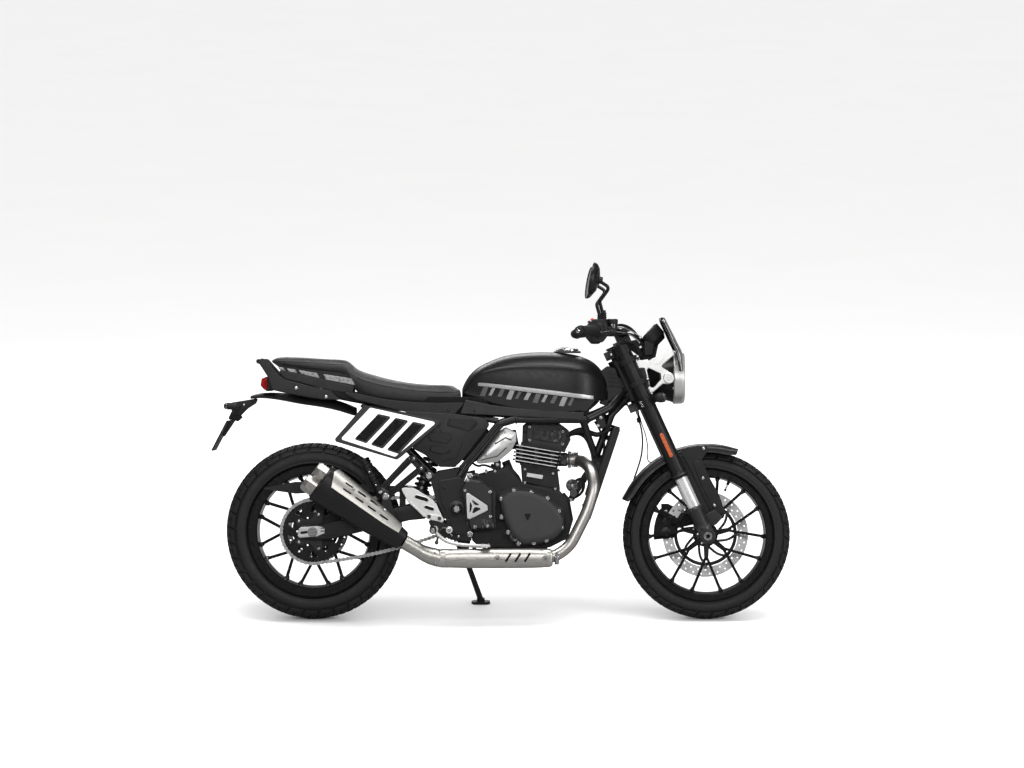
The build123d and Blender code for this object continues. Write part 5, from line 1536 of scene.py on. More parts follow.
for x, z in ((545, 300), (545, 502)):
    shapes += clad(engine["case"], rod((x, -107.8, z), (x, 107.8, z), 10.9, 28),
        plate([(536, z - 12), (562, z - 18), (562, z + 18), (536, z + 12)], -60, 60, 3, 4))
shapes += clad(plainSteel, rod((572, -107.5, 394), (572, -20, 394), 11, 28))
for x, z in ((600, 238.6), (742, 238.6)):
    shapes += clad(darkSteel, turned([(0, 0), (0, 13), (7, 13), (9, 11), (9, 0)], (x, -20, z + 9),
        (0, 0, -1), 6))
for x, z in ((566, 470), (600, 516), (632, 518)):
    shapes += bolt((x, -half, z), toRight, 5, "socket")
    shapes += bolt((x, half, z), toLeft, 5, "socket")
assemble("engine_case", shapes, "chassis", ["crankcase"])

cover = [(640, 432), (664, 452), (700, 462), (752, 457), (812, 434), (856, 396), (879, 352), (876, 310),
    (844, 280), (790, 263), (722, 259), (684, 292), (656, 356)]
shapes = [(stepped(cover, ((84, 1.0), (92, 1.0), (92.5, 0.985), (100, 0.96), (101, 0.93), (140, 0.915)),
    corner=26), engine["cover"]), (stepped(scaled(cover, 0.915), ((139, 1.0), (147, 0.985), (152, 0.955),
    (155.5, 0.89), (157, 0.8)), corner=30), facetGrey), (plate([(733, 372), (757, 372), (745, 346)],
    -158.2, -156, 0.4, 2), shadeAndSeamBlack)]
for rows in (((824, 372), (846, 378), (858, 346), (842, 330), (824, 344)),
        ((802, 318), (822, 332), (838, 318), (818, 296))):
    shapes += clad(facetGrey, facets(rows, 150, 156.4, 0.74))
ringX, ringZ = 760, 355
for x, z in ((694, 454), (757, 447), (816, 426), (858, 381), (866, 322), (812, 277), (767, 267),
        (712, 265), (674, 305), (650, 360), (650, 425)):
    bx, bz = x + 0.045 * (ringX - x), z + 0.045 * (ringZ - z)
    shapes += clad(engine["cover"], stud([(0, 12), (56, 9.4), (59, 8), (59, 0)], (bx, -84, bz), 22))
    shapes += bolt((bx, -143, bz), toRight, 5.6)
shapes += clad(engine["cover"], stud([(0, 17), (9, 16), (11, 14), (11, 8), (8, 7.4), (8, 0)],
    (700, -135, 292), 26), stud([(0, 9), (16, 9), (18, 7.6), (18, 0)], (664, -128, 396), 24))

sprocketSide = [(514, 461), (535, 496), (580, 489), (622, 458), (626, 352), (636, 324), (546, 315),
    (535, 357)]
shapes += clad(engine["cover"], stepped(sprocketSide, ((122, 1.0), (136, 0.985), (146, 0.95), (150, 0.9)),
    corner=9), plate([(618, 341), (634, 330), (634, 446), (618, 459)], -125, -84.3, 2, 3))
insert = [(532, 441), (540, 444), (606, 400), (608, 384), (546, 353), (536, 356)]
shapes += clad(engine["cover"], stepped(scaled(insert, 1.12), ((148, 1.0), (151, 0.99), (152, 0.97)),
    corner=5))
gaps = [[(548, 424), (584, 400), (563, 402), (557, 408)], [(551, 370), (558, 391), (565, 396),
    (588, 390)], [(545, 419), (553, 401), (552, 390), (543, 366)]]
shapes += clad(engine["insert"], plate(insert, -156, -151, 1.2, 5))
# the gaps in the insert are painted shade
for gap in gaps:
    shapes += clad(shadeAndSeamBlack, plate(scaled(gap, 0.96), -156.5, -155, 0.4, 3))
for x, z in ((537, 487), (528, 452), (614, 447), (615, 362), (562, 326), (606, 330)):
    shapes += clad(engine["cover"], rod((x, -122, z), (x, -148.5, z), 8, 20))
    shapes += bolt((x, -148.5, z), toRight, 4.8)
for k in range(5):
    shapes += clad(engine["cover"], plate([(590 + 9 * k, 322), (593 + 9 * k, 322), (586 + 9 * k, 352),
        (583 + 9 * k, 352)], -151.5, -147, 1))

generatorSide = [(668, 300), (664, 372), (700, 430), (768, 448), (832, 426), (864, 368), (852, 300),
    (800, 262), (724, 262)]
shapes += clad(engine["cover"], stepped(generatorSide, ((84, 1.0), (92, 1.0), (92.5, 0.985), (97, 0.97),
    (128, 0.9), (136, 0.84), (138, 0.78)), 1, 16), stud([(0, 62), (4, 61), (6, 58), (6, 30), (4, 28),
    (4, 0)], (764, 136, 355), 64))
shapes += clad(facetGrey, stud([(0, 24), (5, 23), (7, 20), (7, 0)], (764, 138, 355), 48))
for x, z in generatorSide:
    bx, bz = x + 0.05 * (764 - x), z + 0.05 * (352 - z)
    shapes += clad(engine["cover"], stud([(0, 11), (30, 8.6), (32, 7.4), (32, 0)], (bx, 84, bz), 22))
    shapes += bolt((bx, 116, bz), toLeft, 5.2)
assemble("case_covers", shapes, "chassis", ["engine_covers"], smooth=26)

# hoses, wires and small parts round the engine
clutter = [(flowing(route, radius, 12, 3), hoseRubber) for route, radius in ((((884, -30, 640),
    (924, -40, 668), (964, -40, 650), (1000, -44, 640), (1036, -48, 668)), 9),
    (((880, 34, 640), (930, 40, 662), (976, 44, 600), (984, 60, 480), (950, 66, 400)), 9),
    (((980, -40, 690), (1006, -52, 650), (1016, -56, 596), (996, -56, 540), (966, -50, 470)), 4),
    (((760, -40, 700), (830, -60, 716), (900, -64, 706), (960, -60, 716), (1010, -50, 740)), 5),
    (((900, -30, 470), (930, -40, 500), (946, -44, 470), (930, -40, 430), (896, -30, 420)), 5),
    (((620, -40, 540), (650, -60, 512), (690, -64, 520), (712, -58, 500)), 5),
    (((540, -70, 560), (566, -80, 530), (598, -78, 544), (640, -70, 520)), 4),
    (((470, -60, 700), (600, -72, 716), (700, -80, 706), (780, -70, 716)), 6))]
clutter += clad(trimBlack, box((1000, -56, 690), (30, 44, 48), 4, Matrix.Rotation(-0.3, 3, "Y")),
    box((1012, 50, 690), (40, 34, 46), 4, Matrix.Rotation(-0.3, 3, "Y")))
clutter += [(rod((902, -62, 466), (902, 40, 466), 22, 30, 3), engine["cover"]),
    (rod((906, -60, 440), (906, -74, 440), 14, 26, 2), darkSteel)]
clutter += clad(trimBlack, box((900, -40, 700), (70, 40, 24), 4), box((640, -62, 540), (26, 24, 30), 3))
clutter += clad(engine["cover"], rod((566, -60, 500), (566, -84, 500), 12, 24, 2))
for x, y, z in ((1000, -79, 704), (990, -79, 676), (902, -63, 466), (640, -75, 540)):
    clutter += bolt((x, y, z), toRight, 4.4)
assemble("engine_hoses", clutter, "chassis")
print("case and covers made")


def finTop(x):
    return 611 - 0.168 * (x - 701)


shapes = []
for k in range(engine["fins"]):
    start, end, drop = 701 - 2 * k, 862 - 3 * k, k * engine["finPitch"]
    blade = [(start, finTop(start) - drop), (end, finTop(end) - drop),
        (end, finTop(end) - drop - engine["finThick"]),
        (start, finTop(start) - drop - engine["finThick"])]
    shapes += clad(engine["case"], plate(blade, -72, 72, 1.4, fine=3))
    inset = [(start + 6, finTop(start + 6) - drop - 0.6), (end - 6, finTop(end - 6) - drop - 0.6),
        (end - 6, finTop(end - 6) - drop - 3.6), (start + 6, finTop(start + 6) - drop - 3.6)]
    for side in (-1, 1):
        shapes += clad(satinAlloy, plate(inset, side * 71.4, side * 72.6, 0.3))
    shapes += clad(satinAlloy, box((end + 0.2, 0, finTop(end) - drop - 2.1), (0.9, 128, 3), 0.3))
# a dark core between the fins: painted shade
shapes += clad(shadeAndSeamBlack, plate([(706, 608), (856, 584), (846, 524), (702, 547)], -58, 58, 4, 3))
for x in (722, 776, 832):
    shapes += clad(engine["case"], plate([(x - 6, finTop(x) - 2), (x + 6, finTop(x) - 3),
        (x + 6, finTop(x) - 56), (x - 6, finTop(x) - 55)], -69, 69, 3))
shapes += clad(engine["case"], plate([(720, 556), (726, 478), (860, 446), (848, 540)], -58, 58, 5, 7))
for z in (540, 470):
    shapes += clad(engine["case"], plate([(718, z + 6), (858, z - 18), (858, z - 25), (718, z - 1)], -62,
        62, 2, 2))
shapes += [(plate([(744, 512), (800, 503), (797, 489), (741, 498)], -64.5, -57, 1, 3), satinAlloy),
    (rod((840, -16, 557), (883.6, -16, 557), 24, 32), engine["case"])]
for x, z in ((736, 530), (834, 515), (736, 484), (842, 462)):
    for side in (-1, 1):
        shapes += bolt((x, side * 62, z - 6), (0, side, 0), 4.6, "socket")
assemble("finned_cylinder", shapes, "chassis", ["cylinder"], smooth=30)

headSide = [(728, 676), (756, 694), (806, 694), (858, 683), (889, 660), (896, 626), (874, 583),
    (726, 607.5)]
shapes = clad(engine["case"], plate(headSide, -62, 62, 5, 9, fine=3),
    plate([(722, 607.3), (876, 582.3), (880, 594), (722, 619)], -67, 67, 2.5, 4))
shapes += clad(shadeAndSeamBlack, plate([(730, 650), (896, 636), (895, 642), (730, 657)], -63.5, 63.5, 1.5, 1))
for side in (-1, 1):
    shapes += [(stepped(scaled(headSide, 0.86), ((60, 1.0), (66, 0.98), (68, 0.94)), side, 12),
        engine["cover"]), (stepped(scaled(headSide, 0.62, (2, 3)), ((67, 1.0), (71, 0.96), (72, 0.9)),
        side, 12), engine["case"]), (stud([(0, 21), (6, 20), (8, 17), (8, 12), (5, 11), (5, 0)],
        (842, side * 66, 640), 36), engine["cover"])]
    shapes += bolts(((752, 672), (868, 656), (752, 626), (868, 612)), side * 66, 4.8, "socket")
for y in (-34, 34):
    shapes += clad(engine["case"], rod((800, y, 690), (800, y, 699), 13, 24))
    shapes += bolt((842, y, 688), (0.1, 0, 1), 5, "socket")
assemble("head_casting", shapes, "chassis", ["cylinder_head"], smooth=28)

# silver throttle covers, the throat between them and the air box
coverSide = [(558, 542), (642, 652), (668, 670), (706, 652), (706, 622), (688, 588), (640, 549)]
shapes = []
for side in (-1, 1):
    shell = dome(coverSide, 62, 89, 7, 9, 6, side)
    shapes += [(shell, satinAlloy), (stripe(shell, [(632, 612), (668, 634), (690, 626)], 4.5, 0.6, side,
        8), shadeAndSeamBlack), (stripe(shell, [(582, 556), (640, 570), (672, 600)], 3.5, 0.6, side, 8),
        darkSteel)]
    shapes += bolt((600, side * 95, 575), (0, side, 0), 4.6)
    shapes += bolt((667, side * 94, 652), (0, side, 0), 4.2, "socket")
shapes += [(rod((600, 0, 606), (700, 0, 625), 31, 40), trimBlack),
    (turned([(0, 34), (4, 36), (12, 36), (16, 34), (16, 0)], (696, 0, 624), (0.98, 0, 0.19), 40),
    hoseRubber)]
for k in range(2):
    shapes += clad(plainSteel, turned([(0, 33), (0, 35.5), (8, 35.5), (8, 33)],
        (612 + 60 * k, 0, 608 + 11 * k), (0.98, 0, 0.19), 40, wrap=True))
assemble("throttle_covers", shapes, "chassis", ["intake_covers"], smooth=30)

shapes = [(plate([(486, 560), (486, 688), (592, 688), (618, 640), (590, 566), (560, 548)], -58, 58, 7, 9),
    trimBlack)]
for side in (-1, 1):
    shapes += [(box((477.7, side * 42, 696), (24.6, 20, 28), 2), trimBlack),
        (stepped([(500, 572), (500, 676), (580, 676), (602, 636), (576, 574)], ((57, 1.0), (60, 0.96)),
        side), panelBlack)]
assemble("air_box", shapes, "chassis", ["airbox"])


radiator = {"top": (1055.5, 0, 666.5), "low": (951.5, 0, 354), "rows": 21, "blades": 7,
    "fins": coolingFins, "tank": trimBlack}


def radiatorFrame(k, ahead, y):
    # a point k of the way down the core, ahead of its middle
    top, low = Vector(radiator["top"]), Vector(radiator["low"])
    down = (low - top).normalized()
    return top + (low - top) * k + Vector((-down.z, 0, down.x)) * ahead + Vector((0, y, 0))


def slabAlong(k0, k1, behind, ahead, yLow, yHigh, bevel=1.5):
    corners = [radiatorFrame(k0, behind, 0), radiatorFrame(k0, ahead, 0), radiatorFrame(k1, ahead, 0),
        radiatorFrame(k1, behind, 0)]
    return plate([(p.x, p.z) for p in corners], yLow, yHigh, bevel)


# a dark sheet behind the core: painted shade
shapes = [(slabAlong(0.07, 0.93, -9, 9, -77, 77, 0.3), shadeAndSeamBlack)]
for k in range(radiator["rows"]):
    at = 0.075 + 0.85 * k / (radiator["rows"] - 1)
    shapes += clad(darkSteel, slabAlong(at - 0.0045, at + 0.0045, -10.5, 10.5, -78, 78, 0.6))
shapes += clad(radiator["fins"], slabAlong(0.08, 0.92, -9.6, 9.6, -77.5, 77.5, 0.2))
for side in (-1, 1):
    shapes += clad(radiator["tank"], slabAlong(0.0, 1.0, -13, 13, side * 77, side * 92, 4),
        slabAlong(0.05, 0.95, -13.6, 13.6, side * 80, side * 83, 0.5))
shapes += clad(radiator["tank"], slabAlong(0.0, 0.07, -13, 13, -80, 80, 4),
    slabAlong(0.93, 1.0, -13, 13, -80, 80, 4))
for k in (0.12, 0.88):
    x, z = 1043 - 104 * k, 671 - 313 * k
    shapes += clad(trimBlack, rod((x - 6, -28, z), (x - 6, 28, z), 9, 24))
middle = radiatorFrame(0.55, -13, 0)
back = (radiatorFrame(0.5, -1, 0) - radiatorFrame(0.5, 0, 0)).normalized()
shapes += clad(trimBlack, turned([(0, 70), (0, 76), (16, 76), (18, 74), (18, 70)], middle, back, 56,
    wrap=True), turned([(2, 0), (2, 17), (20, 17), (22, 15), (22, 0)], middle, back, 32))
for k in range(radiator["blades"]):
    a = 2 * pi * k / radiator["blades"]
    out = Vector((0, cos(a), 0)) + (radiatorFrame(0, 0, 0) - radiatorFrame(1, 0, 0)).normalized() * sin(a)
    shapes += clad(trimBlack, rod(middle + back * 10 + out * 14, middle + back * 10 + out * 71, 3.4, 8))
cap = radiatorFrame(0.02, -2, 62)
shapes += clad(darkSteel, turned([(-6, 14), (4, 14), (4, 17), (12, 17), (13.5, 15), (13.5, 0)], cap,
    (0.32, 0, 0.95), 30))
assemble("cooling_radiator", shapes, "chassis", ["radiator"])
print("cylinder, head and radiator made")

exhaust = {"pipe": pipeSteel, "tip": tipSteel, "body": satinBlack, "shield": shieldSteel,
    "header": ((884, -16, 557), (908, -16, 557), (938, -44, 551), (967, -98, 525), (977, -126, 468),
    (955, -134, 385), (893, -146, 262), (842, -156, 224), (780, -164, 216)),
    "tail": ((440, -168, 218), (392, -172, 232), (318, -182, 276))}


def smoothed(points, radius, steps=10):
    # the route that the pipe takes: each corner as round as its shorter run lets it be
    corners = [Vector(p) for p in points]
    bends = []
    for a, b, c in zip(corners, corners[1:], corners[2:]):
        run, turn = min((b - a).length, (c - b).length), (b - a).angle(c - b) / 2
        bends.append(0.45 * run / sin(turn) * cos(turn))
    return loft(ringsAlong(bent(points, [0] + bends + [0], steps=steps), radius, 28))


def boxy(value, power):
    # a sine or cosine that swells a circle towards a box
    return abs(value) ** power * (1 if value > 0 else -1)


def chamber(start, end, radius, squash=0.82, corner=0.62):
    # a rounded box along a line
    start, end = Vector(start), Vector(end)
    along = (end - start).normalized()
    side, up = Vector((0, 1, 0)), Vector((0, 0, 1))
    loops = []
    for t, size in ((0, 0.7), (0.006, 0.85), (0.02, 0.95), (0.045, 1), (0.5, 1.0), (0.955, 1),
            (0.98, 0.95), (0.994, 0.85), (1, 0.7)):
        loop = []
        for k in range(40):
            a = 2 * pi * k / 40
            loop.append(start + (end - start) * t + side * radius * squash * size * boxy(cos(a), corner)
                + up * radius * 0.9 * size * boxy(sin(a), corner))
        loops.append(loop)
    return loft(loops)


shapes = [(smoothed(exhaust["header"], 20.5), exhaust["pipe"]),
    (smoothed(exhaust["tail"], lambda t: 31 - 6 * t), exhaust["shield"])]
port = Vector(exhaust["header"][0])
shapes += clad(darkSteel, plate([(887, 528), (893, 528), (893, 586), (887, 586)], -45, 13, 2, 2))
for k in range(4):
    shapes += clad(exhaust["pipe"], turned([(0, 20), (0, 27), (4.4, 27), (4.4, 20)],
        port + Vector((11 + 7 * k, -0.3 * k * k, -0.2 * k)), (1, -0.05 * k, 0), 32, wrap=True))
for z in (534, 580):
    shapes += bolt((893, -38, z), forward, 5)
body = chamber((832, -158, 219), (430, -168, 218), 36)
shapes += clad(exhaust["shield"], body)
cover = []
for x, sag in ((812, 12), (804, 15), (780, 17), (640, 18), (500, 17), (474, 15), (462, 12)):
    y = -158 - 10 * (830 - x) / 400
    ring = []
    for k in range(9):
        a = radians(-74 + 148 * k / 8)
        ring.append(Vector((x, y - 32.5 * abs(cos(a)) ** 0.62, 218 + (sag + 15) * boxy(sin(a), 0.8))))
    cover.append(ring)
shapes += clad(exhaust["shield"], thickened(subdivided(sheetOf(cover), 1), 2.4, 1.0))
# the slots' dark floors are painted shade
for k in range(3):
    shapes += clad(shadeAndSeamBlack, plate(slotOutline(678 + 33 * k, 222, 36, 7, 58), -199.2 + k * 0.8,
        -196 + k * 0.8, 0.5))
for x in (640, 806):
    shapes += clad(exhaust["pipe"], turned([(0, 11), (2, 10), (2, 0)], (x, -197 + 0.02 * (x - 640), 219),
        toRight, 28))
    shapes += bolt((x, -199 + 0.02 * (x - 640), 219), toRight, 5.4, "socket", plainSteel)
for x, y, radius in ((846, -156, 24), (424, -168, 27)):
    shapes += [(turned([(0, radius - 3), (0, radius), (14, radius), (14, radius - 3)], (x - 7, y, 220),
        (1, 0.03, 0), 36, wrap=True), plainSteel),
        (rod((x, y - radius + 2, 236), (x, y - radius + 2, 200), 3.4, 12), zincBolt)]
    shapes += bolt((x, y - radius + 2, 238), upward, 4.4)
shapes += clad(frameBlack, rod((560, -120, 252), (560, -150, 232), 7, 16))
assemble("exhaust_pipework", shapes, "chassis", ["exhaust_pipe"], smooth=30)

front, rear = Vector((314, -182, 279)), Vector((32, -198, 480))
axis = (rear - front).normalized()
across = Vector((0, 1, 0)) - axis * axis.y
across.normalize()
rise = axis.cross(across)


def oval(at, wide, tall, count=44, power=0.86):
    loop = []
    for k in range(count):
        a = 2 * pi * k / count
        loop.append(at + across * wide * boxy(cos(a), power) + rise * tall * boxy(sin(a), power))
    return loop


waist = front + (rear - front) * 0.35
shapes = clad(exhaust["body"], loft([oval(front - axis * 3, 22, 24), oval(front, 28, 31),
    oval(front + axis * 5, 30, 35), oval(waist - axis * 60, 36.5, 44), oval(waist, 42, 52),
    oval(waist + axis * 110, 46.6, 61), oval(rear - axis * 16, 49.7, 68.3)]),
    loft([oval(rear - axis * 17, 50.4, 69.2), oval(rear - axis * 3, 51, 70),
    oval(rear + axis * 2, 49, 68), oval(rear + axis * 4, 45, 64), oval(rear + axis * 0.5, 40, 59)]),
    loft([oval(waist - axis * 61, 37.3, 44.8), oval(waist - axis * 52, 38, 45.6)]))
# each tip is lined in near-black: painted shade in the bore
for up in (28, -28):
    start = rear + rise * up
    start = start - axis * (8 if up < 0 else 0)
    shapes += [(turned([(-6, 22), (2, 24), (6, 31.5), (38, 32.5), (47, 29), (52, 25), (48, 21.6),
        (8, 20.6), (8, 0)], start, axis, 8, twist=radians(22.5)), exhaust["tip"]),
        (turned([(9, 0), (9, 20.2), (44, 21), (44, 20.4), (10, 19.6)], start, axis, 8,
        twist=radians(22.5)), shadeAndSeamBlack)]
shapes += [(plate([(236, 372), (296, 336), (268, 436), (244, 444)], -191, -185, 1.5, 4), frameBlack),
    (rod((255, -191, 433), (255, -127.3, 433), 8, 20), darkSteel)]
shapes += bolt((255, -191, 433), toRight, 9)
assemble("silencer_body", shapes, "chassis", ["silencer"], smooth=20)

shapes = []
for x, z, y in ((146, 459, -246), (253, 386, -232)):
    shapes += bolt((x, y, z), toRight, 6, "dome")
assemble("shield_bolts", shapes, "chassis")
dress("heat_shield", exhaust["shield"])
print("exhaust made")


def bead(place, direction, radius, wire=2.6):
    # a weld round a tube's end
    return turned([(wire * cos(a), radius + wire * sin(a)) for a in [radians(30 * k) for k in range(12)]],
        place, direction, 30, wrap=True)


def pivotAt(y):
    # on the line of the swing arm's pivot
    return (499, y, 387)


rearZ = round(rearRadius)  # the rear axle's height in whole millimetres


def rearAxleAt(y):
    # on the rear axle's line
    return (0, y, rearZ)


frameLook = {"finish": frameBlack, "bolt": zincBolt, "plateBolts": ((403, 502, 11), (341, 561, 6),
    (372, 526, 6))}
dress("main_frame", frameLook["finish"])
dress("subframe", frameLook["finish"])
shapes = []
for place, direction, radius in (((1040, -46, 749), (-0.63, -0.4, -0.67), 15.4),
        ((950, -92, 699), (1, 0.5, 0.5), 15), ((706, -106, 699), (1, 0, 0), 15),
        ((646, -110, 680), (-0.64, 0, -0.77), 15), ((520, -113, 523), (-0.6, 0, -0.8), 15.2),
        ((984, -38, 580), (0.1, 0, 1), 13.5), ((941, -92, 690), (0.3, 0.5, -1), 13),
        ((1084, -21, 757), (-0.6, -0.3, -0.7), 13)):
    shapes += clad(frameLook["finish"], bead(place, direction, radius))
for offset in (-8.5, 8.5):
    a, b = Vector((649, -112, 682)), Vector((519, -114, 524))
    out = Vector((b.z - a.z, 0, a.x - b.x)).normalized() * offset
    shapes += clad(frameLook["finish"], tube([a + out + Vector((0, -9, 0)), b + out + Vector((0, -9, 0))],
        6.6, sides=14))
for x, z, radius in frameLook["plateBolts"]:
    shapes += clad(frameLook["finish"], stud([(0, radius + 7), (3, radius + 7), (5, radius + 4), (5, 0)],
        (x, -119.6, z), 32))
    shapes += bolt((x, -124, z), toRight, radius, "socket" if radius > 8 else "hex", frameLook["bolt"])
plateFace = [(427, 497), (520, 512), (512, 471), (506, 451), (530, 400), (523, 350), (538, 312),
    (542, 284), (484, 288), (470, 350), (437, 419)]
shapes += clad(frameLook["finish"], stepped(scaled(plateFace, 0.9),
    ((119.5, 1.0), (122.5, 0.985), (123, 0.96)), corner=9), stud([(0, 30), (3, 30), (5, 27), (5, 0)],
    pivotAt(-120), 40))
shapes += clad(barBlack, stud([(0, 20), (8, 20), (10.5, 17), (10.5, 11), (7, 9), (7, 0)], pivotAt(-120.3),
    36))
shapes += bolts(((500, 300), (455, 462), (528, 440)), -123, 5, "dome", blackBolt)
for z in (300, 502):
    shapes += bolt((545, -120, z), toRight, 8)
shapes += bolts(((990, 566), (896, 416)), -38, 5)
shapes += bolts(((1046, 806), (1060, 826)), -26, 4.5)
assemble("frame_fittings", both(shapes), "chassis")

swing = {"finish": satinBlack, "side": ((-48, 286), (-48, 330), (40, 338), (335, 400), (395, 404),
    (395, 354), (335, 348), (60, 282)), "link": ((380, 404), (380, 354), (499, 363), (499, 411))}
shapes = []
for side in (-1, 1):
    shapes += clad(swing["finish"], plate(swing["side"], side * 110, side * 138, 5, 9,
        [ringOutline(0, rearZ, 9.4, 32)], fine=3), plate(scaled(swing["side"], 0.8, (16, 0)), side * 136,
        side * 139, 1.4, 12), plate(swing["link"], side * 58, side * 80, 4, 5),
        plate([(352, 400), (355, 430), (374, 430), (392, 400)], side * 8, side * 20, 2, 7),
        rod(pivotAt(side * 120.3), pivotAt(side * 127.8), 15, 36))
    shapes += clad(zincBolt, stud([(0, 13), (9, 13), (11, 11), (11, 0)], pivotAt(side * 124), 6))
shapes += clad(swing["finish"], plate([(338, 401), (394, 404), (394, 356), (338, 352)], -134, 134, 5, 6),
    rod(pivotAt(-107.7), pivotAt(107.7), 24, 40))
assemble("swing_arm", shapes, "chassis", ["swingarm"])

shapes = [(rod(rearAxleAt(-154), rearAxleAt(154), 9, 32), plainSteel)]
for side in (-1, 1):
    shapes += clad(plainSteel, rod(rearAxleAt(side * 103.5), rearAxleAt(side * 109.7), 15, 32))
    adjuster = [(-52, 294), (-48, 320), (-40, 325), (18, 329), (32, 326), (42, 322), (42, 304), (30, 299),
        (14, 293), (-44, 288)]
    slot = slotOutline(-30, 306, 26, 9, 6)
    shapes += clad(satinAlloy, plate(adjuster, side * 138.2, side * 142.6, 1.2, 5, [slot]))
    for z in (312, 322):
        shapes += clad(darkSteel, plate([(28, z - 3), (42, z - 2), (42, z + 2), (28, z + 1)], side * 142,
            side * 143.4, 0.3))
    shapes += clad(plainSteel, stud([(0, 15), (2, 17), (4, 17), (4, 0)], rearAxleAt(side * 142), 36))
    shapes += clad(zincBolt, stud([(0, 13.6), (8, 13.6), (9.6, 11.6), (9.6, 9), (7, 9), (7, 0)],
        rearAxleAt(side * 144), 6), rod((-58, side * 124, rearZ), (-48, side * 124, rearZ), 5, 16))
assemble("axle_and_adjusters", shapes, "chassis", ["rear_axle"])

shock = {"low": (365, 0, 424), "high": (450, 0, 680.5), "spring": springBlack, "coil": 25.5, "wire": 5.2,
    "turns": 8.5}
shockLow, shockHigh = Vector(shock["low"]), Vector(shock["high"])


def acrossShock(end, half, radius, sides=32):
    # a bush or bolt across one end of the spring unit
    return rod(end - Vector((0, half, 0)), end + Vector((0, half, 0)), radius, sides)


along = (shockHigh - shockLow).normalized()
shapes = [(turned([(18, 20), (18, 31), (28, 31), (32, 27), (32, 20)], shockLow, along, 44, wrap=True),
    darkSteel)]
shapes += clad(plainSteel, turned([(199, 18), (197, 30), (203, 31), (215, 31), (215, 18)], shockLow,
    along, 44, wrap=True), turned([(22, 19.5), (112, 19.5), (116, 17), (116, 0)], shockLow, along, 36))
shapes += clad(stanchionChrome, turned([(110, 8), (212, 8), (212, 0)], shockLow, along, 28))
shapes += clad(shock["spring"], turned([(200, 17), (242, 17), (246, 14), (246, 0)], shockLow, along, 36),
    spring(shockLow + along * 36, shockLow + along * 195, shock["coil"], shock["wire"], shock["turns"],
    12))
shapes += clad(darkSteel, turned([(240, 10), (268, 10), (270, 8), (270, 0)], shockLow, along, 24),
    turned([(0, 7), (30, 7), (30, 0)], shockLow, along, 24), acrossShock(shockLow, 7.7, 12),
    acrossShock(shockHigh, 14, 12))
shapes += clad(zincBolt, acrossShock(shockLow, 20.6, 5, 20))
assemble("rear_spring_unit", shapes, "chassis", ["rear_shock"])

dress("chain_guard", trimBlack)
dress("rear_caliper", coverBlack)
shapes = bolts(((58, 386), (78, 384)), 103, 6)
shapes += bolts(((-92, 452), (200, 462)), -113, 4.5, "dome", blackBolt)
for a in (48, 62):
    place = Vector((110 * cos(radians(a)), 103, rearZ + 110 * sin(radians(a))))
    shapes += clad(coverBlack, turned([(0, 15), (2.5, 14), (4, 11), (4, 0)], place, toLeft, 28))
assemble("rear_gear_bolts", shapes, "chassis")

dress("side_stand", frameBlack)
shapes = bolt((520, 133, 241), (0, cos(radians(20)), sin(radians(20))), 8, "hex", zincBolt)
shapes += clad(darkSteel, tube([(540, 150, 196), (556, 190, 120)], 2.2, sides=10))
assemble("stand_bolt", shapes, "stand")
print("frame and running gear made")


# fork, lamp, screen and front mudguard
front = {"tube": satinBlack, "casting": coverBlack, "stanchion": stanchionChrome, "arm": castAlloy,
    "ring": castAlloy, "legSpacing": 98.0, "reflector": orangeReflector, "indicator": smokedLens}
legs = front["legSpacing"]
axleX, axleZ = round(wheelbase), round(frontRadius)  # the front axle in whole millimetres
shapes = []
for side in (-1, 1):
    y = side * legs
    foot = forkPoint(0, y, 0)
    shapes += [(turned([(226, 24), (228, 27), (231, 29.4), (244, 29.4), (248, 27.2), (500, 27),
        (505, 27.4), (688, 27.4), (690, 27), (729, 27), (731, 25), (731, 0)], foot, forkUp, 56),
        front["tube"]), (turned([(231.5, 29.4), (232, 30), (236, 30), (236.5, 29.4)], foot, forkUp, 56,
        wrap=True), darkSteel), (turned([(222, 21.6), (222, 25), (227, 26), (229, 24), (229, 21.6)], foot,
        forkUp, 48, wrap=True), hoseRubber), (turned([(100, 21.5), (230, 21.5), (230, 0)], foot, forkUp,
        56), front["stanchion"]), (turned([(731, 19), (741, 19), (743, 17), (743, 9), (740, 8), (740, 0)],
        foot, forkUp, 6), darkSteel), (turned([(20, 22), (24, 26), (60, 25.2), (84, 25.6), (98, 27.4),
        (108, 27.4), (112, 25.6), (112, 21.6)], foot, forkUp, 52), front["casting"])]
    boss = ringOutline(axleX, axleZ, 27, 48)
    shapes += clad(front["casting"], plate(boss, side * 72, side * 122, 4, 0,
        [ringOutline(axleX, axleZ, 10.3, 32)], fine=3))
    corners = [forkPoint(a, 0, t) for a, t in ((-23, 44), (-26, 0), (-17, -26), (17, -26), (26, 0),
        (23, 44))]
    shapes += clad(front["casting"], plate([(p.x, p.z) for p in corners], side * 80, side * 116, 6, 10,
        [ringOutline(axleX, axleZ, 10.3, 32)], fine=3))
    lug = [(1362, 366), (1398, 384), (1424, 356), (1402, 332), (1374, 322)]
    shapes += clad(front["casting"], plate(lug, side * 72, side * 84, 2, 9))
    for t in (-14, 20):
        place = forkPoint(-27, side * 104, t)
        shapes += clad(front["casting"], rod(place, place + forkAhead * 5, 6, 18))
        shapes += bolt(place - forkAhead, -forkAhead, 4, "socket")
assemble("fork_tubes", shapes, "fork", ["fork_legs"])

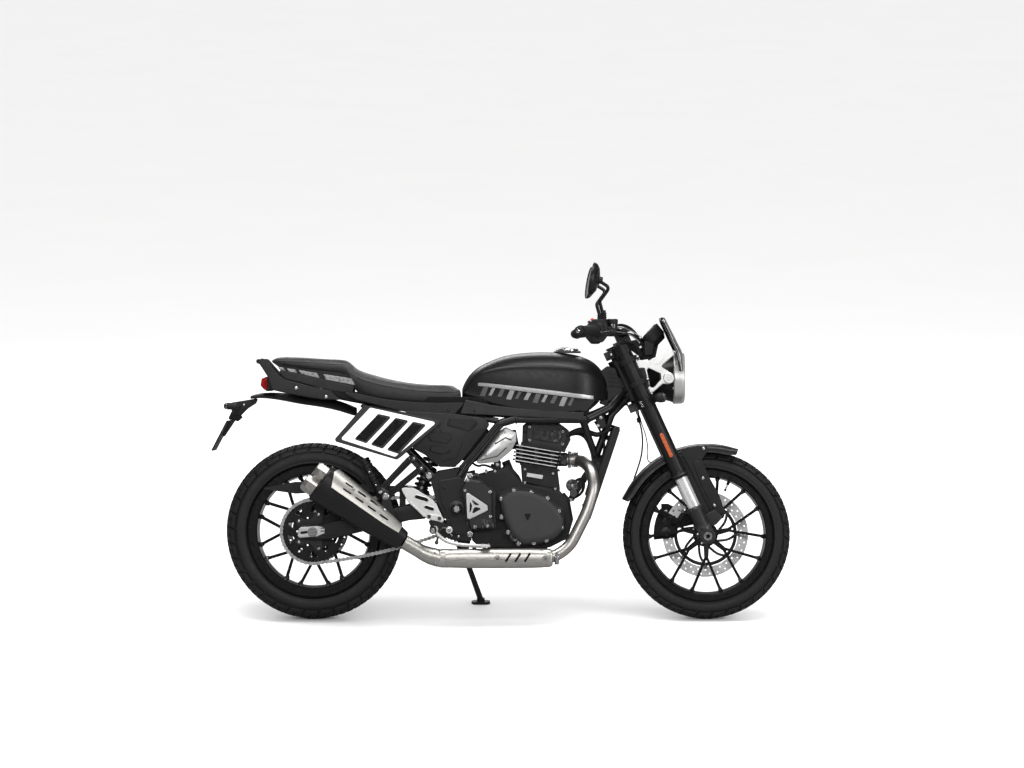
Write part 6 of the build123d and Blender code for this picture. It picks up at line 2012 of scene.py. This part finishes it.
dress("front_axle", plainSteel)
strip = [forkPoint(a, 0, t) for a, t in ((-8, 300), (8, 300), (8, 395), (-8, 395))]
glow = [forkPoint(a, 0, t) for a, t in ((-6.6, 302), (6.6, 302), (6.6, 393), (-6.6, 393))]
shapes = [(plate([(p.x, p.z) for p in strip], -127.2, -121, 1, 7), trimBlack),
    (plate([(p.x, p.z) for p in glow], -128.4, -126, 1, 6), front["reflector"])]
assemble("fork_reflectors", both(shapes), "fork")

dress("upper_yoke", barBlack)
dress("lower_yoke", barBlack)
dress("handlebar", barBlack)
shapes = []
for side in (-1, 1):
    for t in (506, 518):
        shapes += bolt(forkPoint(-18, side * 127, t), (0, side, 0), 5, "socket")
    shapes += bolt(forkPoint(-40, side * 90, 712), -forkAhead, 5, "socket")
    for ahead in (-20, 4):
        shapes += bolt((1080 + ahead, side * 42, 1013), upward, 4.4, "socket")
for side in (-1, 1):
    shapes += clad(coverBlack, plate([(1054, 1004), (1060, 1013), (1100, 1013), (1106, 1004)], side * 30,
        side * 54, 2, 3))
for route in (((1046, -180, 1016), (1074, -136, 1018), (1110, -96, 1004), (1146, -80, 982)),
        ((1050, -160, 1002), (1084, -128, 1000), (1116, -104, 984), (1136, -90, 964))):
    shapes += clad(satinAlloy, flowing(route, 2.2, 10))
assemble("yoke_bolts", shapes, "fork")

lamp = {"centre": (1160, 0, 842), "shell": satinBlack, "lens": clearLens, "bulbs": (26, -26)}
centre = Vector(lamp["centre"])
bowl = profileOf([(0, 0), (0, 18), (12, 44), (44, 71), (86, 83), (94, 86), (94, 80)], 8)
shapes = [(turned(bowl, centre, forward, 72), lamp["shell"]), (turned(profileOf([(93, 84), (94, 89),
    (98, 91), (124, 90), (133, 85), (134.5, 80), (131, 76), (110, 75), (100, 80)], 2.4, True), centre,
    forward, 84, wrap=True), front["ring"]), (turned([(58, 0), (60, 24), (72, 48), (92, 66), (112, 74),
    (124, 76)], centre, forward, 72), polished), (turned([(124, 78), (129, 76), (132.5, 52), (134.2, 26),
    (134.6, 0)], centre, forward, 72), lamp["lens"]), (box(centre + Vector((104, 0, 0)), (10, 118, 14),
    2), trimBlack)]
for z in lamp["bulbs"]:
    shapes += clad(darkSteel, turned([(84, 0), (86, 22), (112, 26), (116, 22), (116, 0)],
        centre + Vector((0, 0, z)), forward, 40))
for y in (-82, 82):
    shapes += bolt((1252, y, 806), (0, y / 82, -0.2), 4, "dome")
shapes += clad(hoseRubber, turned([(-8, 12), (0, 14), (6, 14), (8, 11), (8, 0)],
    centre + Vector((2, 0, -4)), (-1, 0, 0), 28))
assemble("head_lamp", shapes, "fork", ["headlamp"])

armSide = [(1114, 905), (1166, 903), (1246, 942), (1256, 923), (1208, 882), (1232, 868), (1250, 854),
    (1256, 840), (1250, 826), (1234, 820), (1216, 822), (1174, 786), (1158, 798), (1140, 850)]
window = [(1158, 880), (1207, 857), (1209, 838), (1181, 806), (1171, 812)]
pocket = [(1176, 893), (1236, 923), (1198, 888)]
shapes = []
for side in (-1, 1):
    shapes += clad(front["arm"], plate(armSide, side * 93, side * 102, 2.6, 6,
        [bent(flat(window), 6, True, 4)], fine=3), plate(pocket, side * 100.6, side * 102.4, 0.5, 3),
        stud([(-9, 14), (-9, 19), (5, 19), (7, 17), (7, 11), (4, 10.4), (4, 0)], (1236, side * 102, 842),
        44))
    shapes += bolt((1236, side * 105, 842), (0, side, 0), 6.6, "socket", front["arm"])
    for t in (575, 660):
        foot = forkPoint(0, side * legs, t)
        shapes += clad(trimBlack, turned([(0, 27.3), (0, 32), (2, 33), (16, 33), (18, 32), (18, 27.3)],
            foot, forkUp, 48, wrap=True), box(foot + forkAhead * 34 + forkUp * 9, (22, 16, 14), 2))
        shapes += bolt(foot + forkAhead * 38 + forkUp * 9 + Vector((0, side * 8, 0)), (0, side, 0), 4,
            "socket")
    clamp = [(1132, 878), (1152, 878), (1170, 812), (1150, 804)]
    shapes += clad(barBlack, plate(clamp, side * 99, side * 106, 2.4, 4))
    for k in range(4):
        shapes += clad(trimBlack, box((1141 + 6 * k, side * 107, 868 - 18 * k), (13, 2.4, 9), 1,
            Matrix.Rotation(0.4, 3, "Y")))
assemble("lamp_arms", shapes, "fork", ["headlamp_brackets"])

screen = {"rows": 26, "columns": 10, "lampHeight": 842, "lampRadius": 92.4,
    "line": ((1052, 1223), (1000, 1250), (933, 1284), (905, 1290), (866, 1296)),
    "half": ((1060, 76), (1040, 82), (980, 95), (900, 103), (866, 101)), "sweep": 0.0013}


def alongZ(stations, z):
    for a, b in zip(stations, stations[1:]):
        if z >= b[0]:
            t = min(1.0, max(0.0, (a[0] - z) / (a[0] - b[0])))
            return a[1] + (b[1] - a[1]) * t
    return stations[-1][1]


rows, columns, grid = screen["rows"], screen["columns"], []
for r in range(rows + 1):
    z = 1050 - 182 * r / rows
    inside = sqrt(max(0.0, screen["lampRadius"] ** 2
        - (z - screen["lampHeight"]) ** 2)) if z < 934.4 else 0.0
    outside = alongZ(screen["half"], z) - (10 * (1 - r / 2) ** 2 if r < 2 else 0)
    across = [inside + (outside - inside) * k / columns for k in range(columns + 1)]
    grid.append([Vector((alongZ(screen["line"], z) - screen["sweep"] * y * y - 2, y, z)) for y in across])
half = sheetOf(grid)
panel = joined([half, mirrorMesh(half)])
work = bmesh.new()
work.from_mesh(panel)
bmesh.ops.remove_doubles(work, verts=work.verts, dist=1e-6)
work.to_mesh(panel)
work.free()
edge = [row[-1] for row in grid]
topLine = grid[0]
rim = [Vector((p.x, -p.y, p.z)) for p in edge[::-1] + topLine[::-1][1:]]
rim += topLine[1:] + edge[1:]
shapes = clad(glossBlack, thickened(panel, 4.0, -1.0),
    loft(ringsAlong([p + Vector((-3.4, 0, -1)) for p in rim], 4.6, 12)))
shapes += clad(satinAlloy, loft(ringsAlong([p + Vector((1.2, 0, 0)) for p in rim], 1.7, 10)))
for side in (-1, 1):
    for z in (930, 884):
        x = alongZ(screen["line"], z) - screen["sweep"] * 96 * 96 - 2
        shapes += bolt((x + 1, side * (96 if z > 900 else 92), z), (0.95, side * 0.2, 0.2), 4.4, "dome")
    shapes += clad(satinAlloy, tube([(1248, side * 97, 934), (1262, side * 96, 932)], 4, sides=12))
assemble("fly_screen", shapes, "fork", ["flyscreen"], smooth=40)

dial = {"face": (1164, 0, 1002), "radius": 46.0}
out = Vector((-sin(radians(45)), 0, cos(radians(45))))
face = Vector(dial["face"])
shapes = [(turned(profileOf([(-58, 0), (-58, 30), (-40, 43), (-6, dial["radius"]), (0, 45), (0, 0)], 5),
    face, out, 60), trimBlack), (turned([(-1.2, 41), (0.6, 43), (1.4, 42.4), (1.4, 40), (-0.6, 39),
    (-1.2, 39)], face, out, 60, wrap=True), satinAlloy), (turned([(-0.9, 39.4), (-0.4, 39.2), (-0.2, 0)],
    face, out, 60), dialFace)]
shapes += clad(trimBlack, plate([(1128, 977), (1180, 985), (1204, 965), (1192, 912), (1150, 905),
    (1126, 925), (1092, 952), (1086, 968)], -26, 26, 3, 6), plate([(1150, 972), (1190, 968), (1184, 920),
    (1152, 916)], -40, 40, 5, 8))
up = Vector((cos(radians(45)), 0, sin(radians(45))))
turn = Matrix.Rotation(radians(-45), 3, "Y")
shapes += clad(displayGlass, box(face + out * 0.1 + up * 2, (44, 52, 1.0), 0.3, turn))
for y in (-30, 30):
    shapes += bolt((1140, y, 950), (0, y / 30, 0), 4.4, "socket")
shapes += clad(hoseRubber, flowing([(1186, -8, 945), (1172, -24, 900), (1150, -30, 880),
    (1166, -20, 862)], 5, 12), flowing([(1186, 10, 940), (1176, 22, 902), (1152, 26, 876),
    (1168, 14, 852)], 4, 12))
assemble("dial_pod", shapes, "fork", ["instrument_cluster"])
print("fork, lamp and screen made")

guard = {"from": 70.0, "to": 157.0, "steps": 44, "section": ((0, 316.6), (22, 316.4), (42, 315.2),
    (55, 312.4), (62.5, 306.5), (66, 298), (67, 289.5))}
hub = Vector((axleX, 0, axleZ))
rings = []
for k in range(guard["steps"] + 1):
    a = radians(guard["from"] + (guard["to"] - guard["from"]) * k / guard["steps"])
    ends = min(k, guard["steps"] - k) / 3
    ring = []
    for y, r in guard["section"][::-1] + tuple((-y, r) for y, r in guard["section"][1:]):
        if ends < 1 and abs(y) > 30:
            r += (1 - ends) * 8 * (abs(y) - 30) / 37
        ring.append(hub + Vector((r * cos(a), -y, r * sin(a))))
    rings.append(ring)
shapes = [(thickened(subdivided(sheetOf(rings), 1), 3.0, 1.0), satinBlack)]
stay = [(1276, 584), (1300, 600), (1366, 606), (1378, 594), (1352, 556), (1380, 494), (1413, 434),
    (1434, 372), (1428, 354), (1402, 346), (1384, 378), (1362, 420), (1308, 532), (1294, 558)]
innerStay = [(1262, 572), (1300, 572), (1324, 540), (1384, 420), (1402, 372), (1392, 344), (1368, 350),
    (1336, 404), (1288, 500)]
rib = [(1320, 552), (1345, 552), (1375, 494), (1407, 434), (1427, 372), (1404, 360), (1372, 424),
    (1341, 490)]
for side in (-1, 1):
    shapes += [(plate(stay, side * 66.5, side * 71.7, 1.6, 7, fine=3), satinBlack),
        (plate(innerStay, side * 64.5, side * 67, 1, 6), trimBlack),
        (plate(rib, side * 71, side * 75, 1.8, 6), satinBlack)]
    for x, z in ((1358, 596), (1356, 493), (1396, 398)):
        shapes += bolt((x, side * (75 if z < 560 else 71), z), (0, side, 0), 6.4, "dome")
    shapes += bolt((1402, side * 71, 342), (0, side, 0), 5, "socket")
assemble("front_guard", shapes, "fork", ["front_mudguard"])

dress("front_caliper", barBlack)
shapes = []
for a in (160, 176):
    place = Vector((axleX + 142 * cos(radians(a)), 46, axleZ + 142 * sin(radians(a))))
    shapes += clad(coverBlack, turned([(0, 17), (3, 16), (4.5, 13), (4.5, 0)], place, toRight, 30),
        turned([(0, 17), (3, 16), (4.5, 13), (4.5, 0)], place + Vector((0, 27, 0)), toLeft, 30))
for x, z in ((1232, 372), (1230, 320)):
    shapes += bolt((x, 81, z), toLeft, 6.4)
    shapes += bolt((x, 73, z), toRight, 5)
assemble("caliper_bolts", shapes, "fork")

shapes = []
for side in (-1, 1):
    base = forkPoint(43.4, side * 104, 509)
    shapes += clad(trimBlack, turned([(0, 9), (4, 9), (8, 6.4), (40, 6), (46, 9)], base, (0.17, side, 0),
        20))
    start = base + Vector((-14, side * 46, 0))
    shapes += [(turned(profileOf([(0, 0), (1, 9), (8, 15), (16, 17), (30, 17), (31, 15), (31, 0)], 2),
        start, forward, 40), trimBlack),
        (turned(profileOf([(30, 16), (35, 16), (38.5, 12), (40, 5), (40, 0)], 2), start, forward, 40),
        front["indicator"])]
assemble("front_signals", shapes, "fork", ["front_indicators"])

hose = {"radius": 3.0, "finish": hoseRubber, "route": [tuple(forkPoint(-38, 44, 495.8)), (1136, 51, 698),
    (1148, 61, 656), (1151, 69, 610), (1146, 75, 564), (1132, 79, 519), (1116, 81, 474), (1114, 80, 430),
    (1134, 76, 398), (1170, 69, 383), (1205, 61, 372)]}
shapes = [(flowing(hose["route"], hose["radius"], 14, 3), hose["finish"])]
# thin sensor wire beside the hose, with its clip on the fork tube
wire = [tuple(forkPoint(-36, 30, 494)), (1143, 44, 690), (1162, 54, 640), (1170, 62, 590),
    (1166, 70, 540), tuple(forkPoint(-30, 84, 300)), tuple(forkPoint(-31, 84, 250))]
shapes += [(flowing(wire, 2.0, 10), hose["finish"]),
    (turned(profileOf([(-8, 2.6), (-8, 8), (8, 8), (8, 2.6)], 2, True), (1137, 52, 694), (0.2, 0.2, -1),
    24, wrap=True), trimBlack)]
first, last = Vector(hose["route"][0]), Vector(hose["route"][-1])
shapes += clad(zincBolt, turned([(-1, 6), (12, 6), (14, 4), (14, 3)], first,
    (Vector(hose["route"][1]) - first), 18), turned([(0, 6), (12, 6), (14, 4), (14, 3)], last,
    Vector(hose["route"][-2]) - last, 18))
assemble("brake_line", shapes, "fork", ["brake_hose"])
print("front guard, signals and hose made")


foot = {"guard": castAlloy, "pedal": castAlloy, "pegRibs": 9, "foldRibs": 8, "hanger": frameBlack,
    "rubber": gripRubber, "guardSide": ((303, 461), (316, 466), (352, 463), (418, 422), (432, 404),
    (459, 346), (454, 338), (402, 350), (390, 358), (330, 410))}
slots = [slotOutline(378, 425, 50, 15, -18), slotOutline(404, 391, 36, 14, -18)]
shapes = [(stepped(scaled(foot["guardSide"], 0.96), ((150, 1.0), (155.5, 1.0), (157.5, 0.985),
    (158, 0.96)), corner=9), foot["guard"])]
# the slots are painted shade inside a rim
for slot in slots:
    shapes += [(plate(scaled(slot, 0.98), -158.6, -157.4, 0.3), shadeAndSeamBlack),
        (loft(ringsAlong(flat(slot, -158.2) + [flat(slot, -158.2)[0]], 1.5, 8)), foot["guard"])]
shapes += clad(foot["guard"], plate([(404, 372), (396, 360), (404, 352), (452, 342), (456, 350),
    (448, 366)], -160.4, -157, 1.4, 5), plate([(334, 411), (342, 414), (392, 366), (386, 360)], -159.8,
    -157, 1.2, 2))
shapes += clad(foot["hanger"], plate([(398, 352), (458, 340), (478, 302), (462, 285), (436, 300),
    (408, 330)], -156, -148, 2.4, 8))
shapes += bolts(((404, 363), (440, 356)), -160, 6.4, "socket", darkSteel)
for x, z in ((473, 292), (449, 330)):
    shapes += clad(foot["hanger"], rod((x, -119, z), (x, -151, z), 8, 22))
shapes += bolts(((478, 296), (498, 270)), -124, 5)
shapes += clad(foot["hanger"], plate([(341, 571), (386, 527), (376, 515), (262, 420), (222, 440),
    (224, 456), (326, 566)], -126, -121, 1.2, 6,
    [bent(flat([(338, 550), (360, 527), (262, 440), (246, 448)]), 4, True, 3)]))
for (x1, z1), (x2, z2) in (((344, 560), (236, 452)), ((372, 530), (250, 430))):
    for shift in (-4, 4):
        a, b = Vector((x1, -126, z1)), Vector((x2, -126, z2))
        out = Vector((b.z - a.z, 0, a.x - b.x)).normalized() * shift
        shapes += clad(foot["hanger"], tube([a + out, b + out], 3.2, sides=12))
for x, z in ((350, 562), (376, 528)):
    shapes += clad(foot["hanger"], stud([(0, 13), (5, 13), (7, 11), (7, 0)], (x, -126, z), 28))
    shapes += bolt((x, -131, z), toRight, 6, "dome")
    shapes += clad(foot["hanger"], rod((x, -101, z), (x, -122, z), 7, 20))
shapes += clad(foot["hanger"], stud([(0, 22), (4, 22), (6, 19), (6, 0)], (240, -125, 440), 32),
    plate([(455, 302), (472, 302), (480, 350), (462, 352)], -126, -121, 1.5, 4))
assemble("footrest_plates", both(shapes), "chassis", ["footrest_brackets"])

shapes = []
peg = [(-2, 11), (0, 12.5), (10, 12.5), (12, 10), (14, 10)]
for k in range(foot["pegRibs"]):
    peg += [(15 + 6 * k, 10), (16 + 6 * k, 12), (19.4 + 6 * k, 12), (20.4 + 6 * k, 10)]
peg += [(71, 11), (73, 9), (73, 0)]
shapes += clad(foot["rubber"], stud(peg, (418, -158.5, 316), 28))
for k in range(7):
    shapes += clad(foot["rubber"], box((418, -176 - 8 * k, 327), (21, 4.4, 5), 1))
shapes += [(box((418, -200, 323.5), (22, 62, 5), 1.4), darkSteel),
    (rod((418, -229, 316), (418, -234, 316), 8, 24), zincBolt)]
start, end = Vector((234, -139, 440)), Vector((175, -139, 558))
along = (end - start).normalized()
length = (end - start).length
fold = [(0, 0), (0, 8), (8, 11.4), (22, 11.4), (24, 9)]
for k in range(foot["foldRibs"]):
    fold += [(26 + 12.5 * k, 9), (27.5 + 12.5 * k, 11.6), (35 + 12.5 * k, 11.6), (36.5 + 12.5 * k, 9)]
fold += [(length - 5, 11.6), (length + 1, 10), (length + 3, 6), (length + 3, 0)]
shapes += clad(foot["rubber"], turned(fold, start, along, 28))
for t in (34, 84):
    shapes += bolt(start + along * t + Vector((0, -10, 0)), toRight, 4, "dome")
shapes += clad(darkSteel, rod((234, -127.4, 446), (234, -146, 446), 8, 22))
shapes += bolt((234, -145, 446), toRight, 6)
assemble("foot_pegs", both(shapes), "chassis", ["footrests"])

shapes = clad(foot["pedal"], flowing([(422, -168, 316), (434, -168, 300), (452, -169, 282),
    (486, -171, 268), (540, -177, 262), (600, -196, 261)], 6.8, 14, 4),
    stud([(-6, 12), (8, 12), (10, 10), (10, 0)], (424, -166, 318), 30),
    stud([(-6, 12), (8, 12), (10, 10), (10, 0)], (474, -166, 316), 30))
shapes += [(rod((474, -126, 316), (474, -166, 316), 8, 22), darkSteel),
    (plate([(582, 268), (616, 266), (616, 258), (584, 256)], -206, -178, 1.6, 3), foot["pedal"])]
shapes += clad(darkSteel, flowing([(474, -162, 314), (452, -160, 330), (436, -158, 300),
    (430, -158, 272)], 4, 12), rod((430, -150, 272), (430, -164, 272), 7, 20))
for k in range(4):
    shapes += clad(foot["pedal"], box((588 + 7.5 * k, -192, 268.5), (3, 25, 2.4), 0.5))
shapes += bolt((474, -175, 316), toRight, 6)
shapes += bolt((506, -176, 294), toRight, 4.4, "dome")
gear = [(474, 168, 316), (500, 170, 310), (530, 172, 300), (574, 174, 296), (606, 176, 291)]
shapes += [(flowing(gear, 5.6, 14, 4), foot["pedal"]), (rod((608, 174, 290), (612, 204, 290), 7.6, 22),
    foot["rubber"]), (stud([(-6, 10), (8, 10), (10, 8), (10, 0)], (474, 166, 316), 28), foot["pedal"]),
    (rod((474, 126, 316), (474, 166, 316), 7, 20), darkSteel),
    (tube([(476, 160, 326), (560, 158, 380)], 3.2, sides=12), zincBolt)]
assemble("foot_levers", shapes, "chassis", ["foot_controls"])
print("footrests and pedals made")

# grips, levers and mirrors
hand = {"grip": gripRubber, "pod": trimBlack, "lever": satinBlack, "glass": mirrorGlass, "ribs": 15,
    "barFrom": (1035, 165, 1012), "barEnd": (923, 408, 1002), "weight": darkSteel, "lead": 3.0,
    "mirror": (972, 44, 1181), "tilt": 10.0, "collars": 4}
gripShapes, controlShapes, mirrorShapes = [], [], []
for side in (-1, 1):
    flip = Vector((1, side, 1))
    end, inner = Vector(hand["barEnd"]) * flip, Vector(hand["barFrom"]) * flip
    along = (inner - end).normalized()
    ribs = [(2, 11.5), (2, 18.6), (7, 18.6), (9, 16)]
    for k in range(hand["ribs"]):
        at = 12 + 6.9 * k
        ribs += [(at, 15.6), (at + 1.4, 16.6), (at + 4.6, 16.6), (at + 6, 15.6)]
    ribs += [(118, 16), (120, 19.5), (125, 19.5), (125, 11.5)]
    gripShapes += [(turned(ribs, end, along, 36), hand["grip"]),
        (turned(profileOf([(-20, 0), (-20, 12.5), (-16, 15.4), (-4, 15.4), (-1, 14), (-1, 0)], 2), end,
        along, 36), hand["pod"]), (turned([(-22.5, 0), (-22.5, 5.6), (-21.6, 7), (-19, 7), (-19, 0)], end,
        along, 24), polished)]
    mid = end + along * 191
    controlShapes += clad(hand["pod"], turned(profileOf([(129, 11.5), (129, 22), (135, 27), (172, 27),
        (177, 23), (177, 11.5)], 3), end, along, 40), turned(profileOf([(176, 11.5), (176, 17),
        (181, 19.4), (203, 19.4), (209, 16), (209, 11.5)], 2), end, along, 36))
    podMiddle = end + along * 153
    controlShapes += [(turned([(132, 27.6), (133, 28.2), (134, 27.6)], end, along, 40, wrap=True),
        hand["weight"]), (plate([(podMiddle.x + a, podMiddle.z + b) for a, b in ((-33, 18), (-18, 36),
        (18, 36), (32, 18), (32, -22), (16, -44), (-14, -44), (-33, -22))], podMiddle.y - 17, podMiddle.y
        + 17, 5, 14, fine=3), hand["pod"])]
    controlShapes.append((box(podMiddle + Vector((-20, 0, 34)), (14, 18, 10), 3), redButton if side < 0
        else hand["pod"]))
    controlShapes += [(box(podMiddle + Vector((-34, -side * 4, 2)), (6, 12, 8), 1.6), hand["weight"]),
        (box(podMiddle + Vector((-34, side * 6, -12)), (6, 10, 7), 1.6), hand["pod"])]
    pivot = mid + Vector((36, 0, -4))
    controlShapes += [(plate([(mid.x + 4, mid.z + 12), (pivot.x + 4, pivot.z + 10),
        (pivot.x + 14, pivot.z + 2), (pivot.x + 6, pivot.z - 10), (mid.x + 6, mid.z - 14)], mid.y - 12,
        mid.y + 12, 3, 5), hand["pod"]), (rod(pivot + Vector((0, 0, -12)), pivot + Vector((0, 0, 9)), 7,
        22), hand["weight"])]
    controlShapes += bolt(pivot + Vector((0, 0, 9)), upward, 4.4)
    tip = end + along * 6 + Vector((72, 0, -10))
    knee = end + along * 105 + Vector((62, 0, -8))
    controlShapes += clad(hand["lever"], loft(ringsAlong([pivot, pivot.lerp(knee, 0.45)
        + Vector((6, 0, 0)), knee + Vector((4, 0, 0)), knee.lerp(tip, 0.35) + Vector((3, 0, 0)),
        knee.lerp(tip, 0.72), tip], 6.6, 16)))
    ball = [(-8.4 * cos(radians(15 * k)), 8.4 * sin(radians(15 * k))) for k in range(13)]
    controlShapes += clad(hand["lever"], turned(ball, tip, toLeft, 24))
    if side < 0:
        pot = mid + Vector((33, 24, -2))
        controlShapes += [(turned(profileOf([(0, 0), (0, 17), (4, 19), (25, 19.6), (25, 20.4), (36, 20.4),
            (38, 18), (38, 0)], 1), pot, upward, 44), hand["pod"]),
            (turned([(4, 19.3), (5, 19.9), (20, 19.9), (21, 19.3)], pot, upward, 44, wrap=True),
            glossBlack), (tube([pot + Vector((0, 2, 0)), pot + Vector((-8, -6, -10)),
            mid + Vector((10, 4, -6))], 8, sides=14), hand["pod"])]
        for y in (-10, 10):
            controlShapes += bolt(pot + Vector((y, 0, 38)), upward, 2.6, "dome")
    base = end + along * 192 + Vector((2, 0, 20))
    y = base.y
    route = [Vector((base.x, y, base.z + 26)), Vector((992, y + side * 14, 1105)),
        Vector((1026, y + side * 34, 1152)), Vector((988, y + side * 44, 1176))]
    mirrorShapes += [(tube(route, 6, 14, 18, 6), hand["lever"]), (turned(profileOf([(-3, 0), (-3, 13),
        (6, 13.5), (10, 11.5), (34, 9.6), (46, 8), (46, 6)], 2), base, upward, 32), hand["grip"])]
    for k in range(hand["collars"]):
        mirrorShapes += clad(hand["grip"], turned([(12 + 7 * k, 10.4), (14 + 7 * k, 12.4),
            (16 + 7 * k, 10.2)], base, upward, 28, wrap=True))
    x, aside, z = hand["mirror"]
    centre = Vector((x, y + side * aside, z))
    tilt = radians(hand["tilt"])
    out = Vector((-cos(tilt), -side * 0.12, sin(tilt))).normalized()
    shell = profileOf([(-17.5, 0), (-17.5, 22), (-13, 40), (-5, 52.2), (2, 56.5), (8, 57.5), (8, 54.6),
        (5.4, 54)], 3)
    mirrorShapes += [(turned(shell, centre, out, 72), satinBlack),
        (turned([(6.4, 54.4), (6.9, 52), (6.9, 0)], centre, out, 72), hand["glass"]),
        (turned([(5, 56.6), (8.4, 57.5), (9, 56.2), (8.4, 54.4), (6, 54.2)], centre, out, 72, wrap=True),
        hand["pod"]), (turned([(-30, 9), (-28, 12), (-19, 13), (-15, 17), (-15, 0)], centre, out, 28),
        hand["lever"])]
assemble("bar_grips", gripShapes, "fork", ["grips"])
assemble("bar_controls", controlShapes, "fork", ["hand_controls"])
assemble("round_mirrors", mirrorShapes, "fork", ["mirrors"])

cables = []
for side in (-1, 1):
    cables += clad(hoseRubber, flowing([(1010, side * 222, 994), (1060, side * 170, 990),
        (1110, side * 96, 1000), (1150, side * 52, 960), (1150, side * 30, 905), (1128, side * 24, 850)],
        hand["lead"], 10), flowing([(1004, side * 214, 1000), (1048, side * 160, 1030),
        (1100, side * 84, 1024), (1140, side * 40, 980), (1146, side * 18, 920), (1130, side * 16, 860)],
        hand["lead"], 10))
cables += clad(hoseRubber, flowing([(1040, -206, 992), (1082, -150, 968), (1120, -84, 960),
    (1134, -46, 900), (1126, -38, 820), (1130, -36, 760)], 3.4, 12))
assemble("bar_cables", cables, "fork")
print("controls and mirrors made")


studio = {"lens": 140.6, "distance": 14.0, "target": (691.0, 0.0, 821.0), "floor": (0.88, 0.88, 0.878),
    "world": (1.0, 1.0, 1.0), "worldLight": 1.05, "worldShine": 0.12, "floorReflectionShade": 0.25,
    "lights": (("top_softbox", (0.1, -0.6, 4.2), (0, 0, 0.5), (4.5, 1.6), 170),
    ("side_softbox", (-0.2, -4.6, 2.45), (0, 0, 0.6), (4.6, 0.9), 82), ("front_softbox", (3.4, -2.6, 1.7),
    (0.4, 0, 0.6), (1.2, 1.8), 45), ("back_softbox", (-0.4, 4.6, 2.6), (0, 0, 0.6), (3.4, 1.2), 70))}


def areaLight(name, place, aim, size, power):
    lamp = bpy.data.lights.new(name, "AREA")
    lamp.shape, lamp.energy = "RECTANGLE", power
    lamp.size, lamp.size_y = size
    holder = placed(name, lamp)
    holder.location = place
    holder.rotation_euler = (Vector(aim) - Vector(place)).to_track_quat("-Z", "Y").to_euler()
    return holder


def buildStudio():
    camera = bpy.data.cameras.new("camera")
    camera.lens, camera.sensor_width, camera.clip_end = studio["lens"], 36, 400
    eye = placed("camera", camera)
    target = Vector(studio["target"]) / 1000
    place = target + Vector((0, -studio["distance"], 0))
    eye.matrix_world = park @ Matrix.Translation(place) @ Matrix.Rotation(pi / 2, 4, "X")
    bpy.context.scene.camera = eye
    # pale paper floor, with the faintest unevenness, painted darker where glossy surfaces reflect it: painted
    # shade in those reflections
    finish, tree, shader = newFinish("paper_floor")
    paper = ramp(tree, noise(tree, 1.5, 3), [(0.3, shade(studio["floor"], 0.985)),
        (0.7, studio["floor"])])
    glossy = add(tree, "LightPath").outputs["Is Glossy Ray"]
    tree.links.new(mix(tree, glossy, paper, shade(studio["floor"], studio["floorReflectionShade"])),
        shader.inputs["Base Color"])
    fill(shader, {"Roughness": 0.9, "Specular IOR Level": 0.1})
    bump(tree, shader, noise(tree, 400, 2), 0.02)
    reach = 160000
    floor = placed("studio_floor", meshOf([(-reach, -reach, 0), (reach, -reach, 0), (reach, reach, 0),
        (-reach, reach, 0)], [(0, 1, 2, 3)]))
    floor.data.materials.append(finish)
    floor.location.z = cadBox[0][2]
    world = bpy.data.worlds.new("studio_world")
    world.use_nodes = True
    sky = world.node_tree.nodes["Background"]
    sky.inputs["Color"].default_value = (*studio["world"], 1)
    # glossy surfaces see a dimmer room than the floor does, as between black studio flags
    seen = add(world.node_tree, "LightPath").outputs["Is Glossy Ray"]
    light = mix(world.node_tree, seen, studio["worldLight"], studio["worldShine"], "FLOAT")
    world.node_tree.links.new(light, sky.inputs["Strength"])
    bpy.context.scene.world = world
    for name, place, aim, size, power in studio["lights"]:
        areaLight(name, place, aim, size, power)
    view = bpy.context.scene.view_settings
    view.view_transform, view.look, view.exposure = "Standard", "None", 0.0


buildStudio()
